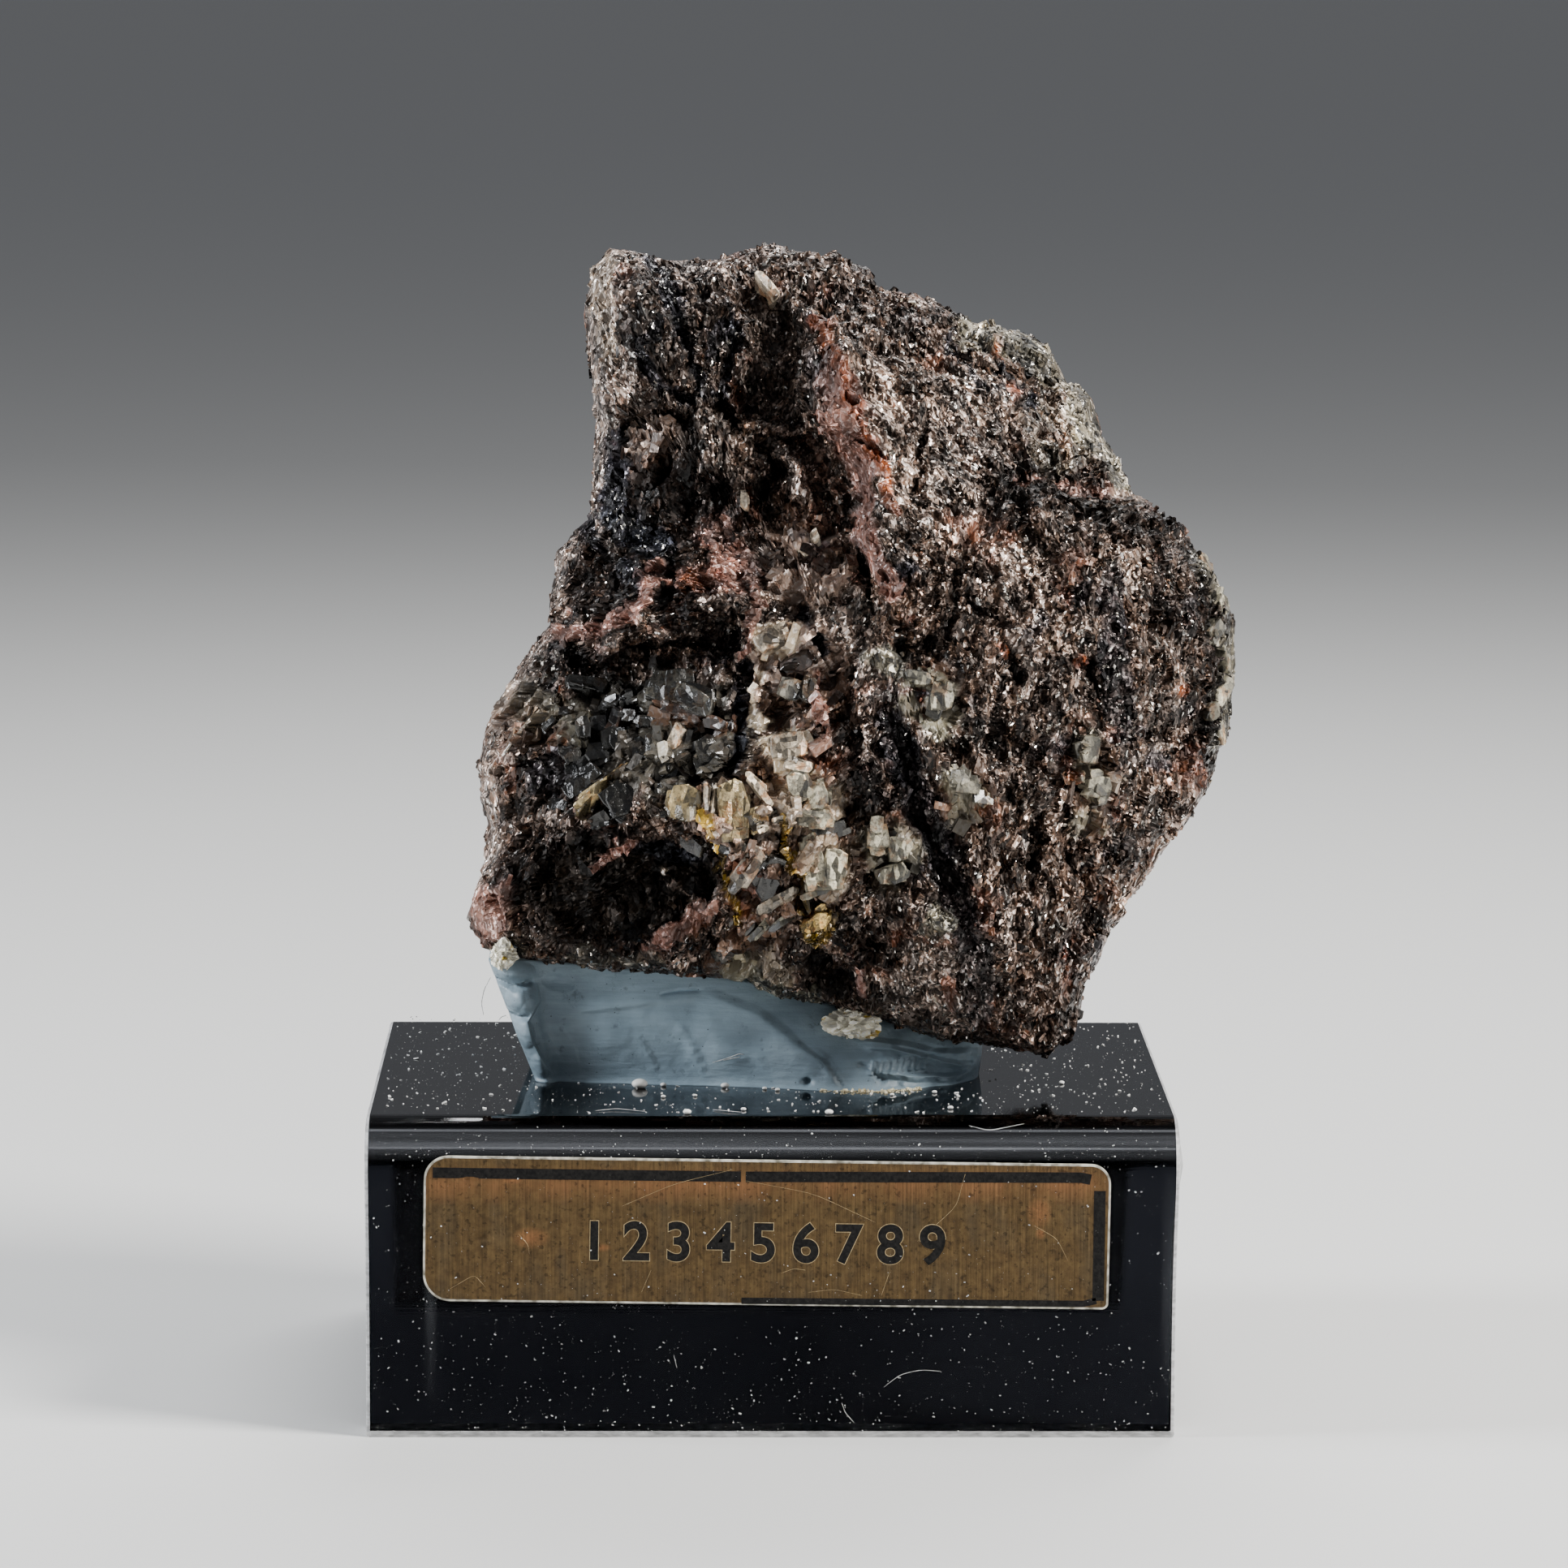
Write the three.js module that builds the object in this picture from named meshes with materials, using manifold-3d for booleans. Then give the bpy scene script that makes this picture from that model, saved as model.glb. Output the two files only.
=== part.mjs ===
// A chalcopyrite specimen, held by a wedge of putty on a small bent acrylic stand with a foil label.
// Millimetres, +Z up, front towards -Y. The finished group has its origin at the bottom centre of its box.
import * as THREE from "three";
import { mergeVertices } from "three/addons/utils/BufferGeometryUtils.js";
import Module from "manifold-3d";

const wasm = await Module();
wasm.setup();

// Driving dimensions. Until the last step, the origin is at the stand's front bottom edge, in its middle.
const stand = {
  width: 50,
  depth: 40,
  height: 19.7,
  sheet: 3,
  outerBend: 3.2,
  innerBend: 0.4,
  bendSegments: 6,
  flare: { left: 0.2, right: 0.6, reach: 2.5 }, // the sheet spreads sideways where it was bent
  backTaper: 0.9, // the back plate's right edge is out of square by this much at the bottom
  plateRows: [0.5, 0.75, 0.9], // shares of the plates' inner height where the sheet is divided
};

const label = {
  width: 42.3,
  height: 9.1,
  thickness: 0.2,
  centre: [-0.28, 12.93], // x and z on the front plate
  turn: THREE.MathUtils.degToRad(-0.7),
  corners: { topLeft: 1.5, topRight: 1.25, bottomRight: 0.4, bottomLeft: 1.7 },
  cornerSegments: 6,
};

const rock = {
  centre: [5.8, 20, 46.8],
  lean: THREE.MathUtils.degToRad(-7.74), // it leans back on its putty
  patchCells: 37, // cells across the front and across the back
  beltCells: 8, // cells from front to back round the rim
  patchEdge: THREE.MathUtils.degToRad(70), // where the front patch ends and the belt begins
  rimPower: 6, // how square the rock turns from its face to its side
  faceSoftness: 0.8, // how softly one broken face runs into the next
  faceCrispness: 3,
  evening: 0.22, // how far each corner is drawn to the middle of its neighbours
  chips: { size: 4.2, tilt: 0.28, step: 0.9 },
  contact: 0.8, // the putty meets the rock no nearer than this share of its centre's height over the stand
};

// The rock's outline seen from the front: right, up and how far back the rim lies, from the rock's centre.
const outline = [
  [-17, 24.5, 3], [-16, 25.6, 3], [-13.3, 25.2, 4], [-10.1, 25.1, 5], [-7, 26, 6], [-4.4, 25.9, 6],
  [-1.6, 25.8, 6], [0.6, 24.8, 7], [1.2, 23.8, 7], [3.6, 23.2, 7], [5.1, 22.4, 7.5], [7.4, 21.3, 8],
  [10.7, 20.7, 8], [12.4, 19.8, 8], [13.7, 17.6, 7.5], [14.9, 16.2, 7], [15.6, 13.9, 7], [17.5, 10.6, 5.5],
  [18.9, 9.6, 4.5], [20.3, 8.2, 4], [21.5, 6.6, 4], [23, 4.9, 4], [24.1, 2.4, 3.5], [24, 0.6, 3],
  [24.3, -0.9, 3], [24, -5.6, 3], [22.7, -7.7, 3], [21, -10.9, 2], [19.3, -12.7, 1.5], [18.5, -14.5, 1],
  [15.9, -17.7, 0], [15.3, -19.9, -0.5], [14.2, -21.5, -1], [13.5, -24.5, -1.5], [12, -25.9, -1.5],
  [10.7, -25.5, -1.5], [7.3, -25.1, -2], [2.1, -23.9, -2], [-2.1, -22.8, -2], [-5.2, -22.2, -2],
  [-7.5, -20.9, -2], [-10.5, -21, -2], [-13.5, -20.7, -2], [-19.2, -19.9, -1.5], [-21.8, -19.9, -1],
  [-23.8, -18.9, -1], [-25.3, -17.3, 0], [-24.4, -14.9, 0], [-23.7, -13.6, 0.5], [-23.5, -11.2, 1],
  [-24.2, -9.8, 1.5], [-24.4, -7.7, 2], [-24, -5.4, 2], [-22.6, -2.7, 3], [-20.9, 0.3, 3], [-20, 1.6, 3],
  [-19.3, 6.4, 3], [-17.2, 8.2, 3], [-17.1, 11.2, 3], [-16.9, 15.2, 3], [-17.7, 21.9, 3],
];

// Broken faces: right, up, height towards the viewer, and its slope to the right and upwards.
const frontFaces = {
  pillarFlank: [-16.2, 20.2, 6.6, 1, -0.1],
  pillarFront: [-12.7, 19.7, 8.6, -0.15, -0.1],
  pillarFoot: [-11.5, 12.6, 7.8, 0.1, -0.1],
  hollowUpper: [-6.3, 19.2, 5.4, -0.1, -0.3],
  hollowLower: [-6.9, 15, 5.6, 0.1, 0],
  ridgeWestWall: [-4.2, 16.6, 6.4, 0.9, 0],
  ridgeCrest: [0.6, 16.2, 10.6, -0.05, -0.45],
  upperRight: [7.3, 16, 8.2, -0.4, -0.45],
  upperRightRim: [13, 14.8, 4.4, -0.7, -0.4],
  topMiddle: [-3.1, 23.6, 6.2, -0.1, -0.7],
  topRight: [4.8, 20.4, 6.6, -0.3, -0.6],
  topLeftCap: [-10.9, 23.6, 7, -0.1, -0.5],
  socketFloor: [-3.6, 10.4, 7.6, 0.1, -0.1],
  pillarMiddle: [-15, 10.9, 6.8, 0.6, -0.1],
  leftSlope: [-9.3, 7.3, 8.6, 0.1, -0.35],
  leftShoulder: [-17.6, 4.7, 5.8, 0.8, -0.2],
  browLeft: [-14, 3.6, 8.6, 0.3, -0.45],
  browMiddle: [-8.8, 3.8, 10.2, 0.2, -0.4],
  underBrow: [-14.5, -1, 8.2, 0.35, -0.1],
  crystalField: [-13.5, -5.2, 9.8, 0.35, -0.05],
  leftCheek: [-21.2, -4.2, 6.4, 1.2, -0.2],
  centre: [-4.6, -2.6, 12.4, 0.15, -0.1],
  centreHigh: [-3, 3.6, 11.4, 0.2, -0.25],
  brightPlates: [-7, -10.2, 12.4, 0.1, 0.2],
  undercutLeft: [-17, -14.6, 7.2, 0.25, 0.35],
  undercutMiddle: [-11.5, -14.2, 8.4, 0.3, 0.5],
  footLeft: [-13, -18.6, 6, 0.1, 0.9],
  cornerLeft: [-23, -15.6, 4.8, 0.8, 0.3],
  darkCheek: [-21.5, -9.4, 5.6, 0.5, 0.1],
  lowerMiddle: [-2, -13.5, 12.6, 0, 0.3],
  bottomMiddle: [-1, -19.2, 9, 0, 1],
  ridgeFoot: [3.6, 3, 13, 0, -0.15],
  upperFaceLow: [4.7, 9.3, 12, -0.15, -0.3],
  aboveLedge: [13.4, 12.2, 6, -0.5, -0.35],
  rightFaceUpper: [11.4, 6.2, 12.4, -0.25, -0.15],
  rightFace: [11.4, -4.1, 13.3, -0.2, 0.05],
  rightFlank: [19.2, 3.4, 8.8, -0.75, -0.2],
  rightFlankLow: [19, -5.5, 8.8, -0.8, 0.1],
  rightRim: [22.6, -1.6, 5.2, -1.4, 0],
  rightLower: [16.2, -11.2, 9.2, -0.7, 0.3],
  lowerRight: [9.6, -13.6, 12, -0.2, 0.3],
  tip: [11.9, -21.8, 7, -0.4, 0.6],
  bottomRight: [5.2, -20.8, 8.6, 0.1, 1.1],
};

// The same for the back, with the height away from the viewer.
const backFaces = {
  pillarBack: [-14, 17, 6, 0.4, -0.1],
  topBack: [-3, 21, 6, 0, -0.8],
  shoulderBack: [6, 14, 9, -0.3, -0.5],
  upperHollow: [-5, 11, 9, 0.3, -0.2],
  leftWall: [-16, 3, 9, 0.7, -0.1],
  hump: [-3, 2, 15, 0.1, -0.25],
  rightSlab: [9, 3, 14, -0.35, -0.2],
  rightWall: [19, -1, 8, -0.9, 0],
  lowSlab: [3, -10, 16, -0.05, 0.25],
  lowRight: [13, -14, 9, -0.5, 0.5],
  lowLeft: [-11, -9, 14, 0.35, 0.2],
  leftCorner: [-21, -12, 6, 0.9, 0.3],
  footLeft: [-13, -18, 9, 0.1, 1],
  foot: [1, -20, 10, 0, 1.1],
  footTip: [11, -22, 5, -0.3, 0.8],
};

// Crests, or grooves where the height is below nothing: the line runs from its first point to its last,
// and the slope reaches this far to the line's left and to its right.
const creases = {
  centralRidge: {
    height: 2.6, left: 6.5, right: 1.6,
    path: [[-3.9, 22.6], [-3.5, 19.5], [-3.3, 17.3], [-0.9, 13], [0.1, 10.8], [0.5, 8], [2, 3.2], [2.3, 1]],
  },
  crossRidge: { height: 0.9, left: 2.6, right: 2.6, path: [[-4.6, 20.2], [0.3, 18.8], [3.5, 16], [5, 13.8]] },
  pillarLeftEdge: {
    height: 0.9, left: 2.6, right: 1.6,
    path: [[-15.4, 26.5], [-15.1, 21.9], [-14.1, 18.4], [-15.1, 15.6], [-16.5, 14.6]],
  },
  pillarRightEdge: {
    height: 1.9, left: 1.2, right: 4.2,
    path: [[-8.9, 26], [-7.3, 19.5], [-7.4, 17], [-8, 14.4]],
  },
  pillarGroove: { height: -1, left: 1.3, right: 1.3, path: [[-13.3, 25.6], [-11.9, 21.5], [-10.2, 16]] },
  socketArch: {
    height: 1.3, left: 1.4, right: 1.2,
    path: [[-7.6, 11.6], [-6, 13.6], [-2, 14.4], [-0.8, 13.4]],
  },
  socketSpine: { height: 1.4, left: 1.2, right: 1.2, path: [[-5.2, 13.6], [-4.2, 10.8], [-2.6, 7.8]] },
  shoulder: { height: 0.8, left: 1.6, right: 1.2, path: [[-18.2, 8], [-18.9, 4.5], [-18.4, 1.6]] },
  brow: {
    height: 2.7, left: 5, right: 1.3,
    path: [[-20.6, -0.6], [-18.2, 0.6], [-16.9, -0.9], [-13.2, 1.5], [-11.9, 0.8], [-8.8, 2.4], [-6, 3.2]],
  },
  cheekRidge: {
    height: 1.5, left: 3, right: 1.2,
    path: [[-25, -8.6], [-22.8, -7.2], [-19.2, -7], [-18.2, -7.6]],
  },
  undercutEdge: {
    height: 2.4, left: 4.5, right: 1.3,
    path: [[-23.4, -11.4], [-19, -11], [-16.5, -11.5], [-10.1, -11.4], [-9.3, -13], [-8, -17]],
  },
  cornerEdge: {
    height: 1.1, left: 1.2, right: 3,
    path: [[-23.6, -11], [-22.8, -16.5], [-21.8, -18.2], [-21.6, -20.4]],
  },
  bottomRidge: { height: 1.6, left: 1.2, right: 1.2, path: [[-14.4, -20.2], [-10.7, -17.3], [-8, -15.2]] },
  middleCleft: { height: -1, left: 1.3, right: 1.3, path: [[-4.2, 3], [-3, 1], [-1.9, -1.2]] },
  crystalCleft: { height: -1.1, left: 1.3, right: 1.3, path: [[-13.8, -8.2], [-8.8, -7.7], [-7.6, -0.4]] },
  darkValley: {
    height: -1.8, left: 1.3, right: 1.3,
    path: [[1.1, -3.4], [2.9, -7.5], [4.6, -12.3], [6.4, -17], [7, -19.5], [7.5, -23.6]],
  },
  lowerRib: { height: 1, left: 1.4, right: 1.4, path: [[9.2, -6.6], [7.6, -13.5], [8.2, -17], [8.6, -20.6]] },
  innerSideGap: { height: -1.1, left: 1.2, right: 1.2, path: [[11, -10], [11.5, -12.5], [10.2, -15.6]] },
  outerSideGap: { height: -1.2, left: 1.2, right: 1.2, path: [[13.2, -10], [13.4, -13], [13.2, -15.6]] },
  rimCrest: { height: 0.9, left: 1.2, right: 2.2, path: [[21.6, 7.6], [22, 1.8], [22.4, -7.4]] },
};

// Pits with steep walls and a flat floor: right, up, half width, half height, depth.
const pits = {
  deepHollow: [-5.2, 18.8, 1.9, 4.1, 1.5],
  socketRight: [-2.9, 11.6, 1.6, 2, 1.8],
  socketLeft: [-6, 11, 0.9, 1.6, 1.3],
  pillarPit: [-14.3, 14, 1, 0.9, 1.8],
  pillarFootPit: [-11.2, 14.6, 1.2, 0.9, 1.5],
  underBrowLeft: [-13, 0, 2.3, 0.9, 1.6],
  underBrowRight: [-9.3, 1, 2.3, 1.5, 2.8],
  cheekPit: [-17.4, -1.2, 1.6, 0.9, 0.8],
  cornerPit: [-22.2, -10.3, 1.1, 1, 1.3],
  ridgePit: [3.5, 0.1, 1.5, 1, 2],
  topDent: [2.3, 20.6, 1.6, 0.9, 0.7],
  facePit: [9.75, -1.4, 0.9, 1.2, 1.2],
  faceHollow: [9.9, 3.4, 0.9, 1.3, 0.5],
  greyGroove: [0.6, -10.4, 2.4, 0.9, 1],
  rimPitUpper: [22.9, 2.3, 0.9, 0.8, 1.1],
  rimPitLower: [22.5, 0.1, 0.8, 0.8, 0.8],
  underLedge: [16.5, 8.2, 1.5, 0.9, 1.2],
  cave: [-2, -21, 2.3, 1.4, 3],
  footPit: [-6.3, -19.5, 1.6, 1, 1.1],
};

// Round lumps with a clear foot: right, up, half width, half height, height.
const lumps = {
  pillarKnob: [-12.6, 19, 1.4, 1.6, 0.8],
  pillarTopKnob: [-9.8, 21.6, 1.2, 1.6, 0.7],
  socketKnob: [-7.9, 10.8, 1, 1, 0.8],
  greyNub: [0.2, -8.6, 2.3, 1.6, 1.2],
  valleyKnob: [6.6, -9, 1.6, 1.3, 0.6],
  faceKnob: [8.6, 5.9, 1.5, 1.2, 0.5],
  footKnobLeft: [-11.3, -19.4, 1.6, 1.3, 0.9],
  footKnobRight: [-8.5, -19.1, 1.2, 1, 0.9],
  caveBrowLeft: [-0.7, -18.6, 1.2, 1.1, 1.1],
  caveBrowRight: [2, -18.8, 1.5, 1.6, 1.1],
  lowRightKnob: [16.6, -13.2, 1.4, 1.2, 0.5],
  tipKnob: [12.6, -24.2, 1.2, 1.2, 0.6],
};

const pitWall = { foot: 0.3, brink: 1.3 }; // the wall's two edges, in shares of the pit's half size
const lumpPower = 0.75; // below one, a lump has a steep foot and a flat top

// The stepped block on the right: its upper edge runs from left to right, and the step grows along it.
const ledge = { left: [7.5, 10.9], right: [19.4, 8.9], height: 3, softness: 0.6, fade: 9 };

const puttyDims = {
  // Stations from left to right: foot x, foot y, top x, top y, top z.
  front: [
    [-16.1, 16.4, -19.1, 17.4, 27.1], [-15.1, 14.4, -17.6, 14.9, 27.6], [-14.5, 14.6, -16.2, 15.1, 27.6],
    [-13.9, 15.1, -15.2, 15.9, 27.4], [-11.6, 14.4, -13.2, 15.4, 27.2], [-8.3, 14.0, -9.0, 15.2, 26.9],
    [-5.0, 13.7, -5.0, 15.1, 26.5], [0.5, 12.7, -0.4, 15.0, 25.9], [4.0, 12.0, 3.7, 14.8, 24.5],
    [6.5, 11.8, 7.9, 14.6, 23.4], [9.6, 12.9, 10.4, 15.0, 22.7], [12.4, 15.0, 12.0, 16.2, 22.3],
    [13.6, 17.4, 12.9, 17.6, 22.1],
  ],
  rows: [0.12, 0.35, 0.6, 0.85, 1], // shares of the front face's height
  swell: 0.5, // how far the front face bulges half way up
  backTop: 24.5,
  backFoot: 29,
  rise: 2.2, // the wedge rises into the rock's hollow underside before it is cut
  backRise: 0.6, // the share of that rise which is left at the back
};

const crumbs = {
  pale_crumb_left: { centre: [-16.9, 13.9, 28.3], size: [1.0, 0.9, 1.25] },
  pale_crumb_front: { centre: [5.3, 13.6, 23.6], size: [1.75, 1.1, 1.15] },
};
const crumbDetail = 3;
const crumbChips = { size: 0.7, tilt: 0.35, step: 0.25 }; // in shares of the crumb's half size

const seatGap = 0.3; // clearance between the rock, the putty and the crumbs

// Three repeatable numbers from -0.5 to 0.5 for a cell of a lattice.
function cellVector(cell, salt) {
  const numbers = [salt, salt + 1, salt + 2].map((seed) => {
    const wave = Math.sin(cell.x * 127.1 + cell.y * 311.7 + cell.z * 74.7 + seed * 53.9) * 43758.5453;
    return wave - Math.floor(wave) - 0.5;
  });
  return new THREE.Vector3(...numbers);
}

// Each cell of the lattice has one chip, with its middle somewhere in the cell.
function nearestChip(place, size) {
  const home = place.clone().divideScalar(size);
  let best = { distance: Infinity };
  for (let neighbour = 0; neighbour < 27; neighbour += 1) {
    const step = [neighbour % 3, Math.floor(neighbour / 3) % 3, Math.floor(neighbour / 9)];
    const cell = home.clone().floor().add(new THREE.Vector3(...step).subScalar(1));
    const offset = home.clone().sub(cell).subScalar(0.5).sub(cellVector(cell, 0));
    if (offset.length() < best.distance) {
      best = { distance: offset.length(), cell, offset: offset.multiplyScalar(size) };
    }
  }
  return best;
}

// A broken surface: every place lies on its nearest chip's tilted plane, and one chip steps to the next.
function chipHeight(place, { size, tilt, step }) {
  const { cell, offset } = nearestChip(place, size);
  return 2 * tilt * offset.dot(cellVector(cell, 3)) + step * cellVector(cell, 6).x;
}

// Where a ray from the centre at this angle leaves the outline: distance and rim depth.
function rimAt(angle) {
  const ray = [Math.cos(angle), Math.sin(angle)];
  for (let i = 0; i < outline.length; i += 1) {
    const [ax, ay, aDepth] = outline[i];
    const [bx, by, bDepth] = outline[(i + 1) % outline.length];
    const across = ray[0] * (by - ay) - ray[1] * (bx - ax);
    const along = (ray[1] * ax - ray[0] * ay) / across;
    const distance = (ax * (by - ay) - ay * (bx - ax)) / across;
    if (along >= 0 && along <= 1 && distance > 0) {
      return { distance, depth: aDepth + along * (bDepth - aDepth) };
    }
  }
  throw new Error("the outline has to go round the rock's centre");
}

// Height of a set of tilted faces at one place: each face's plane, weighted by its nearness.
function facesHeight(faces, right, up) {
  let total = 0;
  let weights = 0;
  for (const [faceRight, faceUp, height, slopeRight, slopeUp] of Object.values(faces)) {
    const dr = right - faceRight;
    const du = up - faceUp;
    const weight = 1 / (dr * dr + du * du + rock.faceSoftness) ** rock.faceCrispness;
    total += weight * (height + slopeRight * dr + slopeUp * du);
    weights += weight;
  }
  return total / weights;
}

// The distance from a line of points, and whether the place is on the line's left.
function nearPath(path, right, up) {
  let nearest = { distance: Infinity };
  for (let i = 1; i < path.length; i += 1) {
    const [ax, ay] = path[i - 1];
    const [runX, runY] = [path[i][0] - ax, path[i][1] - ay];
    const along = ((right - ax) * runX + (up - ay) * runY) / (runX ** 2 + runY ** 2);
    const t = THREE.MathUtils.clamp(along, 0, 1);
    const distance = Math.hypot(right - ax - t * runX, up - ay - t * runY);
    if (distance < nearest.distance) {
      nearest = { distance, isLeft: runX * (up - ay) - runY * (right - ax) > 0 };
    }
  }
  return nearest;
}

// A crease is roof shaped: full height on its line, falling evenly to nothing at its reach.
function creasesHeight(right, up) {
  let total = 0;
  for (const crease of Object.values(creases)) {
    const { distance, isLeft } = nearPath(crease.path, right, up);
    total += crease.height * Math.max(0, 1 - distance / (isLeft ? crease.left : crease.right));
  }
  return total;
}

// How far out a place lies in an ellipse: 0 in its middle, 1 on its edge.
function ellipseReach(right, up, [centreRight, centreUp, halfWidth, halfHeight]) {
  return Math.hypot((right - centreRight) / halfWidth, (up - centreUp) / halfHeight);
}

function pitsDepth(right, up) {
  let total = 0;
  for (const pit of Object.values(pits)) {
    const reach = ellipseReach(right, up, pit);
    total += pit[4] * (1 - THREE.MathUtils.smoothstep(reach, pitWall.foot, pitWall.brink));
  }
  return total;
}

function lumpsHeight(right, up) {
  let total = 0;
  for (const lump of Object.values(lumps)) {
    const reach = ellipseReach(right, up, lump);
    total += lump[4] * Math.max(0, 1 - reach ** 2) ** lumpPower;
  }
  return total;
}

// Below the ledge's line the block stands proud, more so to the right, and fades out further down.
function ledgeHeight(right, up) {
  const along = (right - ledge.left[0]) / (ledge.right[0] - ledge.left[0]);
  const below = ledge.left[1] + along * (ledge.right[1] - ledge.left[1]) - up;
  const step = THREE.MathUtils.smoothstep(below, -ledge.softness, ledge.softness);
  const fade = THREE.MathUtils.clamp(1 - below / ledge.fade, 0, 1);
  return ledge.height * THREE.MathUtils.clamp(along, 0, 1) * step * fade;
}

function frontHeight(right, up) {
  const raised = creasesHeight(right, up) + lumpsHeight(right, up) + ledgeHeight(right, up);
  return facesHeight(frontFaces, right, up) + raised - pitsDepth(right, up);
}

// The angle of a place on a square ring, spread evenly along the ring's four sides.
function squareAngle(x, z) {
  if (Math.abs(x) >= Math.abs(z)) {
    return (Math.PI / 4) * (z / x) + (x < 0 ? Math.PI : 0);
  }
  return Math.PI / 2 - (Math.PI / 4) * (x / z) + (z < 0 ? Math.PI : 0);
}

// The angle from the view axis of a place on the box grid. The front and back sides of the box become
// the rock's faces, and its four walls become the belt round the rim.
function polarAngle(ring, y) {
  if (y > 1 - 1e-6) {
    return Math.PI - rock.patchEdge * ring;
  }
  return rock.patchEdge * ring + (Math.PI / 2 - rock.patchEdge) * (y + 1);
}

// Turns a place on the box grid (each coordinate from -1 to 1) into a place on the rock.
function rockPoint(x, y, z) {
  const ring = Math.max(Math.abs(x), Math.abs(z));
  const polar = polarAngle(ring, y);
  const angle = ring > 0 ? squareAngle(x, z) : 0;
  const spread = Math.sin(polar);
  const rim = rimAt(angle);
  const right = spread * rim.distance * Math.cos(angle);
  const up = spread * rim.distance * Math.sin(angle);
  const fullness = Math.sqrt(Math.max(0, 1 - spread ** rock.rimPower));
  const isFront = polar < Math.PI / 2;
  const height = isFront ? -frontHeight(right, up) : facesHeight(backFaces, right, up);
  const place = new THREE.Vector3(right, rim.depth * spread ** 2 + height * fullness, up);
  const outward = new THREE.Vector3(spread * Math.cos(angle), -Math.cos(polar), spread * Math.sin(angle));
  return place.addScaledVector(outward, chipHeight(place, rock.chips));
}

// Keeps only the places of a geometry and joins the corners that its faces share.
function closed(geometry) {
  const bare = geometry.clone();
  bare.deleteAttribute("normal");
  bare.deleteAttribute("uv");
  return mergeVertices(bare, 1e-5);
}

function toSolid(geometry) {
  const bare = closed(geometry);
  const mesh = new wasm.Mesh({
    numProp: 3,
    vertProperties: Float32Array.from(bare.attributes.position.array),
    triVerts: Uint32Array.from(bare.index.array),
  });
  return new wasm.Manifold(mesh);
}

function toGeometry(solid) {
  const mesh = solid.getMesh();
  const geometry = new THREE.BufferGeometry();
  geometry.setAttribute("position", new THREE.BufferAttribute(mesh.vertProperties, 3));
  geometry.setIndex(new THREE.BufferAttribute(mesh.triVerts, 1));
  return geometry;
}

// Cuts the tools from a solid and keeps the largest piece that is left.
function cut(geometry, tools) {
  const whole = tools.reduce((rest, tool) => rest.subtract(toSolid(tool)), toSolid(geometry));
  const pieces = whole.decompose();
  return toGeometry(pieces.reduce((best, piece) => (piece.volume() > best.volume() ? piece : best)));
}

// Moves every corner of a geometry to where the function sends it.
function reshape(geometry, move) {
  const places = geometry.attributes.position;
  for (let i = 0; i < places.count; i += 1) {
    const place = move(new THREE.Vector3().fromBufferAttribute(places, i));
    places.setXYZ(i, place.x, place.y, place.z);
  }
  return geometry;
}

// A box geometry's cells have the corners a, b, c and d, and are split from b to d. Where a and c lie
// nearer to each other, the cell is split there instead.
function splitAtShorterDiagonals(geometry) {
  const corner = (i) => new THREE.Vector3().fromBufferAttribute(geometry.attributes.position, i);
  const index = geometry.index.array;
  for (let i = 0; i < index.length; i += 6) {
    const [a, b, d, , c] = index.slice(i, i + 6);
    if (corner(a).distanceTo(corner(c)) < corner(b).distanceTo(corner(d))) {
      index.set([a, b, c, a, c, d], i);
    }
  }
  return geometry;
}

// Draws every corner part of the way to the middle of its neighbours, which evens out spikes.
function evenOut(geometry, share) {
  const places = geometry.attributes.position;
  const corner = (i) => new THREE.Vector3().fromBufferAttribute(places, i);
  const sums = Array.from({ length: places.count }, () => ({ total: new THREE.Vector3(), count: 0 }));
  const index = geometry.index.array;
  for (let i = 0; i < index.length; i += 1) {
    const next = i % 3 === 2 ? i - 2 : i + 1;
    sums[index[i]].total.add(corner(index[next]));
    sums[index[i]].count += 1;
  }
  const evened = sums.map(({ total, count }, i) => corner(i).lerp(total.divideScalar(count), share));
  evened.forEach((place, i) => places.setXYZ(i, place.x, place.y, place.z));
  return geometry;
}

function rockGeometry() {
  const { patchCells, beltCells, evening } = rock;
  const grid = closed(new THREE.BoxGeometry(2, 2, 2, patchCells, beltCells, patchCells));
  const body = evenOut(reshape(grid, ({ x, y, z }) => rockPoint(x, y, z)), evening);
  return splitAtShorterDiagonals(body).rotateX(rock.lean).translate(...rock.centre);
}

// A copy grown from the rock's centre, which leaves clearance all round when it is cut from a neighbour.
function grownRock(geometry) {
  const contactReach = rock.contact * (rock.centre[2] - stand.height);
  const growth = 1 + seatGap / contactReach;
  const back = rock.centre.map((value) => -value);
  return geometry.clone().translate(...back).scale(growth, growth, growth).translate(...rock.centre);
}

// How far an end of the sheet moves sideways: out at the inner corner of each bend, in at the back foot.
function endShift(side, y, z) {
  const corner = Math.min(y, stand.depth - y) - stand.sheet;
  const distance = Math.hypot(corner, stand.height - stand.sheet - z);
  const flare = stand.flare[side] * Math.exp(-distance / stand.flare.reach);
  const isBackPlate = side === "right" && y > stand.depth - stand.sheet - 1e-3;
  return flare - (isBackPlate ? stand.backTaper * (1 - z / stand.height) : 0);
}

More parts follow.
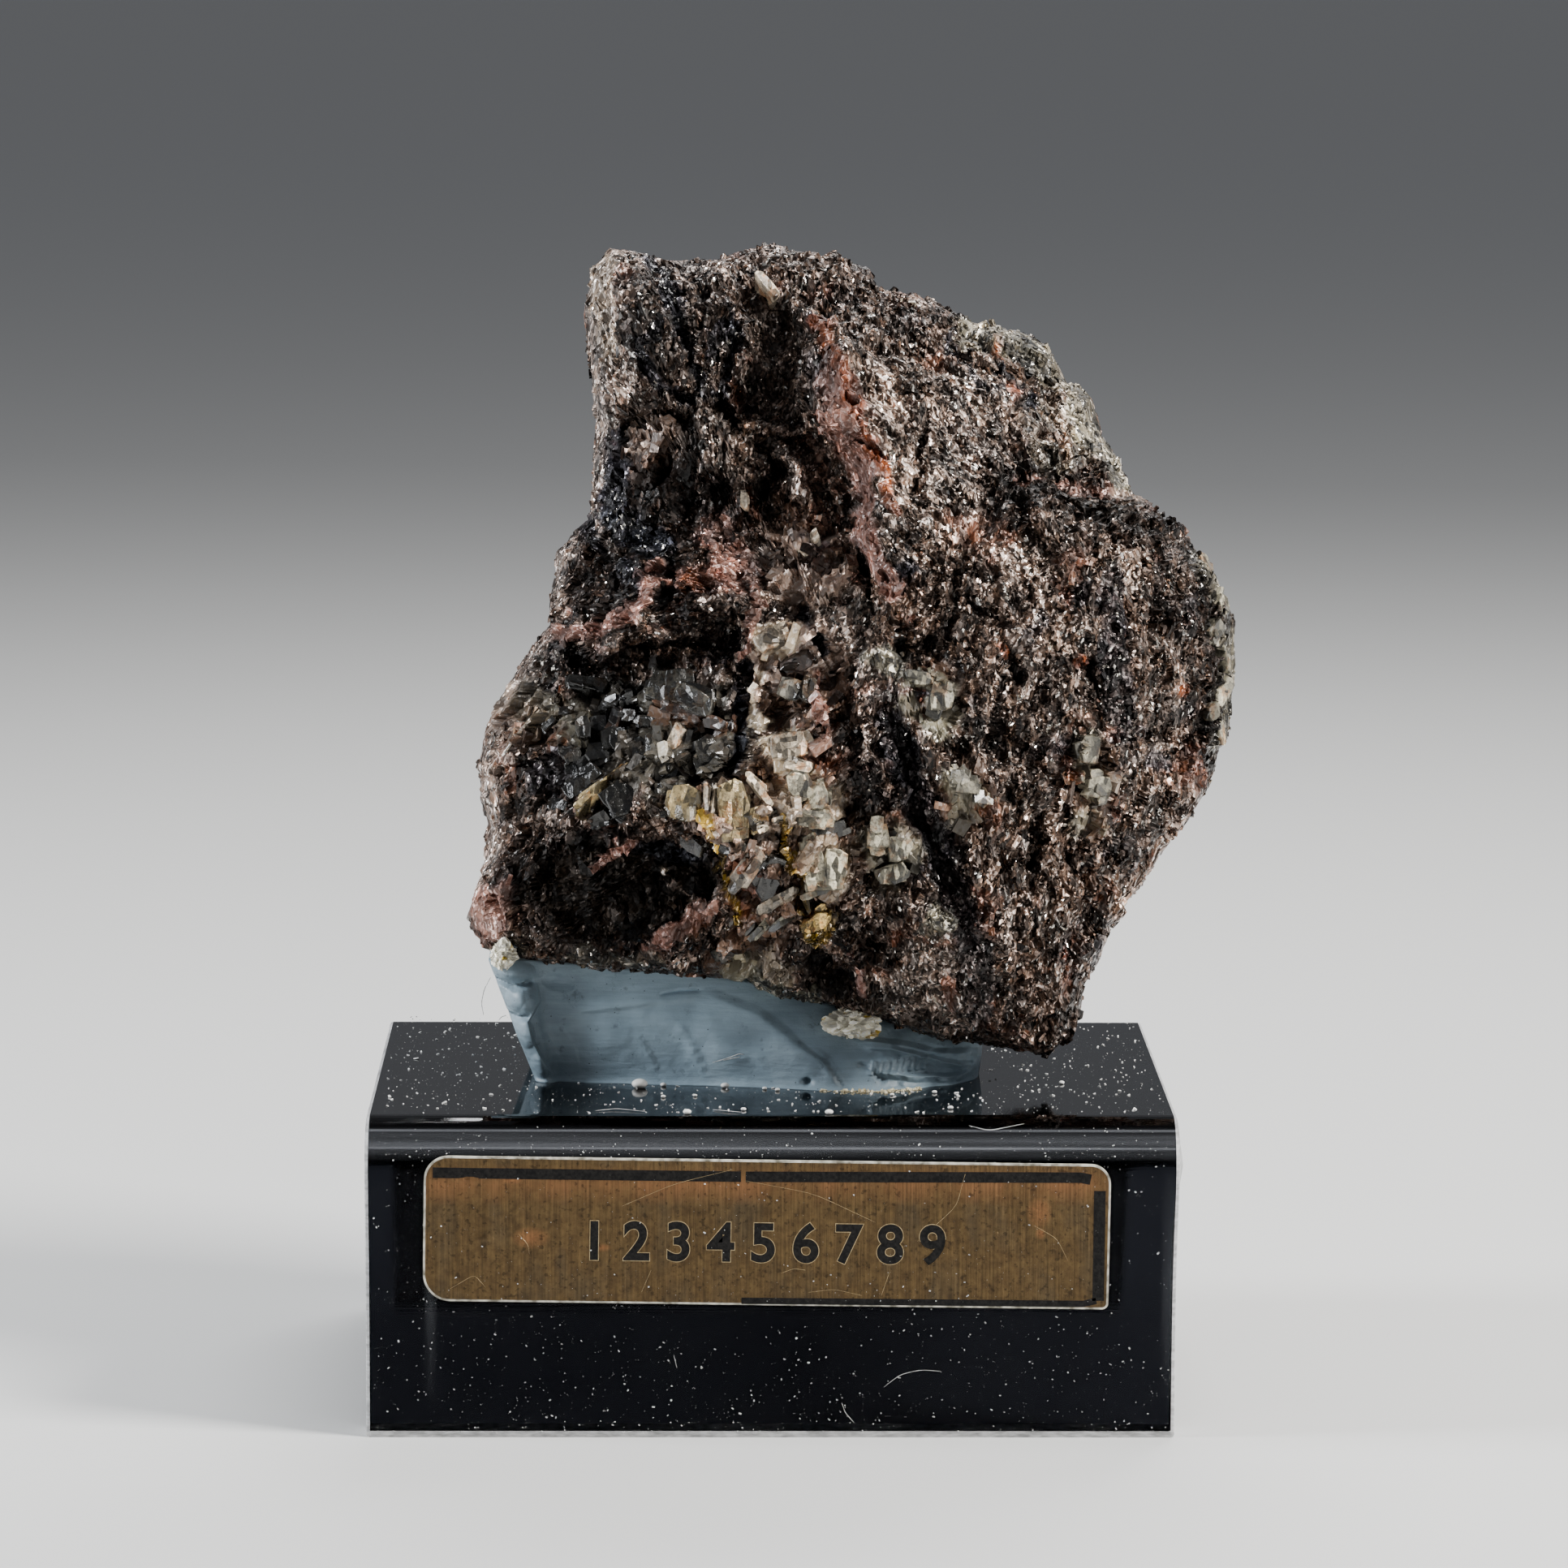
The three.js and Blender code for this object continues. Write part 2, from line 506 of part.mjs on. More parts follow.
// The stand's section from front to back: up and down inside, then up and down outside. Its plates are
// divided at a few heights, so that their ends can follow the spread at the bends.
function standOutline() {
  const { depth, height, sheet, outerBend, innerBend, plateRows } = stand;
  const shape = new THREE.Shape();
  const insideTop = height - sheet;
  const heights = plateRows.map((share) => share * insideTop);
  const up = (y, rows) => rows.forEach((z) => shape.lineTo(y, z));
  shape.moveTo(0, 0);
  shape.lineTo(sheet, 0);
  up(sheet, heights);
  shape.absarc(sheet + innerBend, insideTop - innerBend, innerBend, Math.PI, Math.PI / 2, true);
  shape.absarc(depth - sheet - innerBend, insideTop - innerBend, innerBend, Math.PI / 2, 0, true);
  up(depth - sheet, heights.toReversed());
  shape.lineTo(depth - sheet, 0);
  shape.lineTo(depth, 0);
  up(depth, heights.slice(0, -1));
  shape.absarc(depth - outerBend, height - outerBend, outerBend, 0, Math.PI / 2, false);
  shape.absarc(outerBend, height - outerBend, outerBend, Math.PI / 2, Math.PI, false);
  up(0, heights.slice(0, -1).toReversed());
  return shape;
}

function standGeometry() {
  const { width, bendSegments } = stand;
  const extrusion = { depth: width, steps: 1, bevelEnabled: false, curveSegments: bendSegments };
  const geometry = new THREE.ExtrudeGeometry(standOutline(), extrusion);
  const axes = [new THREE.Vector3(0, 1, 0), new THREE.Vector3(0, 0, 1), new THREE.Vector3(1, 0, 0)];
  geometry.applyMatrix4(new THREE.Matrix4().makeBasis(...axes)).translate(-width / 2, 0, 0);
  return reshape(closed(geometry), (place) => {
    const side = place.x < 0 ? "left" : "right";
    return place.setX(place.x + Math.sign(place.x) * endShift(side, place.y, place.z));
  });
}

function labelOutline() {
  const { width, height, corners } = label;
  const { topLeft, topRight, bottomRight, bottomLeft } = corners;
  const [left, right, bottom, top] = [-width / 2, width / 2, -height / 2, height / 2];
  const quarter = Math.PI / 2;
  const shape = new THREE.Shape();
  shape.absarc(right - topRight, top - topRight, topRight, 0, quarter);
  shape.absarc(left + topLeft, top - topLeft, topLeft, quarter, 2 * quarter);
  shape.absarc(left + bottomLeft, bottom + bottomLeft, bottomLeft, 2 * quarter, 3 * quarter);
  shape.absarc(right - bottomRight, bottom + bottomRight, bottomRight, -quarter, 0);
  return shape;
}

function labelGeometry() {
  const { thickness, centre, turn, cornerSegments } = label;
  const extrusion = { depth: thickness, steps: 1, bevelEnabled: false, curveSegments: cornerSegments };
  const geometry = new THREE.ExtrudeGeometry(labelOutline(), extrusion).rotateZ(turn);
  const axes = [new THREE.Vector3(1, 0, 0), new THREE.Vector3(0, 0, 1), new THREE.Vector3(0, -1, 0)];
  return geometry.applyMatrix4(new THREE.Matrix4().makeBasis(...axes)).translate(centre[0], 0, centre[1]);
}

// Skins a row of closed rings that have equally many points, and closes both ends.
function skin(rings) {
  const size = rings[0].length;
  const places = rings.flat(2);
  const faces = [];
  for (let row = 1; row < rings.length; row += 1) {
    for (let i = 0; i < size; i += 1) {
      const next = (i + 1) % size;
      const [a, b] = [(row - 1) * size + i, (row - 1) * size + next];
      const [c, d] = [row * size + next, row * size + i];
      faces.push(a, c, b, a, d, c);
    }
  }
  const last = (rings.length - 1) * size;
  for (let i = 1; i < size - 1; i += 1) {
    faces.push(0, i, i + 1, last, last + i + 1, last + i);
  }
  const geometry = new THREE.BufferGeometry();
  geometry.setAttribute("position", new THREE.Float32BufferAttribute(places, 3));
  geometry.setIndex(faces);
  return geometry;
}

// One section of the putty wedge: up the front face, back under the rock and down to the back foot.
function puttyRing([footX, footY, topX, topY, topZ]) {
  const { rows, swell, backTop, backFoot, rise, backRise } = puttyDims;
  const base = stand.height;
  const mix = THREE.MathUtils.lerp;
  const bulge = (t) => swell * Math.sin(Math.PI * t);
  const frontAt = (t) => [mix(footX, topX, t), mix(footY, topY, t) - bulge(t), mix(base, topZ, t)];
  return [
    [footX, footY, base],
    ...rows.map(frontAt),
    [topX, mix(topY, backTop, 0.5), topZ + rise],
    [topX, backTop, topZ + rise * backRise],
    [mix(footX, topX, 0.5), backFoot - 1, mix(base, topZ, 0.5)],
    [footX, backFoot, base],
  ];
}

function puttyGeometry(rockTool) {
  return cut(skin(puttyDims.front.map(puttyRing)), [rockTool]);
}

// A crumb is a small ball, chipped all over and trimmed by what it is stuck to.
function crumbGeometry({ centre, size }, tools) {
  const ball = closed(new THREE.IcosahedronGeometry(1, crumbDetail));
  const chipped = reshape(ball, (place) => {
    const cell = place.clone().add(new THREE.Vector3(...centre));
    return place.multiplyScalar(1 + chipHeight(cell, crumbChips));
  });
  return cut(chipped.scale(...size).translate(...centre), tools);
}

const materials = {
  chalcopyrite: new THREE.MeshStandardMaterial({ color: 0x5b4a3f, roughness: 0.45, metalness: 0.6 }),
  putty: new THREE.MeshStandardMaterial({ color: 0x5c7482, roughness: 0.55, metalness: 0 }),
  stand: new THREE.MeshStandardMaterial({
    color: 0x2c2e33, roughness: 0.06, metalness: 0, transparent: true, opacity: 0.75,
  }),
  label: new THREE.MeshStandardMaterial({ color: 0x8c7038, roughness: 0.35, metalness: 0.85 }),
  crumb: new THREE.MeshStandardMaterial({ color: 0xd8ceab, roughness: 0.9, metalness: 0 }),
};

function piece(name, geometry, material) {
  const mesh = new THREE.Mesh(geometry, material);
  mesh.name = name;
  return mesh;
}

function specimen() {
  const group = new THREE.Group();
  const rockBody = rockGeometry();
  const rockTool = grownRock(rockBody);
  const putty = puttyGeometry(rockTool);
  const puttyTool = putty.clone().translate(0, -seatGap, seatGap);
  group.add(piece("chalcopyrite", rockBody, materials.chalcopyrite));
  group.add(piece("putty", putty, materials.putty));
  group.add(piece("stand", standGeometry(), materials.stand));
  group.add(piece("label", labelGeometry(), materials.label));
  for (const [name, crumb] of Object.entries(crumbs)) {
    group.add(piece(name, crumbGeometry(crumb, [rockTool, putty, puttyTool]), materials.crumb));
  }
  const box = new THREE.Box3().setFromObject(group);
  group.position.set(-(box.min.x + box.max.x) / 2, -(box.min.y + box.max.y) / 2, -box.min.z);
  return group;
}

export default specimen();
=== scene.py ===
import math
import bpy
import numpy as np
from mathutils import Matrix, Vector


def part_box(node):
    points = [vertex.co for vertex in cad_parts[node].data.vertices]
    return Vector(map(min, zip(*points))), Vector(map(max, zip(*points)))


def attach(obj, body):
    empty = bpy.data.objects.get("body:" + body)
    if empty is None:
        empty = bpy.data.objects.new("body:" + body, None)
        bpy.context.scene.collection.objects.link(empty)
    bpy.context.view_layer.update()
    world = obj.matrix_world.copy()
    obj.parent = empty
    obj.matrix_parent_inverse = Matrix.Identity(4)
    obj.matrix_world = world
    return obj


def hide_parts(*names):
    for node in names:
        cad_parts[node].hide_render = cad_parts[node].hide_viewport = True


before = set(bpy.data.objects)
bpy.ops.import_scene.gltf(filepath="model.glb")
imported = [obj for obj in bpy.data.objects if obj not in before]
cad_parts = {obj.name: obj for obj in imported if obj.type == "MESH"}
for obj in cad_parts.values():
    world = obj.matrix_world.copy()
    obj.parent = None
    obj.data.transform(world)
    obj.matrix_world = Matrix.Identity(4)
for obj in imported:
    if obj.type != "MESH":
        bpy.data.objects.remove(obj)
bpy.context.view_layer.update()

# Everything is laid out in millimetres from the stand's front bottom edge, at the middle of its 50 mm width.
# The frame's own place of that point comes from the stand's box.
standWidth = 50
flareLeft = 0.2  # the sheet stands out this far past its width on the left, at the inner corner of each bend
standLow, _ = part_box("stand")
origin = np.array([standLow[0] + (standWidth / 2 + flareLeft) / 1000, standLow[1], standLow[2]])


def toFrame(places):
    return np.asarray(places) / 1000 + origin


def newMesh(name, places, faces, smooth=True, slots=None):
    # places in mm, faces as an array of triangles or quads, slots as a material number for each face
    mesh = bpy.data.meshes.new(name)
    faces = np.asarray(faces, np.int32)
    mesh.vertices.add(len(places))
    mesh.vertices.foreach_set("co", toFrame(places).astype(np.float32).ravel())
    mesh.loops.add(faces.size)
    mesh.loops.foreach_set("vertex_index", faces.ravel())
    mesh.polygons.add(len(faces))
    mesh.polygons.foreach_set("loop_start", np.arange(len(faces), dtype=np.int32) * faces.shape[1])
    mesh.polygons.foreach_set("use_smooth", np.full(len(faces), smooth))
    if slots is not None:
        mesh.polygons.foreach_set("material_index", np.asarray(slots, np.int32))
    mesh.update(calc_edges=True)
    piece = bpy.data.objects.new(name, mesh)
    bpy.context.scene.collection.objects.link(piece)
    print(name + ":", len(places), "points,", len(faces) * (faces.shape[1] - 2), "triangles")
    return piece


def paint(piece, name, numbers):
    # three or four numbers for each vertex, kept as a colour attribute
    layer = piece.data.attributes.new(name, "FLOAT_COLOR", "POINT")
    four = np.ones((len(piece.data.vertices), 4), np.float32)
    four[:, :numbers.shape[1]] = numbers
    layer.data.foreach_set("color", four.ravel())


def dress(piece, materials, node):
    for material in materials:
        piece.data.materials.append(material)
    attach(piece, "root")
    if node:
        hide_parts(node)


def unit(vectors):
    return vectors / np.linalg.norm(vectors, axis=-1, keepdims=True).clip(1e-12)


def triangleNormals(places, triangles):
    return np.cross(places[triangles[:, 1]] - places[triangles[:, 0]],
                    places[triangles[:, 2]] - places[triangles[:, 0]])


def vertexNormals(places, triangles):
    faceNormals = np.repeat(triangleNormals(places, triangles), 3, axis=0)
    corners = triangles.ravel()
    sums = [np.bincount(corners, faceNormals[:, axis], len(places)) for axis in range(3)]
    return unit(np.stack(sums, 1))


def splitQuads(places, quads):
    # each quad is cut along its shorter diagonal
    a, b, c, d = quads.T
    short = np.linalg.norm(places[a] - places[c], axis=1) <= np.linalg.norm(places[b] - places[d], axis=1)
    first = np.where(short[:, None], np.stack([a, b, c], 1), np.stack([a, b, d], 1))
    second = np.where(short[:, None], np.stack([a, c, d], 1), np.stack([b, c, d], 1))
    return np.vstack([first, second])


def ringNumbers(rows, sides):
    return np.arange(rows * sides).reshape(rows, sides)


def ringQuads(rings):
    # quads from each closed ring of point numbers to the next
    after = np.roll(rings, -1, axis=1)
    return np.stack([rings[:-1], rings[1:], after[1:], after[:-1]], -1).reshape(-1, 4)


def turnedQuads(rings):
    # the same quads, facing the other way
    return ringQuads(rings)[:, [0, 3, 2, 1]]


def joined(parts):
    # several (places, faces) into one
    starts = np.cumsum([0] + [len(places) for places, _ in parts[:-1]])
    return np.vstack([places for places, _ in parts]), np.vstack([f + s for (_, f), s in zip(parts, starts)])


def ballGrid(rings, sides):
    # a unit ball: its places with the two poles last, its quads, and the triangles round its poles
    polar = np.linspace(0, np.pi, rings)[1:-1, None]
    turn = np.linspace(0, 2 * np.pi, sides, endpoint=False)[None]
    ball = np.stack([np.sin(polar) * np.cos(turn), np.sin(polar) * np.sin(turn),
                     np.cos(polar) + 0 * turn], 2).reshape(-1, 3)
    index = ringNumbers(rings - 2, sides)
    after = np.roll(index, -1, axis=1)
    top, bottom = len(ball), len(ball) + 1
    caps = np.vstack([np.stack([index[0], after[0], np.full(sides, top)], 1),
                      np.stack([after[-1], index[-1], np.full(sides, bottom)], 1)])
    return np.vstack([ball, [(0, 0, 1), (0, 0, -1)]]), ringQuads(index), caps


# Repeatable noise, worked out on whole arrays.

def mixedBits(cells, salt):
    # a well mixed whole number for each lattice cell
    x, y, z = (cells.astype(np.int64) & 0xffffffff).T
    h = (x * 374761393 + y * 668265263 + z * 2147483647 + salt * 974634777) & 0xffffffff
    h = ((h ^ (h >> 13)) * 1274126177) & 0xffffffff
    return ((h ^ (h >> 16)) * 2246822519) & 0xffffffff


def cellRandom(cells, salt):
    return mixedBits(cells, salt) / 4294967296.0


def cellVector(cells, salt):
    return np.stack([cellRandom(cells, salt + k) for k in (11, 23, 37)], 1)


def softNoise(places, size, salt):
    # lattice values blended with eased weights: smooth noise from -1 to 1
    scaled = places / size
    cell = np.floor(scaled)
    part = scaled - cell
    ease = part * part * (3 - 2 * part)
    total = np.zeros(len(places))
    for corner in range(8):
        step = np.array([corner & 1, (corner >> 1) & 1, corner >> 2])
        weight = np.prod(np.where(step, ease, 1 - ease), 1)
        total += weight * cellRandom(cell + step, salt)
    return 2 * total - 1


def cloudNoise(places, size, salt, layers=3):
    return sum(softNoise(places, size / 2 ** k, salt + 5 * k) / 2 ** k for k in range(layers))


def chips(places, size, salt):
    # nearest of one random seed in each lattice cell; every seed owns a plane tilted at random.
    # gives the plane's height at the place (in mm for a slope of one) and a number for the chip
    scaled = places / size
    base = np.floor(scaled)
    nearest = np.full(len(places), np.inf)
    height = np.zeros(len(places))
    number = np.zeros(len(places))
    for step in np.ndindex(3, 3, 3):
        cell = base + np.array(step) - 1
        offset = scaled - cell - cellVector(cell, salt)
        distance = (offset ** 2).sum(1)
        closer = distance < nearest
        nearest = np.where(closer, distance, nearest)
        tilt = cellVector(cell, salt + 100) * 2 - 1
        height = np.where(closer, (tilt * offset).sum(1) * size, height)
        number = np.where(closer, cellRandom(cell, salt + 200), number)
    return height, number


def smoothStep(value, low, high):
    t = ((value - low) / (high - low)).clip(0, 1)
    return t * t * (3 - 2 * t)


def nearPath(path, right, up):
    # distance to a broken line, on its left positive, and how far along the line from 0 to 1
    nearest = np.full(right.shape, np.inf)
    signed = np.zeros(right.shape)
    along = np.zeros(right.shape)
    lengths = np.hypot(*np.diff(np.array(path), axis=0).T)
    start = np.concatenate([[0], np.cumsum(lengths)]) / lengths.sum()
    for k, ((ax, ay), (bx, by)) in enumerate(zip(path, path[1:])):
        dx, dy = bx - ax, by - ay
        t = (((right - ax) * dx + (up - ay) * dy) / (dx * dx + dy * dy)).clip(0, 1)
        gapX, gapY = right - ax - t * dx, up - ay - t * dy
        distance = np.hypot(gapX, gapY)
        closer = distance < nearest
        nearest = np.where(closer, distance, nearest)
        signed = np.where(closer, np.where(dx * gapY - dy * gapX >= 0, distance, -distance), signed)
        along = np.where(closer, start[k] + t * (start[k + 1] - start[k]), along)
    return signed, along


taperShare = 0.12  # a crease rises over this share of its length at either end


def creasesHeight(creases, right, up):
    # full height on the line, falling evenly to nothing over its own reach on either side,
    # and along the line's two ends
    total = np.zeros(right.shape)
    for height, left, rightReach, path in creases:
        xs, ys = np.array(path).T
        reach = max(left, rightReach)
        near = ((right > xs.min() - reach) & (right < xs.max() + reach)
                & (up > ys.min() - reach) & (up < ys.max() + reach))
        signed, along = nearPath(path, right[near], up[near])
        fall = 1 - np.where(signed > 0, signed / left, -signed / rightReach)
        taper = (np.minimum(along, 1 - along) / taperShare).clip(0, 1)
        total[near] += height * fall.clip(0) * taper
    return total


def ellipseReach(right, up, centreRight, centreUp, halfWidth, halfHeight, turn):
    # 0 in the middle of a turned ellipse, 1 on its edge
    c, s = math.cos(math.radians(turn)), math.sin(math.radians(turn))
    dr, du = right - centreRight, up - centreUp
    return np.hypot((c * dr + s * du) / halfWidth, (c * du - s * dr) / halfHeight)


# The rock: one broken piece, as tilted faces, creases, pits and lumps round its centre.
rock = {
    "centre": (5.8, 20.0, 46.8),
    "lean": math.radians(-7.74),  # leans back on its putty
    "frontCells": 256,
    "beltRows": 16,
    "patchReach": 0.96,  # share of the outline that the front and back patches cover
    "rimPower": 6,
    "faceSoftness": 0.7,
    "faceCrispness": 3.5,
    "cloud": (3.2, 0.16),  # size and height
    "wander": (1.6, 0.42),  # size and reach of the noise that shifts every named place
    "grit": 0.010,
    "frontEdge": math.radians(88),  # places up to this angle from the front count as the front
    "rimCalm": (0.6, 0.93, 0.99),  # the relief loses this share at the rim, between these spreads
    # how much the brightness differs from chip to chip, along the grain, and from block to block
    "chipShade": 0.6,
    "strokeShade": 0.8,
    "blockShade": 0.95,
    "blockTurn": 35,  # direction of the blocks' longer side, and how much longer it is
    "blockLength": 1.25,
    "calmShade": 0.6,  # share of the chips' shade that is missing where the rock is blocky
    "calmLift": 0.8,  # the same for the height of all but the largest chips
    "outwardPush": 1.5,  # share of the outward direction in the way the relief is raised
}

# flat chips of each size: size, slope, step between neighbours, how much longer along the grain
chipSizes = [(4.6, 0.20, 0.0, 1.0), (1.4, 0.44, 0.28, 2.3), (0.62, 0.42, 0.12, 2.0)]

# the rock's grain runs nearly upright, and steeply down to the right on its upper lit face
grainTurn = 84
steepTurn, steepField = 120, (3.8, 12.4, 5.2, 8.5, -20)
# other directions of the grain: degrees, then right, up, half width, half height, turn
grainFlows = [
    (steepTurn, steepField), (132, (10.8, 16.6, 4.0, 4.2, -30)), (97, (-12.4, 19.0, 3.8, 7.0, 0)),
    (58, (-21.6, -4.2, 2.8, 4.6, 0)), (60, (-3.2, -1.5, 4.2, 7.5, 0)), (66, (-4.0, -13.0, 5.0, 5.5, 0)),
    (140, (-9.5, 5.6, 5.0, 3.6, 0)), (74, (10.5, -17.0, 5.0, 7.0, 0)), (20, (-14.0, 2.6, 5.0, 1.8, 0)),
]

# right, up, half width, half height, turn: here the rock breaks in blocks
blockyFields = [
    (-13.4, -5.4, 7.0, 3.6, 5), (-7.4, -9.9, 4.2, 3.2, 0), (-2.9, -11.8, 2.4, 5.4, 5),
    (1.7, -12.8, 2.0, 2.6, 0), (-4.3, -2.2, 3.4, 4.2, 0), (-21.4, -4.2, 1.8, 3.0, 60),
    (14.7, -8.8, 1.4, 3.4, 0), (4.6, -3.0, 2.4, 2.2, -20), (-6.2, -15.2, 2.6, 2.6, 40),
    (6.5, -9.4, 1.8, 2.2, -15), (-3.6, 5.4, 3.0, 3.0, 0), (-7.4, -19.2, 3.0, 1.6, 30),
    (-13.6, 12.6, 2.6, 2.4, 0),
]
blockSizes = [(2.3, 0.42, 0.9), (1.15, 0.35, 0.5)]  # size of its blocks, slope, step between neighbours

# where the viewer's axis meets the rock's middle plane, and how far away the viewer is
sight = {"right": -4.87, "up": -8.6, "distance": 435}

# seen from the front: right, up, how far back the rim lies
outline = np.array([
    (-17.0, 24.5, 3), (-16.0, 25.65, 3), (-15.2, 25.6, 3.5), (-13.3, 25.2, 4), (-11.4, 25.0, 5),
    (-10.1, 25.1, 5), (-8.6, 25.35, 5.5), (-7.0, 26.0, 6), (-5.6, 26.1, 6), (-4.4, 25.9, 6),
    (-2.5, 25.7, 6), (-1.6, 25.8, 6), (-0.7, 25.2, 6.5), (0.6, 24.8, 7), (1.2, 23.8, 7), (2.2, 23.4, 7),
    (3.6, 23.2, 7), (5.1, 22.4, 7.5), (6.6, 21.8, 8), (7.4, 21.3, 8), (9.3, 21.1, 8), (10.7, 20.7, 8),
    (12.4, 19.8, 8), (13.1, 18.7, 8), (13.7, 17.6, 7.5), (14.4, 17.1, 7.5), (14.9, 16.2, 7),
    (15.6, 13.9, 7), (16.7, 12.2, 6), (17.5, 10.6, 5.5), (17.8, 10.1, 5), (18.9, 9.6, 4.5), (20.3, 8.2, 4),
    (21.5, 6.6, 4), (23.0, 4.9, 4), (23.5, 3.4, 3.5), (24.1, 2.4, 3.5), (24.0, 0.6, 3), (24.3, -0.9, 3),
    (24.2, -3.2, 3), (24.0, -5.6, 3), (22.9, -6.6, 3), (22.7, -7.7, 3), (21.0, -10.9, 2),
    (19.3, -12.7, 1.5), (18.5, -14.5, 1), (16.7, -16.9, 0.5), (15.9, -17.7, 0), (15.3, -19.9, -0.5),
    (14.2, -21.5, -1), (14.0, -23.0, -1), (13.5, -24.5, -1.5), (12.0, -25.9, -1.5), (10.7, -25.5, -1.5),
    (7.3, -25.1, -2), (4.7, -24.6, -2), (2.1, -23.9, -2), (-2.1, -22.8, -2), (-5.2, -22.2, -2),
    (-7.5, -20.9, -2), (-10.5, -21.0, -2), (-13.5, -20.7, -2), (-16.5, -20.2, -2), (-19.2, -19.9, -1.5),
    (-21.8, -19.9, -1), (-23.8, -18.9, -1), (-25.3, -17.3, 0), (-24.9, -16.2, 0), (-24.4, -14.9, 0),
    (-23.7, -13.6, 0.5), (-23.8, -12.2, 1), (-23.5, -11.2, 1), (-24.2, -9.8, 1.5), (-24.4, -7.7, 2),
    (-24.0, -5.4, 2), (-23.4, -3.9, 2.5), (-22.6, -2.7, 3), (-21.7, -1.0, 3), (-20.9, 0.3, 3),
    (-20.0, 1.6, 3), (-19.9, 3.4, 3), (-19.4, 5.0, 3), (-19.3, 6.4, 3), (-18.2, 7.4, 3), (-17.2, 8.2, 3),
    (-17.1, 11.2, 3), (-16.9, 15.2, 3), (-17.2, 18.1, 3), (-17.55, 20.2, 3), (-17.7, 21.9, 3),
])

# right, up, height towards the viewer, its slope to the right and upwards
frontFaces = {
    "pillarFlank": (-16.2, 20.2, 6.6, 1.0, -0.1),
    "pillarFront": (-12.7, 19.7, 8.6, -0.15, -0.1),
    "pillarFoot": (-11.5, 12.6, 7.8, 0.1, -0.1),
    "hollowUpper": (-6.3, 19.2, 5.4, -0.1, -0.3),
    "hollowLower": (-6.9, 15.0, 5.6, 0.1, 0),
    "ridgeWestWall": (-4.2, 16.6, 6.4, 0.9, 0),
    "ridgeCrest": (0.6, 16.2, 10.6, -0.05, -0.45),
    "upperRight": (7.3, 16.0, 8.2, -0.4, -0.45),
    "upperRightRim": (13.0, 14.8, 4.4, -0.7, -0.4),
    "topMiddle": (-3.1, 23.6, 6.2, -0.1, -0.7),
    "topRight": (4.8, 20.4, 6.6, -0.3, -0.6),
    "topLeftCap": (-10.9, 23.6, 7, -0.1, -0.5),
    "socketFloor": (-3.6, 10.4, 7.6, 0.1, -0.1),
    "pillarMiddle": (-15, 10.9, 6.8, 0.6, -0.1),
    "leftSlope": (-9.3, 7.3, 8.6, 0.1, -0.35),
    "leftShoulder": (-17.6, 4.7, 5.8, 0.8, -0.2),
    "browLeft": (-14, 3.6, 8.6, 0.3, -0.45),
    "browMiddle": (-8.8, 3.8, 10.2, 0.2, -0.4),
    "underBrow": (-14.5, -1, 8.2, 0.35, -0.1),
    "crystalField": (-13.5, -5.2, 9.8, 0.35, -0.05),
    "leftCheek": (-21.2, -4.2, 6.4, 1.2, -0.2),
    "centre": (-4.6, -2.6, 12.4, 0.15, -0.1),
    "centreHigh": (-3, 3.6, 11.4, 0.2, -0.25),
    "brightPlates": (-7.0, -10.2, 12.4, 0.1, 0.2),
    "undercutLeft": (-17, -14.6, 7.2, 0.25, 0.35),
    "undercutMiddle": (-11.5, -14.2, 8.4, 0.3, 0.5),
    "footLeft": (-13, -18.6, 6, 0.1, 0.9),
    "cornerLeft": (-23, -15.6, 4.8, 0.8, 0.3),
    "darkCheek": (-21.5, -9.4, 5.6, 0.5, 0.1),
    "lowerMiddle": (-2, -13.5, 12.6, 0, 0.3),
    "bottomMiddle": (-1, -19.2, 9, 0, 1.0),
    "ridgeFoot": (3.6, 3.0, 13, 0, -0.15),
    "upperFaceLow": (4.7, 9.3, 12, -0.15, -0.3),
    "aboveLedge": (13.4, 12.2, 6, -0.5, -0.35),
    "rightFaceUpper": (11.4, 6.2, 12.4, -0.25, -0.15),
    "rightFace": (11.4, -4.1, 13.3, -0.2, 0.05),
    "rightFlank": (19.2, 3.4, 8.8, -0.75, -0.2),
    "rightFlankLow": (19.0, -5.5, 8.8, -0.8, 0.1),
    "rightRim": (22.6, -1.6, 5.2, -1.4, 0),
    "rightLower": (16.2, -11.2, 9.2, -0.7, 0.3),
    "lowerRight": (9.6, -13.6, 12, -0.2, 0.3),
    "tip": (11.9, -21.8, 7, -0.4, 0.6),
    "bottomRight": (5.2, -20.8, 8.6, 0.1, 1.1),
}

# the same for the back, with the height away from the viewer
backFaces = {
    "pillarBack": (-14, 17, 6, 0.4, -0.1),
    "topBack": (-3, 21, 6, 0, -0.8),
    "shoulderBack": (6, 14, 9, -0.3, -0.5),
    "upperHollow": (-5, 11, 9, 0.3, -0.2),
    "leftWall": (-16, 3, 9, 0.7, -0.1),
    "hump": (-3, 2, 15, 0.1, -0.25),
    "rightSlab": (9, 3, 14, -0.35, -0.2),
    "rightWall": (19, -1, 8, -0.9, 0),
    "lowSlab": (3, -10, 16, -0.05, 0.25),
    "lowRight": (13, -14, 9, -0.5, 0.5),
    "lowLeft": (-11, -9, 14, 0.35, 0.2),
    "leftCorner": (-21, -12, 6, 0.9, 0.3),
    "footLeft": (-13, -18, 9, 0.1, 1),
    "foot": (1, -20, 10, 0, 1.1),
    "footTip": (11, -22, 5, -0.3, 0.8),
}

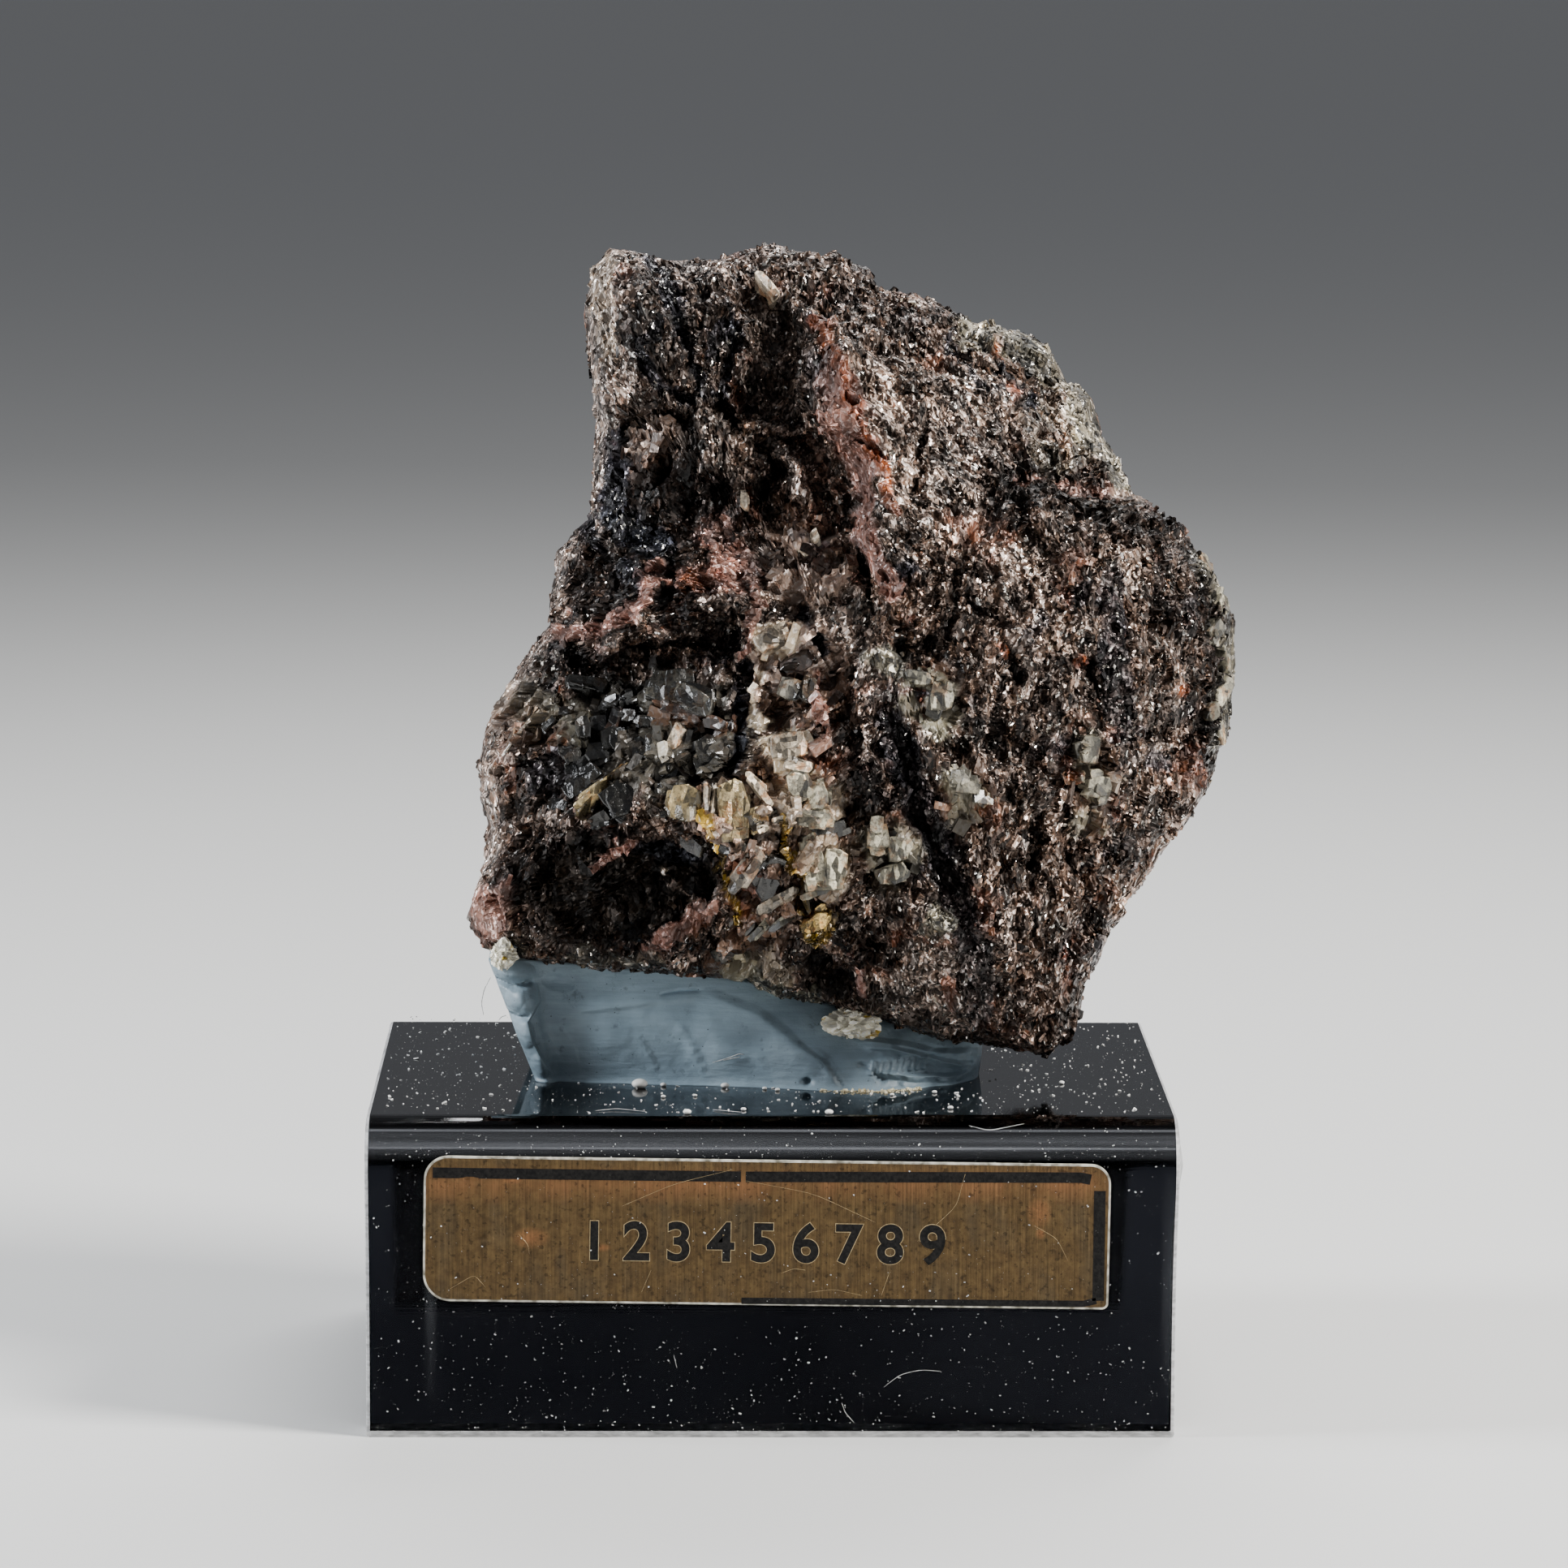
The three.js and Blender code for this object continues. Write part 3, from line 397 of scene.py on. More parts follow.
# crests (or, below nothing, grooves): height, reach on the line's left and right, and the line itself
frontCreases = [
    # the central ridge: a steep wall on its left, the lit face on its right
    (2.6, 6.5, 1.1, [(-3.9, 22.6), (-3.5, 19.5), (-3.3, 17.3), (-2.3, 15.3), (-0.9, 13), (0.1, 10.8),
                     (0.5, 8), (1.1, 5.5), (2.0, 3.2), (2.3, 1)]),
    (0.9, 2.6, 2.6, [(-4.6, 20.2), (-1.3, 19.3), (0.3, 18.8), (2, 17.8), (3.5, 16), (5, 13.8)]),
    # the pillar's two edges, its grooves and ribs
    (0.9, 2.6, 1.6, [(-15.4, 26.5), (-15.1, 21.9), (-14.2, 19.4), (-14.05, 17.4), (-15.1, 15.6),
                     (-16.5, 14.6)]),
    (1.9, 0.8, 4.2, [(-8.9, 26), (-7.9, 22), (-7.3, 19.5), (-7.4, 17), (-8, 14.4)]),
    (-1.1, 0.7, 0.7, [(-13.3, 25.6), (-12.2, 22.9), (-11.9, 21.5), (-11.4, 19.5), (-10.9, 17.8),
                      (-10.2, 16)]),
    (-0.9, 0.6, 0.6, [(-13.4, 21.4), (-13.9, 19), (-13.6, 17.6), (-12.4, 16.5), (-10.4, 15.6)]),
    (-0.8, 0.5, 0.5, [(-9.8, 18), (-9.3, 20.1), (-8.4, 20.2)]),
    (-0.8, 0.5, 0.5, [(-8.5, 22.8), (-8.1, 20.4), (-8.5, 18.5), (-8.8, 16)]),
    (0.6, 0.35, 0.35, [(-10.0, 15.2), (-10.1, 11)]),
    (0.6, 0.35, 0.35, [(-9.3, 15.4), (-9.4, 11)]),
    (0.6, 0.35, 0.35, [(-8.4, 15), (-8.6, 11)]),
    # the arch over the socket and the spine inside it
    (1.3, 1.4, 0.35, [(-7.6, 11.6), (-7, 12.9), (-6, 13.6), (-5, 13.9), (-3.5, 14.2), (-2, 14.4),
                      (-0.8, 13.4)]),
    (1.5, 0.5, 0.6, [(-5.2, 13.6), (-4.6, 12), (-4.2, 10.8), (-3.3, 9), (-2.6, 7.8)]),
    # left shoulder, brow and the cliff below it
    (0.7, 1.6, 0.9, [(-18.2, 8), (-18.9, 5.5), (-18.9, 3), (-18.4, 1.6)]),
    (2.7, 5, 0.45, [(-20.6, -0.6), (-19.4, -0.3), (-18.2, 0.6), (-16.9, -0.9), (-15.8, 0.2), (-14.4, 0.8),
                    (-13.2, 1.5), (-11.9, 0.8), (-10.8, 1.2), (-10.2, 2), (-8.8, 2.4), (-7.2, 3.1),
                    (-6, 3.2)]),
    (0.7, 0.6, 0.6, [(-18.4, 0.6), (-15.3, 1.7), (-13.8, 2.4), (-13.3, 4.2)]),
    (1.0, 0.4, 0.4, [(-7, 4.4), (-6.7, 1.6), (-7.6, -0.1), (-8.4, -1)]),
    # crystal field: clefts
    (-1.2, 0.4, 0.4, [(-7.6, -0.4), (-7.9, -3), (-7.8, -5), (-8.2, -6.5), (-8.3, -8.2)]),
    (-0.9, 0.3, 0.3, [(-14.5, -2.6), (-14.2, -5), (-13.6, -7.2), (-13.1, -9.2)]),
    (-1.2, 0.35, 0.35, [(-13.8, -8.2), (-11, -8.2), (-8.8, -7.7), (-7.6, -6.4)]),
    (1.5, 3, 0.5, [(-25, -8.6), (-22.8, -7.2), (-21, -6.9), (-19.2, -7), (-18.2, -7.6)]),
    # the edge over the dark undercut, and the lit corner beside it
    (2.4, 4.5, 0.5, [(-23.4, -11.4), (-19, -11), (-16.5, -11.5), (-13.9, -11.3), (-10.1, -11.4),
                     (-9.3, -13), (-8.6, -15), (-8, -17)]),
    (1.1, 1.0, 3, [(-23.6, -11), (-23.2, -14.5), (-22.8, -16.5), (-23, -17.3), (-21.8, -18.2),
                   (-21.6, -20.4)]),
    (0.8, 0.35, 0.35, [(-17, -14.4), (-15.9, -13.1), (-14.8, -12.1)]),
    (0.5, 0.3, 0.5, [(-17, -13.8), (-16, -15.6), (-15, -16.9), (-14, -17.6)]),
    (0.35, 0.2, 0.2, [(-13.6, -13.2), (-12.8, -14.3), (-11.5, -15.8), (-10.2, -16.8)]),
    (1.6, 0.6, 1.1, [(-14.4, -20.2), (-12.3, -18.5), (-10.7, -17.3), (-9.2, -16.3), (-8, -15.2)]),
    (0.35, 0.25, 0.25, [(-9.9, -9.7), (-9.3, -12.4), (-8.9, -14.5), (-8.3, -15.9), (-7.4, -17.8)]),
    (0.35, 0.25, 0.25, [(-5, -10.4), (-4.4, -12.8), (-4, -15), (-3.6, -17.4)]),
    # the middle
    (-1.0, 0.45, 0.45, [(-4.2, 3), (-3.7, 2.3), (-3, 1), (-2.2, -0.4), (-1.9, -1.2)]),
    (0.9, 0.5, 0.7, [(-2.9, -1.6), (-2.6, -4.2), (-2.2, -5.6), (-3.4, -7), (-4.2, -7.6)]),
    (-0.8, 0.25, 0.25, [(-4, -1.6), (-3.9, -3.8)]),
    (0.7, 0.3, 0.4, [(-0.1, 4.3), (-0.4, 0.8)]),
    (-1.8, 1.3, 1.3, [(1.1, -3.4), (1.9, -5), (2.9, -7.5), (3.6, -10), (4.6, -12.3), (5.4, -14.6),
                      (6.4, -17), (7, -19.5), (7.5, -23.6)]),
    (1.0, 1.4, 1.4, [(9.2, -6.6), (8.6, -9.5), (7.6, -13.5), (8.2, -17), (8.6, -20.6)]),
    (-0.9, 0.5, 0.5, [(5.2, 3.4), (6.4, 3), (7.8, 2.4), (9.2, 1.4)]),
    # dark gaps in the right block
    (-1.2, 0.4, 0.4, [(14.8, 0), (14.9, -3), (14.6, -5.8)]),
    (-0.9, 0.4, 0.4, [(15, 7), (14.9, 4.4)]),
    (-1.1, 0.6, 0.5, [(11, -10), (11.5, -12.5), (10.7, -14), (10.2, -15.6)]),
    (-1.2, 0.5, 0.7, [(13.2, -10), (13.4, -13), (13.2, -15.6)]),
    (-0.9, 0.35, 0.35, [(11.6, -15), (12.3, -15.7), (13.2, -16.4), (14.9, -16.9)]),
    (-0.8, 0.4, 0.4, [(9.2, -17.4), (10, -19.3), (9.8, -21)]),
    (-0.7, 0.35, 0.35, [(8.2, -21.8), (10, -22.3), (13, -22.6)]),
    (0.9, 0.5, 1.0, [(12.6, -17.4), (13, -19.5), (11.6, -21.8)]),
    (-0.7, 0.35, 0.35, [(18.9, 7.4), (18.4, 6), (19.3, 5)]),
    (-0.6, 0.3, 0.3, [(17.4, 4), (17.8, 3.2), (18, 2)]),
    (-0.9, 0.35, 0.35, [(22.1, 0.1), (23, -1.2), (24.4, -2.4)]),
    (0.9, 0.8, 2.2, [(21.6, 7.6), (21.9, 5.2), (22.0, 1.8), (21.9, -2.4), (22.4, -7.4)]),
    # steep strokes on the lit face
    (-0.9, 0.4, 0.4, [(4.1, 14.4), (3.8, 13.4), (3.2, 11.5), (3.2, 9.4)]),
    (-0.6, 0.4, 0.4, [(5, 20.6), (6.3, 18.5), (7.2, 17.2), (8.3, 16)]),
    (-0.6, 0.4, 0.4, [(8.3, 18.4), (10.5, 16.8), (11.1, 15)]),
    (0.6, 0.4, 0.8, [(5.4, 16.5), (6.4, 14.6), (6.9, 12.4)]),
    (0.5, 0.4, 0.8, [(8.4, 14.8), (9.4, 13.2), (9.9, 11.6)]),
    (0.4, 0.25, 0.25, [(-1.9, -18.8), (-0.6, -17.4), (0.8, -17.1), (2.2, -17.2), (3.5, -18.4), (3.6, -21.2)]),
    (0.8, 0.35, 0.35, [(0.3, -19.8), (0.3, -22.6)]),
]

# right, up, half width, half height, turn, depth: flat bottomed with steep walls
frontPits = [
    (-5.2, 18.4, 1.9, 3.9, 0, 1.5), (-4.3, 21.4, 0.8, 1.2, 0, 1.2),
    (-2.9, 11.6, 1.6, 2.0, 0, 1.8), (-5.65, 11.8, 0.6, 1.1, 0, 1.4), (-6.3, 10.2, 0.9, 0.8, 0, 1.0),
    (-11.2, 14.6, 1.2, 0.8, -10, 1.5), (-14.3, 14.0, 1.0, 0.85, 0, 1.9), (-7.3, 16.4, 0.7, 1.5, 0, 1.0),
    (-9.3, 1.0, 2.3, 1.5, 10, 2.8), (-13.0, 0.0, 2.3, 0.8, 8, 1.6), (-17.4, -1.2, 1.6, 0.8, 0, 0.8),
    (3.5, 0.1, 1.5, 0.9, 0, 1.3), (0.1, 5.6, 0.6, 1.3, -15, 1.2), (-0.9, 7.7, 0.7, 0.8, 0, 1.0),
    (9.75, -1.4, 0.45, 1.2, 8, 1.6), (9.4, -9.1, 0.45, 0.45, 0, 1.3), (13.6, -9.0, 0.45, 0.4, 0, 0.9),
    (22.9, 2.3, 0.85, 0.6, 10, 1.1), (22.5, 0.2, 0.5, 0.45, 0, 0.8), (15.8, 8.4, 0.8, 0.45, 0, 1.4),
    (17.2, 8.1, 0.7, 0.4, 0, 1.4), (-2.0, -21.0, 2.3, 1.4, -8, 3.0), (-22.2, -10.3, 1.1, 1.0, 0, 1.3),
    (-11.4, -13.2, 1.8, 0.8, -10, 0.8), (-10.2, -15.1, 1.0, 1.2, 0, 1.2), (5.8, -6.6, 1.0, 0.8, 0, 1.0),
    (2.4, 22.3, 0.9, 0.35, 0, 0.5), (2.3, 20.3, 1.25, 0.4, 0, 0.7), (-18.9, -3.6, 0.4, 0.6, 0, 0.8),
    (-7.4, -19.4, 0.7, 0.9, 0, 1.2), (-5.2, -19.6, 0.5, 0.9, -10, 1.2), (0.6, -10.4, 2.4, 0.6, 0, 1.0),
    (-17.5, -5.9, 0.7, 0.6, 0, 0.9), (9.9, 3.4, 0.8, 1.3, 0, 0.5),
]

# right, up, half width, half height, turn, height: round lumps with a clear foot
frontLumps = [
    (-12.6, 19.0, 1.4, 1.6, 0, 0.8), (-9.8, 21.6, 1.2, 1.6, 0, 0.7), (-13.9, 22.8, 1.0, 1.7, 0, 0.5),
    (-10.4, 18.3, 0.9, 1.5, 10, 0.6), (-7.9, 10.8, 1.0, 0.9, 0, 0.8), (-15.9, 7.2, 0.5, 1.4, 5, 0.6),
    (12.7, 12.9, 0.9, 0.8, 0, 0.6), (-11.3, -19.4, 1.6, 1.3, 20, 0.9), (-8.5, -19.1, 1.2, 0.8, 35, 0.9),
    (-0.7, -18.6, 1.1, 1.1, 0, 1.1), (2.0, -18.8, 1.5, 1.6, 0, 1.1), (4.8, -17.2, 1.0, 0.8, 0, 0.8),
    (-2.7, -17.4, 1.2, 0.9, 0, 0.7), (0.2, -8.6, 2.3, 1.6, -20, 1.2), (-15.9, -5.9, 1.0, 0.8, 0, 0.5),
    (-22.6, -6.1, 1.0, 1.1, 30, 0.6), (6.6, -9.0, 1.6, 1.3, -15, 0.6), (14.9, -8.8, 1.0, 1.5, 0, 0.5),
    (17.6, 6.6, 1.2, 1.2, 0, 0.5), (16.6, -13.2, 1.4, 1.2, 0, 0.5), (12.6, -24.2, 1.2, 1.2, 0, 0.6),
    (4.0, 7.2, 1.2, 1.1, 0, 0.6), (5.8, 5.0, 1.1, 1.0, 0, 0.5), (8.6, 5.9, 1.5, 1.2, 0, 0.5),
    (17.0, -6.8, 1.1, 1.3, 0, 0.5), (5.6, -22.0, 1.0, 1.6, 0, 0.7), (8.8, -24.0, 1.3, 0.9, 0, 0.6),
]

# the right block stands proud below this line, more so towards the rim
ledge = {"left": (7.5, 10.9), "right": (19.4, 8.9), "height": 3, "softness": 0.45, "fade": 9}

# right, up, half width, half height, direction of the strokes, depth
strokes = [
    (3.6, 12.5, 4.2, 4.6, -62, 0.34), (13.6, -1.5, 6.5, 8, 92, 0.30), (11, -17, 4, 6, 78, 0.30),
    (-12.2, 19, 3.6, 6, 96, 0.22), (-21.5, -3.8, 2.2, 3.5, 58, 0.25), (-2, -13.6, 3, 3, 70, 0.2),
]


def squareAngle(x, z):
    # the angle of a place on a square ring, spread evenly along the ring's four sides
    wide = abs(x) >= abs(z)
    sideways = np.pi / 4 * z / np.where(wide & (x != 0), x, 1) + np.where(x < 0, np.pi, 0)
    upwards = np.pi / 2 - np.pi / 4 * x / np.where(wide, 1, z) + np.where(z < 0, np.pi, 0)
    return np.where(wide, sideways, upwards)


def squarePatch(cells, jitter):
    # a square grid whose inner places are shifted a little at random: spread over the outline, and angle
    line = np.linspace(-1, 1, cells + 1)
    x, z = np.meshgrid(line, line, indexing="ij")
    inner = np.maximum(abs(x), abs(z)) < 1 - 1 / cells
    dice = np.random.default_rng(7)
    shift = dice.uniform(-jitter, jitter, (2, *x.shape)) * inner * 2 / cells
    x, z = x + shift[0], z + shift[1]
    index = np.arange(x.size).reshape(x.shape)
    quads = np.stack([index[:-1, :-1], index[1:, :-1], index[1:, 1:], index[:-1, 1:]], -1).reshape(-1, 4)
    border = np.concatenate([index[:-1, 0], index[-1, :-1], index[:0:-1, -1], index[0, :0:-1]])
    reach = rock["patchReach"] * np.maximum(abs(x), abs(z))
    return reach.ravel(), squareAngle(x, z).ravel(), quads, border


def wrappedGrid(cells, beltRows):
    # a closed grid of two parameters: a square patch in front, rows round the rim, and a patch of half as
    # many cells behind. Gives the angle from the front, the angle round the view axis, quads and triangles
    spread, angle, quads, border = squarePatch(cells, 0.36)
    backSpread, backAngle, backQuads, backBorder = squarePatch(cells // 2, 0.36)
    edge = math.asin(rock["patchReach"])
    beltPolar = np.repeat(edge + (np.pi - 2 * edge) * np.arange(1, beltRows) / beltRows, 4 * cells)
    polar = np.concatenate([np.arcsin(spread), beltPolar, np.pi - np.arcsin(backSpread)])
    angles = np.concatenate([angle, np.tile(angle[border], beltRows - 1), backAngle])
    firstBack = spread.size + beltPolar.size
    rings = np.vstack([border, np.arange(spread.size, firstBack).reshape(beltRows - 1, 4 * cells)])
    allQuads = np.vstack([quads, ringQuads(rings), firstBack + backQuads[:, ::-1]])
    inner, innerNext = firstBack + backBorder, firstBack + np.roll(backBorder, -1)
    first, second, third = rings[-1, ::2], rings[-1, 1::2], np.roll(rings[-1, ::2], -1)
    seam = np.vstack([np.stack([first, inner, second], 1), np.stack([second, inner, innerNext], 1),
                      np.stack([second, innerNext, third], 1)])
    return polar, angles, allQuads, seam


def rimAt(angle):
    # where a ray from the centre leaves the outline: distance, and how far back the rim lies
    ax, ay, aDepth = outline.T
    bx, by, bDepth = np.roll(outline, -1, axis=0).T
    c, s = np.cos(angle)[:, None], np.sin(angle)[:, None]
    across = c * (by - ay) - s * (bx - ax)
    across = np.where(abs(across) < 1e-12, 1e-12, across)
    along = (s * ax - c * ay) / across
    distance = (ax * (by - ay) - ay * (bx - ax)) / across
    hit = (along >= -1e-9) & (along <= 1 + 1e-9) & (distance > 0)
    side = np.argmax(hit, axis=1)[:, None]
    depth = aDepth + along * (bDepth - aDepth)
    return tuple(np.take_along_axis(values, side, 1)[:, 0] for values in (distance, depth))


def facesHeight(faces, right, up):
    # each tilted face's plane, weighted by its nearness
    total, weights = 0, 0
    for faceRight, faceUp, height, slopeRight, slopeUp in faces.values():
        dr, du = right - faceRight, up - faceUp
        weight = 1 / (dr * dr + du * du + rock["faceSoftness"]) ** rock["faceCrispness"]
        total = total + weight * (height + slopeRight * dr + slopeUp * du)
        weights = weights + weight
    return total / weights


def wandered(right, up):
    # moved a little by noise, so that no edge from the tables is straight or even
    size, reach = rock["wander"]
    flat = np.stack([right, up, 0 * up], 1)
    return right + reach * cloudNoise(flat, size, 51, 4), up + reach * cloudNoise(flat, size, 52, 4)


def reliefHeight(right, up):
    # creases, pits, lumps, strokes and one stepped ledge on top of the faces
    right, up = wandered(right, up)
    total = creasesHeight(frontCreases, right, up)
    for *ellipse, depth in frontPits:
        total -= 0.85 * depth * smoothStep(-ellipseReach(right, up, *ellipse), -1.25, -0.35)
    for *ellipse, height in frontLumps:
        total += height * (1 - ellipseReach(right, up, *ellipse) ** 2).clip(0) ** 0.75
    for centreRight, centreUp, halfWidth, halfHeight, turn, depth in strokes:
        c, s = math.cos(math.radians(turn)), math.sin(math.radians(turn))
        along, across = c * right + s * up, c * up - s * right
        pattern = cloudNoise(np.stack([across / 0.55, along / 2.6, 0 * along], 1), 1, int(turn) + 500, 2)
        reach = np.hypot((right - centreRight) / halfWidth, (up - centreUp) / halfHeight)
        total += depth * pattern * smoothStep(-reach, -1.2, -0.8)
    (leftX, leftY), (rightX, rightY) = ledge["left"], ledge["right"]
    along = (right - leftX) / (rightX - leftX)
    below = leftY + along * (rightY - leftY) - up
    step = smoothStep(below, -ledge["softness"], ledge["softness"])
    return total + ledge["height"] * along.clip(0, 1) * step * (1 - below / ledge["fade"]).clip(0, 1)


def asSeen(right, up, height):
    # a place nearer to the viewer is seen further from the viewer's axis
    nearer = height / sight["distance"]
    return right + (right - sight["right"]) * nearer, up + (up - sight["up"]) * nearer


def rockSurface(polar, angle):
    # depth = rim depth times spread squared, plus or minus the faces' height times a fullness
    # that falls to nothing at the rim
    spread = np.sin(polar)
    distance, rimDepth = rimAt(angle)
    right, up = spread * distance * np.cos(angle), spread * distance * np.sin(angle)
    fullness = np.sqrt((1 - spread ** rock["rimPower"]).clip(0))
    depth = rimDepth * spread ** 2 + fullness * facesHeight(backFaces, right, up)
    isFront = polar < np.pi / 2
    frontRight, frontUp, frontFull = right[isFront], up[isFront], fullness[isFront]
    height = frontFull * facesHeight(frontFaces, frontRight, frontUp) - (rimDepth * spread ** 2)[isFront]
    depth[isFront] = -height - frontFull * reliefHeight(*asSeen(frontRight, frontUp, height))
    return np.stack([right, depth, up], 1)


def frontAt(right, up):
    # the place on the rock's front where the viewer sees it: a pair of arrays, right and up
    actualRight, actualUp = right, up
    for _ in range(3):
        angle = np.arctan2(actualUp, actualRight)
        spread = (np.hypot(actualRight, actualUp) / rimAt(angle)[0]).clip(0, 0.999)
        places = rockSurface(np.arcsin(spread), angle)
        seenRight, seenUp = asSeen(actualRight, actualUp, -places[:, 1])
        actualRight, actualUp = actualRight + right - seenRight, actualUp + up - seenUp
    return places


def alongGrain(places, turn, ratio):
    # turned so that the first axis runs along the grain, and squeezed along it
    c, s = math.cos(math.radians(turn)), math.sin(math.radians(turn))
    x, y, z = places.T
    return np.stack([(c * x + s * z) / ratio, y, c * z - s * x], 1)


def grainDirection(right, up, onFront):
    # the grain's direction in radians, eased from the plain one to each area's own
    direction = np.full(right.shape, float(grainTurn))
    for degrees, field in grainFlows:
        weight = onFront * smoothStep(-ellipseReach(right, up, *field), -1.3, -0.8)
        direction += weight * (degrees - direction)
    return np.radians(direction)


def blockiness(right, up):
    fields = [smoothStep(-ellipseReach(right, up, *field), -1.1, -0.85) for field in blockyFields]
    return np.max(fields, axis=0)


def brokenRelief(places, onFront):
    # height to add: soft swell, then tilted planes of each size with a step from one to the next,
    # and plain steps where the rock is blocky. Also a brightness that goes with the planes
    right, up = asSeen(places[:, 0], places[:, 2], -places[:, 1])
    blocky = np.where(onFront, blockiness(right, up), 0)
    steep = onFront & (ellipseReach(right, up, *steepField) < 1)
    lift = rock["cloud"][1] * cloudNoise(places, rock["cloud"][0], 4)
    shade = np.zeros(len(places))
    for salt, (size, slope, step, ratio) in enumerate(chipSizes):
        plane, number = chips(alongGrain(places, grainTurn, ratio), size, salt + 1)
        steepPlane, steepNumber = chips(alongGrain(places, steepTurn, ratio), size, salt + 11)
        plane, number = np.where(steep, steepPlane, plane), np.where(steep, steepNumber, number)
        lift += (slope * plane + step * (number - 0.5)) * (1 - rock["calmLift"] * blocky * (salt > 0))
        shade += rock["chipShade"] * (number - 0.5) * (1 - rock["calmShade"] * blocky)
    strokeTone = cloudNoise(alongGrain(places, grainTurn, 2.2), 1.25, 55, 2)
    shade += rock["strokeShade"] * strokeTone * (1 - rock["calmShade"] * blocky)
    for salt, (size, slope, step) in enumerate(blockSizes):
        plane, number = chips(alongGrain(places, rock["blockTurn"], rock["blockLength"]), size, salt + 61)
        lift += blocky * (slope * plane + step * (number - 0.5))
        shade += rock["blockShade"] * blocky * (number - 0.5)
    return lift, np.exp(shade), blocky


def standRock(places):
    # turns the rock's own places back by its lean and moves them to where it stands
    c, s = math.cos(rock["lean"]), math.sin(rock["lean"])
    x, y, z = places.T
    return np.stack([x, c * y - s * z, s * y + c * z], 1) + rock["centre"]


# colour, metallic, roughness, and how much its grains differ
tones = {
    "ore": ((0.130, 0.085, 0.063), 0.60, 0.38, 1.0),
    # darkOre: the dark ore's own tone, also laid as painted shade in the hollow left of the ridge, under the
    # brow, under the ledge, over the undercut and in a recess in the middle
    "darkOre": ((0.021, 0.014, 0.011), 0.75, 0.40, 0.95),
    "paleOre": ((0.315, 0.238, 0.195), 0.45, 0.36, 1.0),
    "rust": ((0.215, 0.056, 0.020), 0.15, 0.55, 0.6),
    "pink": ((0.255, 0.136, 0.108), 0.15, 0.50, 0.5),
    "steel": ((0.026, 0.029, 0.038), 0.75, 0.32, 1.0),
    # pit: near black and highly metallic, so it reflects little: painted shade, laid in pits, clefts and
    # gaps, under the brow and over the undercut
    "pit": ((0.012, 0.009, 0.007), 0.90, 0.55, 0.8),
    "crust": ((0.165, 0.150, 0.108), 0.0, 0.55, 1.0),
    "cleavage": ((0.053, 0.049, 0.040), 0.05, 0.24, 0.25),
    "amber": ((0.088, 0.048, 0.030), 0.05, 0.30, 0.5),
    "honey": ((0.240, 0.185, 0.095), 0.10, 0.28, 0.5),
    "brass": ((0.380, 0.255, 0.080), 0.80, 0.28, 0.9),
    "cream": ((0.540, 0.450, 0.335), 0.0, 0.36, 0.6),
}

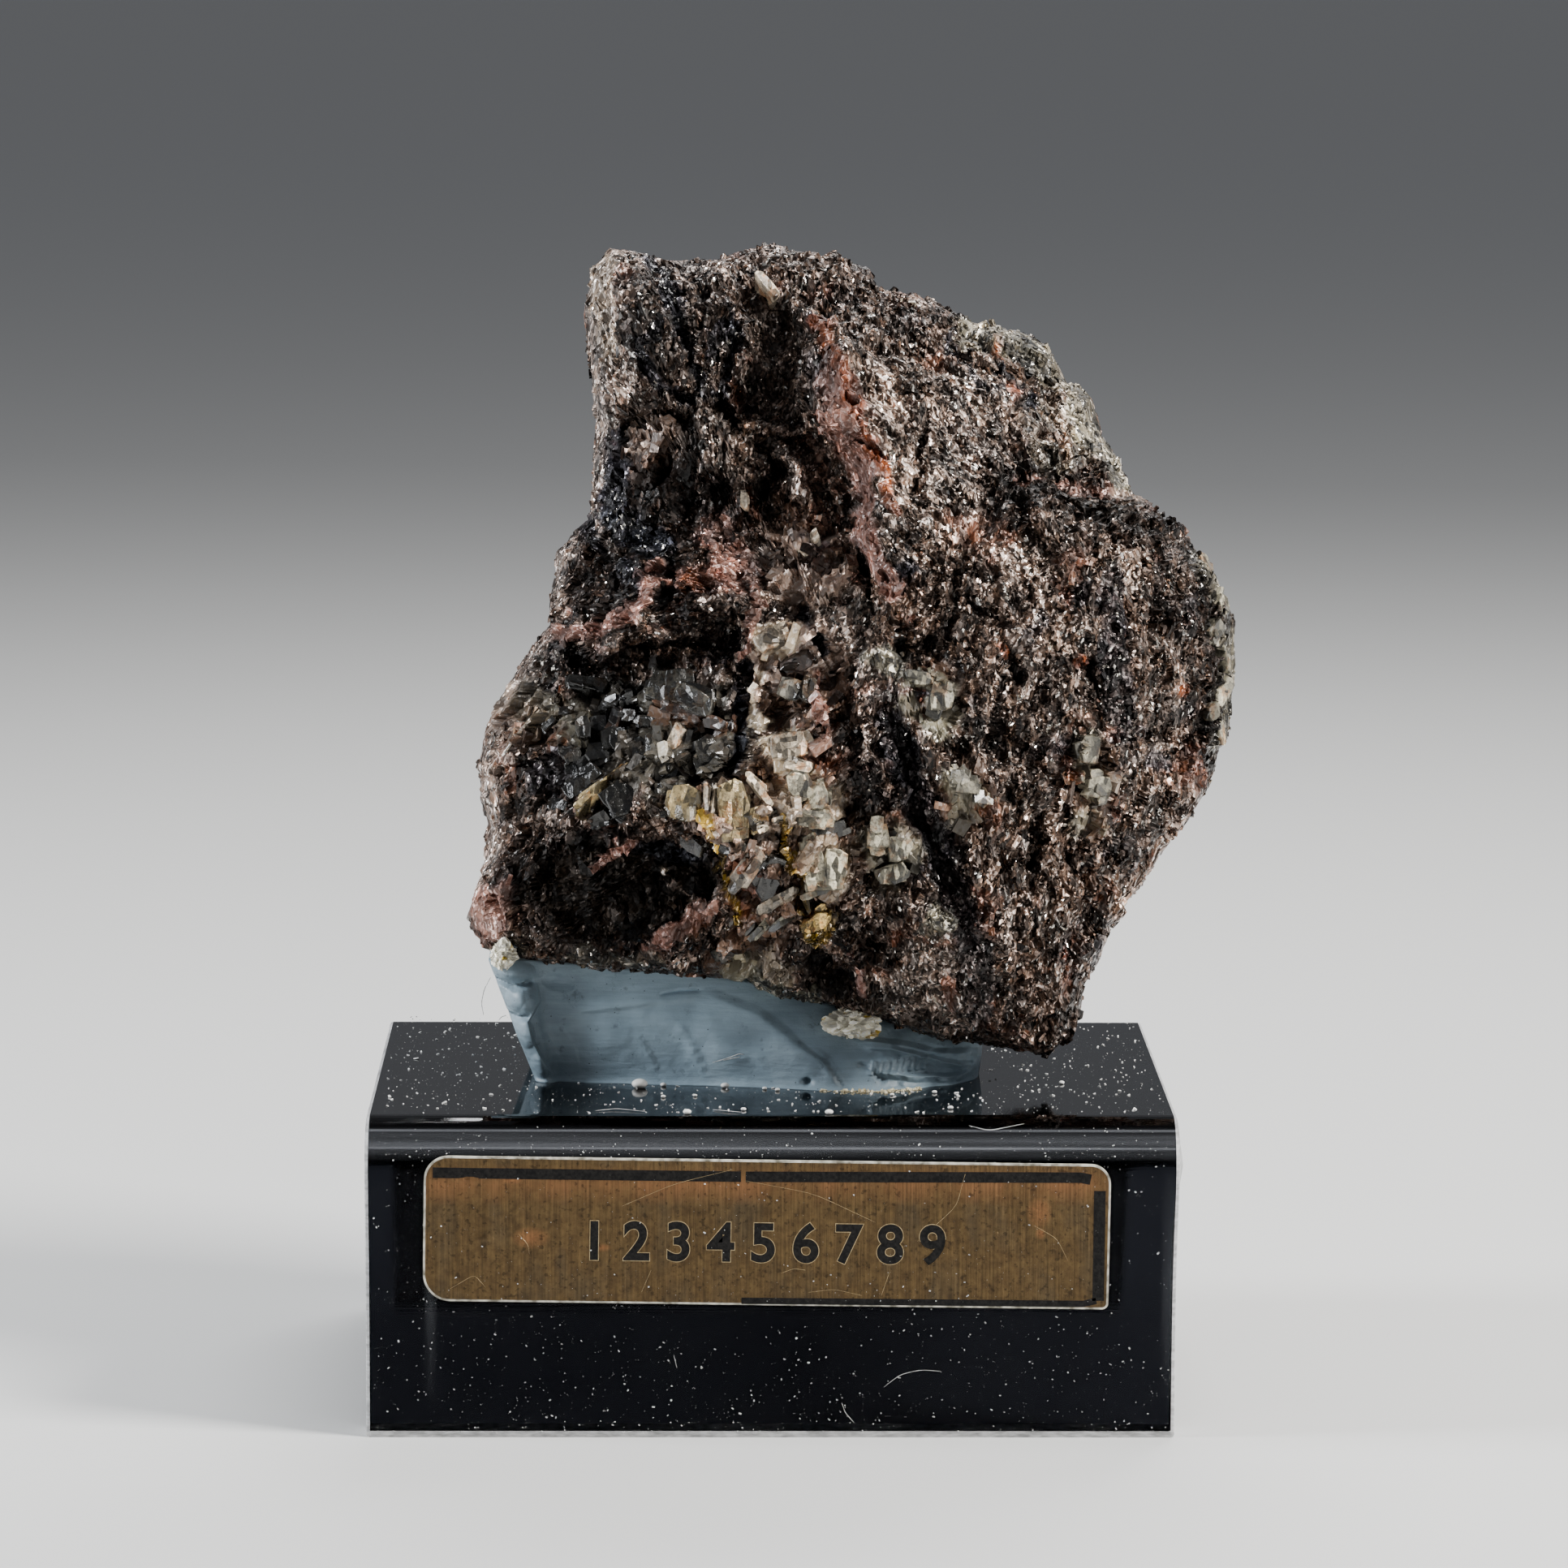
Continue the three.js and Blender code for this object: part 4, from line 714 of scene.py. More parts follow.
# tone, strength, right, up, half width, half height, turn
patches = [
    # the second patch on the next line darkens the deep hollow left of the ridge: painted shade
    ("darkOre", 0.85, -11.8, 16.5, 4.2, 9.5, 0), ("darkOre", 0.3, -5.0, 15.0, 3.8, 7.6, 0),
    ("darkOre", 0.93, -11.5, 6.2, 5.6, 5.0, 0), ("darkOre", 0.9, -16.8, 4.4, 2.4, 4.0, 0),
    ("darkOre", 0.95, -14.4, 8.6, 2.8, 4.6, 0), ("darkOre", 0.6, -21.4, -3.6, 1.6, 2.8, 60),
    ("darkOre", 0.9, -13.0, -5.4, 7.0, 4.2, 0), ("darkOre", 0.42, 12.0, 9.4, 8.0, 3.4, -8),
    ("darkOre", 0.14, 11.0, 0.0, 5.0, 7.0, 0), ("darkOre", 0.4, 0.0, -7.0, 4.0, 4.0, 0),
    ("paleOre", 0.95, 4.8, -21.6, 3.8, 3.0, 0), ("darkOre", 0.3, 2.5, 21.0, 5.0, 2.6, -15),
    ("darkOre", 0.35, 4.4, 3.2, 4.0, 2.4, 0), ("paleOre", 0.25, -1.5, 0.5, 3.0, 3.0, 0),
    ("paleOre", 0.55, -3.0, 2.0, 3.2, 4.0, 0), ("paleOre", 0.2, 11.0, 0.5, 4.0, 6.0, 0),
    ("paleOre", 0.4, 4.6, 9.4, 4.4, 3.4, 30), ("paleOre", 0.25, 6, 14.5, 4.5, 4.5, 0),
    ("crust", 0.35, 12.5, 13.4, 2.2, 2.6, 20), ("paleOre", 0.4, 8.6, 5.6, 2.6, 1.6, 0),
    ("rust", 0.25, 7.2, 7.6, 2.6, 0.9, 0), ("paleOre", 0.7, 4.2, 7.2, 1.1, 1.3, 0),
    ("paleOre", 0.6, 3.4, 10.4, 1.3, 2.0, -30), ("paleOre", 0.55, -5.4, 18.4, 1.9, 3.6, 0),
    ("paleOre", 0.65, 1.8, 14.6, 2.0, 4.6, 20), ("pit", 0.8, -11.2, 14.6, 1.1, 0.7, 0),
    ("pit", 0.9, -14.3, 14.0, 0.95, 0.8, 0), ("paleOre", 0.4, -2.9, 11.6, 1.4, 1.9, 0),
    ("pit", 0.7, -5.65, 11.8, 0.5, 1.0, 0), ("pit", 0.8, -6.3, 10.2, 0.8, 0.7, 0),
    ("paleOre", 0.6, -4.25, 10.8, 0.28, 1.0, 20), ("paleOre", 0.7, -7.9, 10.8, 1.0, 0.9, 0),
    ("steel", 0.45, -15.6, 7.6, 2.4, 1.5, 0), ("steel", 0.7, -13.2, 6.5, 1.7, 1.0, 0),
    ("steel", 0.6, -14.8, 4.6, 1.3, 0.8, 0), ("paleOre", 0.5, -16.0, 7.2, 0.45, 1.4, 5),
    ("paleOre", 0.6, -15.4, 5.9, 0.35, 0.6, -20), ("rust", 0.22, -10.3, 4.2, 1.9, 0.9, 0),
    ("pink", 0.55, -8.2, 5.2, 1.6, 1.8, 0), ("pink", 0.3, -9.5, 7.6, 1.2, 1.2, 0),
    ("pink", 0.3, -12.6, 4.3, 1.6, 0.8, 0), ("pink", 0.6, -19.5, 1.4, 0.9, 1.3, 20),
    ("pink", 0.6, -16.9, -0.1, 0.6, 0.9, 0), ("paleOre", 0.6, -9.2, 3.0, 1.6, 0.45, 10),
    # the pits at (-13.0, 0.0) and (-12.4, -1.0) and the dark ore at (-17.2, -1.2) darken the face under the
    # brow: painted shade
    ("paleOre", 0.3, -9.4, 0.9, 2.3, 1.35, 10), ("pit", 0.9, -13.0, 0.0, 2.4, 0.7, 8),
    ("pit", 0.85, -12.4, -1.0, 2.4, 0.5, 8), ("darkOre", 0.75, -17.2, -1.2, 2.8, 1.2, 0),
    ("cleavage", 0.85, -13.2, -5.6, 5.8, 3.9, 0), ("darkOre", 0.4, -16.6, -6.4, 3.0, 3.6, 0),
    ("crust", 0.35, -21.6, -3.6, 1.6, 2.8, 60), ("paleOre", 0.45, -22.4, -6.0, 0.9, 1.4, 30),
    ("darkOre", 0.8, -20.6, -8.8, 2.4, 1.8, 0), ("steel", 0.5, -19.8, -8.2, 1.3, 1.2, 0),
    # the dark ore at (-16.4, -15.2) and the pit at (-15.6, -15.2) darken the undercut: painted shade
    ("pit", 0.9, -22.3, -10.4, 1.0, 0.9, 0), ("darkOre", 0.9, -16.4, -15.2, 7.2, 3.9, 0),
    ("pit", 0.97, -15.6, -15.2, 6.6, 3.6, 0), ("steel", 0.7, -11.6, -12.9, 2.4, 0.9, -10),
    ("pit", 0.8, -10.2, -15.0, 1.1, 1.3, 0), ("cream", 0.9, -12.8, -14.3, 0.35, 0.25, 0),
    ("pink", 0.6, -23.7, -17.0, 1.5, 2.1, 0), ("crust", 0.5, -22.6, -19.2, 1.2, 0.8, 0),
    ("cream", 0.15, -7.0, -10.4, 3.0, 2.0, 0), ("cream", 0.6, -5.9, -20.4, 1.7, 1.0, -20),
    ("cream", 0.8, -5.4, 0.6, 1.7, 0.9, 8), ("cream", 0.85, -4.9, -6.3, 1.8, 1.1, 0),
    ("cream", 0.9, -4.2, -7.5, 1.2, 0.6, 0), ("paleOre", 0.8, -1.0, 2.2, 0.7, 2.0, -5),
    ("cream", 0.7, -7.0, -3.3, 0.4, 1.5, 5), ("cream", 0.35, -3.1, -10.0, 1.9, 2.2, 0),
    ("cream", 0.4, -2.4, -14.0, 1.9, 1.8, 0), ("crust", 0.75, 1.6, -12.8, 1.9, 2.3, 0),
    ("brass", 0.9, -2.7, -17.4, 1.2, 1.0, 0), ("pit", 0.9, -2.0, -21.0, 2.2, 1.3, -8),
    ("darkOre", 0.7, -0.7, -18.6, 1.0, 1.0, 0), ("darkOre", 0.6, 2.0, -18.8, 1.5, 1.6, 0),
    ("rust", 0.4, 2.6, -18.0, 0.8, 0.9, 0), ("crust", 0.9, 4.8, -17.2, 0.9, 0.7, 0),
    ("darkOre", 0.5, 0.2, -8.4, 2.6, 1.8, -20), ("pit", 0.7, 0.6, -10.4, 2.0, 0.5, 0),
    ("pit", 0.9, 0.1, 5.7, 0.5, 1.2, -15), ("pit", 0.8, -0.9, 7.7, 0.6, 0.7, 0),
    ("pit", 0.8, 3.5, 0.1, 1.4, 0.85, 0), ("steel", 0.7, 2.5, 5.0, 0.6, 0.6, 0),
    ("crust", 0.85, 1.3, -0.6, 1.2, 0.8, -20), ("crust", 0.9, 3.8, -1.9, 1.5, 0.8, -10),
    ("crust", 0.85, 5.2, -3.4, 1.1, 1.8, -10), ("crust", 0.8, 4.7, -5.0, 0.8, 0.9, 0),
    ("crust", 0.7, 2.9, -3.4, 0.8, 0.7, 0), ("steel", 0.8, 3.9, -2.8, 0.6, 0.3, -20),
    ("crust", 0.85, 6.5, -8.9, 1.5, 1.3, -15), ("crust", 0.7, 6.1, -11.0, 0.7, 0.9, 0),
    ("crust", 0.85, 14.3, -6.6, 1.0, 1.2, 0), ("crust", 0.9, 14.9, -9.0, 1.0, 1.5, 0),
    ("crust", 0.75, 14.2, -11.0, 0.8, 1.0, 0), ("steel", 0.7, 14.1, 3.3, 0.7, 1.0, 0),
    ("steel", 0.65, 11.0, 1.4, 1.2, 0.8, 30), ("steel", 0.75, 18.8, -7.0, 1.1, 1.2, 20),
    ("steel", 0.6, 17.8, -5.0, 0.8, 0.5, 0), ("steel", 0.5, 12.0, -6.2, 1.4, 0.7, 20),
    ("steel", 0.55, 21.3, 2.2, 0.9, 1.6, -10), ("steel", 0.5, 20.6, -3.8, 0.8, 1.0, 0),
    ("rust", 0.9, 14.2, -0.9, 0.35, 0.5, 0), ("rust", 0.7, 20.3, -2.4, 0.3, 0.5, 0),
    ("rust", 0.8, 9.0, -0.3, 0.3, 0.3, 0), ("rust", 0.65, 5.5, -21.6, 0.7, 1.4, 0),
    ("pit", 0.95, 9.75, -1.4, 0.4, 1.1, 8), ("pit", 0.95, 9.4, -9.1, 0.4, 0.4, 0),
    # the dark ore at (9.3, 9.1) is painted shade under the ledge
    ("pit", 0.9, 13.6, -9.0, 0.4, 0.35, 0), ("darkOre", 0.8, 9.3, 9.1, 1.7, 0.9, 0),
    ("darkOre", 0.6, 9.9, 3.4, 0.7, 1.2, 0), ("pit", 0.9, 15.8, 8.4, 0.7, 0.4, 0),
    ("pit", 0.9, 17.2, 8.1, 0.6, 0.35, 0), ("paleOre", 0.6, 18.6, 8.6, 1.1, 0.35, -8),
    ("rust", 0.5, 3.2, 23.0, 1.3, 0.5, -10), ("darkOre", 0.8, 2.4, 22.3, 0.8, 0.3, 0),
    ("darkOre", 0.8, 2.3, 20.3, 1.2, 0.4, 0), ("darkOre", 0.7, 3.6, 17.3, 0.6, 0.6, 0),
    ("paleOre", 0.3, 16.0, 5.0, 1.6, 2.0, 0), ("darkOre", 0.35, 18.8, 0.5, 3.0, 6.0, 0),
    ("crust", 0.35, -18.6, -5.0, 1.2, 1.6, 0), ("paleOre", 0.15, -12.2, 18.6, 3.2, 6.5, 0),
    ("paleOre", 0.4, -5.2, 6.2, 1.6, 1.4, 0),
]

# tone, strength, half width, line
bands = [
    # dark along the ledge's step: painted shade
    ("darkOre", 0.95, 1.5, [(8.8, 10.6), (13.0, 10.0), (19.5, 8.6)]),
    ("darkOre", 0.95, 1.6, [(22.4, 6.2), (23.4, 2.8), (23.4, -2.6), (22.8, -6.8)]),
    # the pale bands on the next seven lines, down the pillar's left flank and the rock's left edge, are pale
    # ore made paler still as painted light from the left; the steel band among them is not
    ("paleOre", 0.95, 1.25, [(-16.6, 25.4), (-16.4, 21.9), (-16.0, 19.0), (-15.7, 17.0), (-16.7, 15.0)]),
    ("cream", 0.35, 0.8, [(-16.4, 24.6), (-16.4, 21.9), (-16.0, 19.0)]),
    ("paleOre", 0.8, 0.4, [(-16.9, 14.2), (-17.0, 9.0)]),
    ("steel", 0.6, 0.9, [(-15.7, 13.6), (-15.8, 11.0), (-15.4, 8.6)]),
    ("paleOre", 0.52, 0.6, [(-19.0, 7.0), (-19.3, 4.0), (-19.6, 2.0), (-20.5, 0.4), (-21.6, -1.4),
                            (-22.8, -3.8), (-23.6, -6.5), (-23.9, -8.6), (-23.8, -10.4)]),
    ("paleOre", 0.8, 0.5, [(-23.3, -11.8), (-23.5, -13.4), (-24.2, -15.2)]),
    ("steel", 0.8, 0.5, [(-13.3, 25.0), (-12.2, 22.9), (-11.9, 21.5), (-11.4, 19.5), (-10.9, 17.8),
                         (-10.2, 16.2)]),
    ("steel", 0.75, 0.4, [(-13.5, 20.8), (-13.9, 19.0), (-13.6, 17.6), (-12.4, 16.5), (-10.8, 15.8)]),
    ("steel", 0.7, 0.35, [(-9.7, 18.6), (-9.3, 20.1), (-8.5, 20.1)]),
    ("steel", 0.7, 0.35, [(-8.4, 22.2), (-8.0, 20.0), (-8.4, 18.5), (-8.7, 16.4)]),
    ("paleOre", 0.7, 0.2, [(-10.0, 14.8), (-10.1, 11.5)]),
    ("paleOre", 0.7, 0.2, [(-9.3, 15.0), (-9.4, 11.5)]),
    ("paleOre", 0.75, 0.25, [(-8.4, 14.6), (-8.6, 11.5)]),
    ("paleOre", 0.8, 0.2, [(-14.3, 12.5), (-13.3, 13.0)]),
    ("rust", 0.6, 0.7, [(-2.7, 20.4), (-1.9, 18.6), (-1.3, 17.0)]),
    ("pink", 0.8, 0.8, [(-1.4, 17.0), (-0.4, 14.6), (0.2, 12.6), (0.4, 11.2)]),
    ("pink", 0.7, 0.7, [(-2.4, 17.4), (-1.4, 14.4), (-0.3, 11.9), (0.1, 9.6)]),
    ("rust", 0.75, 0.38, [(-1.8, 18.4), (-0.7, 15.6), (0.4, 13.2), (1.0, 11.6), (1.6, 10.2), (2.2, 8.4)]),
    ("pink", 0.95, 0.7, [(0.0, 9.8), (0.3, 7.6), (0.9, 5.8), (1.9, 3.8)]),
    ("pink", 0.75, 0.55, [(-18.4, 0.8), (-16.0, 1.8), (-14.2, 2.5), (-13.3, 3.8)]),
    ("pink", 0.8, 0.3, [(-6.9, 4.2), (-6.7, 1.6), (-7.5, 0.0), (-8.1, -0.7)]),
    ("steel", 0.85, 0.35, [(-7.7, -1.0), (-7.9, -3.0), (-7.8, -5.0), (-8.2, -7.4)]),
    ("pit", 0.9, 0.22, [(-14.5, -3.0), (-14.2, -5.0), (-13.6, -7.0), (-13.1, -8.8)]),
    ("pit", 0.8, 0.3, [(-9.8, -8.4), (-8.0, -8.0), (-7.1, -8.3)]),
    ("pit", 0.9, 0.4, [(-9.0, -12.1), (-7.8, -12.3), (-6.4, -12.0), (-4.9, -12.2)]),
    ("pit", 0.9, 0.25, [(-13.4, -8.3), (-11.0, -8.2), (-8.8, -7.8), (-7.7, -6.6)]),
    ("pink", 0.85, 0.35, [(-16.6, -14.0), (-15.8, -13.0), (-14.9, -12.2)]),
    ("paleOre", 0.8, 0.13, [(-12.9, -14.2), (-11.5, -15.8), (-10.4, -16.6)]),
    ("cream", 0.5, 0.35, [(-11.2, -17.4), (-9.2, -16.4)]),
    ("pink", 0.9, 0.42, [(-13.8, -19.7), (-12.3, -18.5), (-10.7, -17.3), (-9.2, -16.4)]),
    ("crust", 0.6, 0.45, [(-18.4, -19.4), (-15.5, -19.9), (-12.8, -20.2)]),
    ("crust", 0.85, 0.7, [(-8.2, -20.2), (-6.6, -21.0), (-5.0, -21.8), (-3.0, -22.5)]),
    ("brass", 0.75, 0.16, [(-9.9, -10.3), (-9.3, -12.4), (-8.9, -14.5), (-8.3, -15.9), (-7.5, -17.6)]),
    ("brass", 0.75, 0.18, [(-5.0, -10.8), (-4.4, -12.8), (-4.0, -15.0), (-3.7, -17.0)]),
    ("amber", 0.7, 0.5, [(-12.6, -3.7), (-11.0, -4.3), (-9.6, -4.9), (-8.4, -5.2)]),
    ("pink", 0.8, 0.5, [(-2.9, -2.2), (-2.6, -4.2), (-2.2, -5.6), (-3.4, -7.0)]),
    ("steel", 0.85, 0.4, [(-3.8, 2.4), (-3.0, 1.0), (-2.2, -0.4)]),
    ("steel", 0.68, 1.1, [(1.7, -4.8), (2.9, -7.5), (3.6, -10.0), (4.6, -12.3), (5.4, -14.6), (6.4, -17.0),
                          (7.0, -19.5), (7.4, -22.6)]),
    ("pit", 0.6, 0.4, [(2.2, -6.0), (3.2, -8.6), (3.8, -10.6), (4.9, -13.0), (5.6, -15.2)]),
    ("steel", 0.6, 0.9, [(15.8, 4.2), (16.0, 2.0), (15.8, 0.0), (16.3, -2.0), (16.0, -5.0)]),
    ("pit", 0.8, 0.3, [(14.8, -0.8), (14.9, -3.0), (14.6, -5.2)]),
    ("crust", 0.5, 0.85, [(22.0, 6.2), (22.8, 4.5), (23.4, 2.8), (23.4, 0.0), (23.5, -2.6), (23.3, -5.0),
                          (23.0, -6.5)]),
    ("darkOre", 0.85, 0.45, [(22.3, 2.6), (23.5, 2.0)]),
    ("darkOre", 0.85, 0.35, [(22.3, -0.2), (23.8, -2.0)]),
    ("crust", 0.75, 1.1, [(6.8, 20.8), (10.5, 20.0), (12.3, 18.9), (13.4, 17.0), (14.6, 14.6), (16.2, 11.8),
                          (17.4, 10.3)]),
    ("steel", 0.8, 0.3, [(5.3, 20.0), (6.3, 18.5), (7.2, 17.2), (7.9, 16.5)]),
    ("steel", 0.8, 0.35, [(8.7, 18.0), (10.5, 16.8), (11.0, 15.5)]),
    ("steel", 0.7, 0.22, [(10.0, 19.0), (11.2, 18.5)]),
    ("pit", 0.85, 0.22, [(3.9, 13.6), (3.2, 11.5), (3.2, 9.8)]),
    ("pink", 0.4, 0.35, [(9.8, 11.0), (13.0, 10.4), (18.5, 9.3)]),
    # dark along the ledge's step: painted shade
    ("pit", 0.75, 0.5, [(8.6, 10.5), (12.0, 9.9), (17.0, 8.9)]),
    ("pit", 0.7, 0.25, [(11.0, -11.0), (11.5, -12.5), (10.7, -14.0), (10.3, -15.2)]),
    ("darkOre", 0.8, 0.45, [(13.3, -10.6), (13.4, -13.0), (13.2, -15.2)]),
    ("steel", 0.6, 0.45, [(15.6, -18.0), (15.0, -20.3)]),
    ("pink", 0.85, 0.3, [(0.3, -20.2), (0.3, -22.2)]),
    ("paleOre", 0.8, 0.14, [(-1.8, -18.6), (-0.6, -17.4), (0.8, -17.1), (2.2, -17.2), (3.5, -18.4),
                            (3.6, -20.8)]),
]


# tone, strength, noise size and salt, share of the grains in it, where it starts and where it is full
mottles = [
    ("darkOre", 0.75, 1.6, 33, 0.6, 0.15, 0.6), ("paleOre", 0.6, 2.2, 34, 0.7, 0.3, 0.8),
    ("steel", 0.5, 3.2, 35, 0.4, 0.45, 0.8), ("rust", 0.4, 2.6, 36, 0.5, 0.5, 0.9),
]
backMottles = [("crust", 0.7, 9, 37, 1, 0.35, 0.6), ("steel", 0.8, 7, 38, 1, 0.5, 0.7),
               ("brass", 0.6, 4, 39, 1.4, 0.72, 0.95)]


def rockFinish(places, onFront):
    # one colour, metallic, roughness, grain contrast and grain direction for each place: the plain ore
    # mottled by noise, then every named patch and band, with grainy edges
    def blend(weight, tone):
        colour, *rest = tones[tone]
        finish[:, :6] += weight[:, None] * (np.array([*colour, *rest]) - finish[:, :6])

    colour, *rest = tones["ore"]
    finish = np.tile(np.array([*colour, *rest, 0.0]), (len(places), 1))
    _, grain = chips(places, 0.42, 31)
    edge = 0.22 * cloudNoise(places, 1.3, 32) + 0.34 * (grain - 0.5)
    for tone, strength, size, salt, share, low, high in mottles:
        blend(strength * smoothStep(cloudNoise(places, size, salt) + share * (grain - 0.5), low, high), tone)
    front = onFront.astype(float)
    for tone, strength, size, salt, share, low, high in backMottles:
        noise = cloudNoise(places, size, salt) + share * edge
        blend((1 - front) * strength * smoothStep(noise, low, high), tone)
    right, up = asSeen(places[:, 0], places[:, 2], -places[:, 1])
    finish[:, 6] = grainDirection(right, up, front)
    right, up = wandered(right, up)
    for tone, strength, *ellipse in patches:
        halfSize = min(ellipse[2], ellipse[3])
        reach = ellipseReach(right, up, *ellipse) + edge * (0.5 + 0.5 / halfSize)
        blend(front * strength * smoothStep(-reach, -1.15, -0.8), tone)
    for tone, strength, halfWidth, path in bands:
        signed, _ = nearPath(path, right, up)
        reach = abs(signed) / halfWidth + edge * (0.4 + 0.3 / halfWidth)
        blend(front * strength * smoothStep(-reach, -1.2, -0.75), tone)
    return finish


def makeRock():
    polar, angle, quads, seam = wrappedGrid(rock["frontCells"], rock["beltRows"])
    places = rockSurface(polar, angle)
    triangles = np.vstack([splitQuads(places, quads), seam])
    normals = vertexNormals(places, triangles)
    onFront = polar < rock["frontEdge"]
    finish = rockFinish(places, onFront)
    lift, brightness, blocky = brokenRelief(places, onFront)
    lift += rock["grit"] * np.random.default_rng(3).normal(size=len(places))
    calmShare, calmFrom, calmTo = rock["rimCalm"]
    calmRim = 1 - calmShare * smoothStep(np.sin(polar), calmFrom, calmTo)
    outward = np.stack([np.sin(polar) * np.cos(angle), -np.cos(polar), np.sin(polar) * np.sin(angle)], 1)
    places = places + unit(normals + rock["outwardPush"] * outward) * (lift * calmRim)[:, None]
    finish[:, :3] *= brightness[:, None]
    finish[:, 5] *= 1 - 0.75 * blocky
    return {"places": places, "triangles": triangles, "normals": normals, "finish": finish, "blocky": blocky,
            "calmRim": calmRim}


def addNode(tree, kind, inputs=None, **settings):
    # inputs: socket name or number to a value or to another node's output
    node = tree.nodes.new("ShaderNode" + kind)
    for key, value in settings.items():
        setattr(node, key, value)
    for key, value in (inputs or {}).items():
        if isinstance(value, bpy.types.NodeSocket):
            tree.links.new(value, node.inputs[key])
        else:
            node.inputs[key].default_value = value
    return node


def newMaterial(name):
    material = bpy.data.materials.new(name)
    material.use_nodes = True
    tree = material.node_tree
    return material, tree, tree.nodes["Principled BSDF"]


def mixColour(tree, factor, first, second, blend="MIX"):
    node = addNode(tree, "Mix", {0: factor, 6: first, 7: second}, data_type="RGBA", blend_type=blend)
    return node.outputs[2]


def multiplied(tree, first, second):
    return mixColour(tree, 1.0, first, second, "MULTIPLY")


def maths(tree, operation, first, second=0.0, clamp=False):
    return addNode(tree, "Math", {0: first, 1: second}, operation=operation, use_clamp=clamp).outputs[0]


def vectorMaths(tree, operation, first, second=None, scale=None):
    inputs = {0: first}
    if second is not None:
        inputs[1] = second
    if scale is not None:
        inputs["Scale"] = scale
    return addNode(tree, "VectorMath", inputs, operation=operation).outputs[0]


def ramp(tree, factor, stops, interpolation="LINEAR"):
    node = addNode(tree, "ValToRGB", {0: factor})
    node.color_ramp.interpolation = interpolation
    elements = node.color_ramp.elements
    while len(elements) < len(stops):
        elements.new(0.5)
    for element, (position, colour) in zip(elements, stops):
        element.position = position
        element.color = (*colour, 1)
    return node.outputs[0]


def greyRamp(tree, factor, *stops):
    return ramp(tree, factor, [(position, (value, value, value)) for position, value in stops])


def noiseAt(tree, place, scale, detail, roughness=0.5):
    inputs = {"Vector": place, "Scale": scale, "Detail": detail, "Roughness": roughness}
    return addNode(tree, "TexNoise", inputs).outputs["Fac"]


def stretched(tree, place, scale, turn=0.0):
    # turned about y by an angle in radians, and scaled
    inputs = {0: place, "Rotation": (0, turn, 0), "Scale": scale}
    return addNode(tree, "Mapping", inputs).outputs[0]


def addBump(tree, shader, height, strength, distance, **inputs):
    # distance in metres
    bump = addNode(tree, "Bump", {"Height": height, **inputs, "Strength": strength, "Distance": distance})
    tree.links.new(bump.outputs[0], shader.inputs["Normal"])


def inMillimetres(tree, size=1.0):
    # object coordinates, one unit for each `size` millimetres
    place = addNode(tree, "TexCoord").outputs["Object"]
    return vectorMaths(tree, "SCALE", place, scale=1000 / size)


def grainPlace(tree, place, direction):
    # within each large cell, turned about the cell's middle so that X runs along the grain, squeezed
    # along it, and moved far off so that no two cells look alike
    cell = addNode(tree, "TexVoronoi", {"Vector": place, "Scale": 0.42})
    cellParts = addNode(tree, "SeparateColor", {0: cell.outputs["Color"]})
    jitter = maths(tree, "SUBTRACT", cellParts.outputs[0], 0.5)
    angle = maths(tree, "ADD", direction, maths(tree, "MULTIPLY", jitter, 0.9))
    own = vectorMaths(tree, "SUBTRACT", place, cell.outputs["Position"])
    turned = addNode(tree, "VectorRotate", {"Vector": own, "Angle": angle}, rotation_type="Y_AXIS").outputs[0]
    squeezed = vectorMaths(tree, "MULTIPLY", turned, (0.42, 1, 1))
    return vectorMaths(tree, "ADD", squeezed, vectorMaths(tree, "SCALE", cell.outputs["Color"], scale=90))


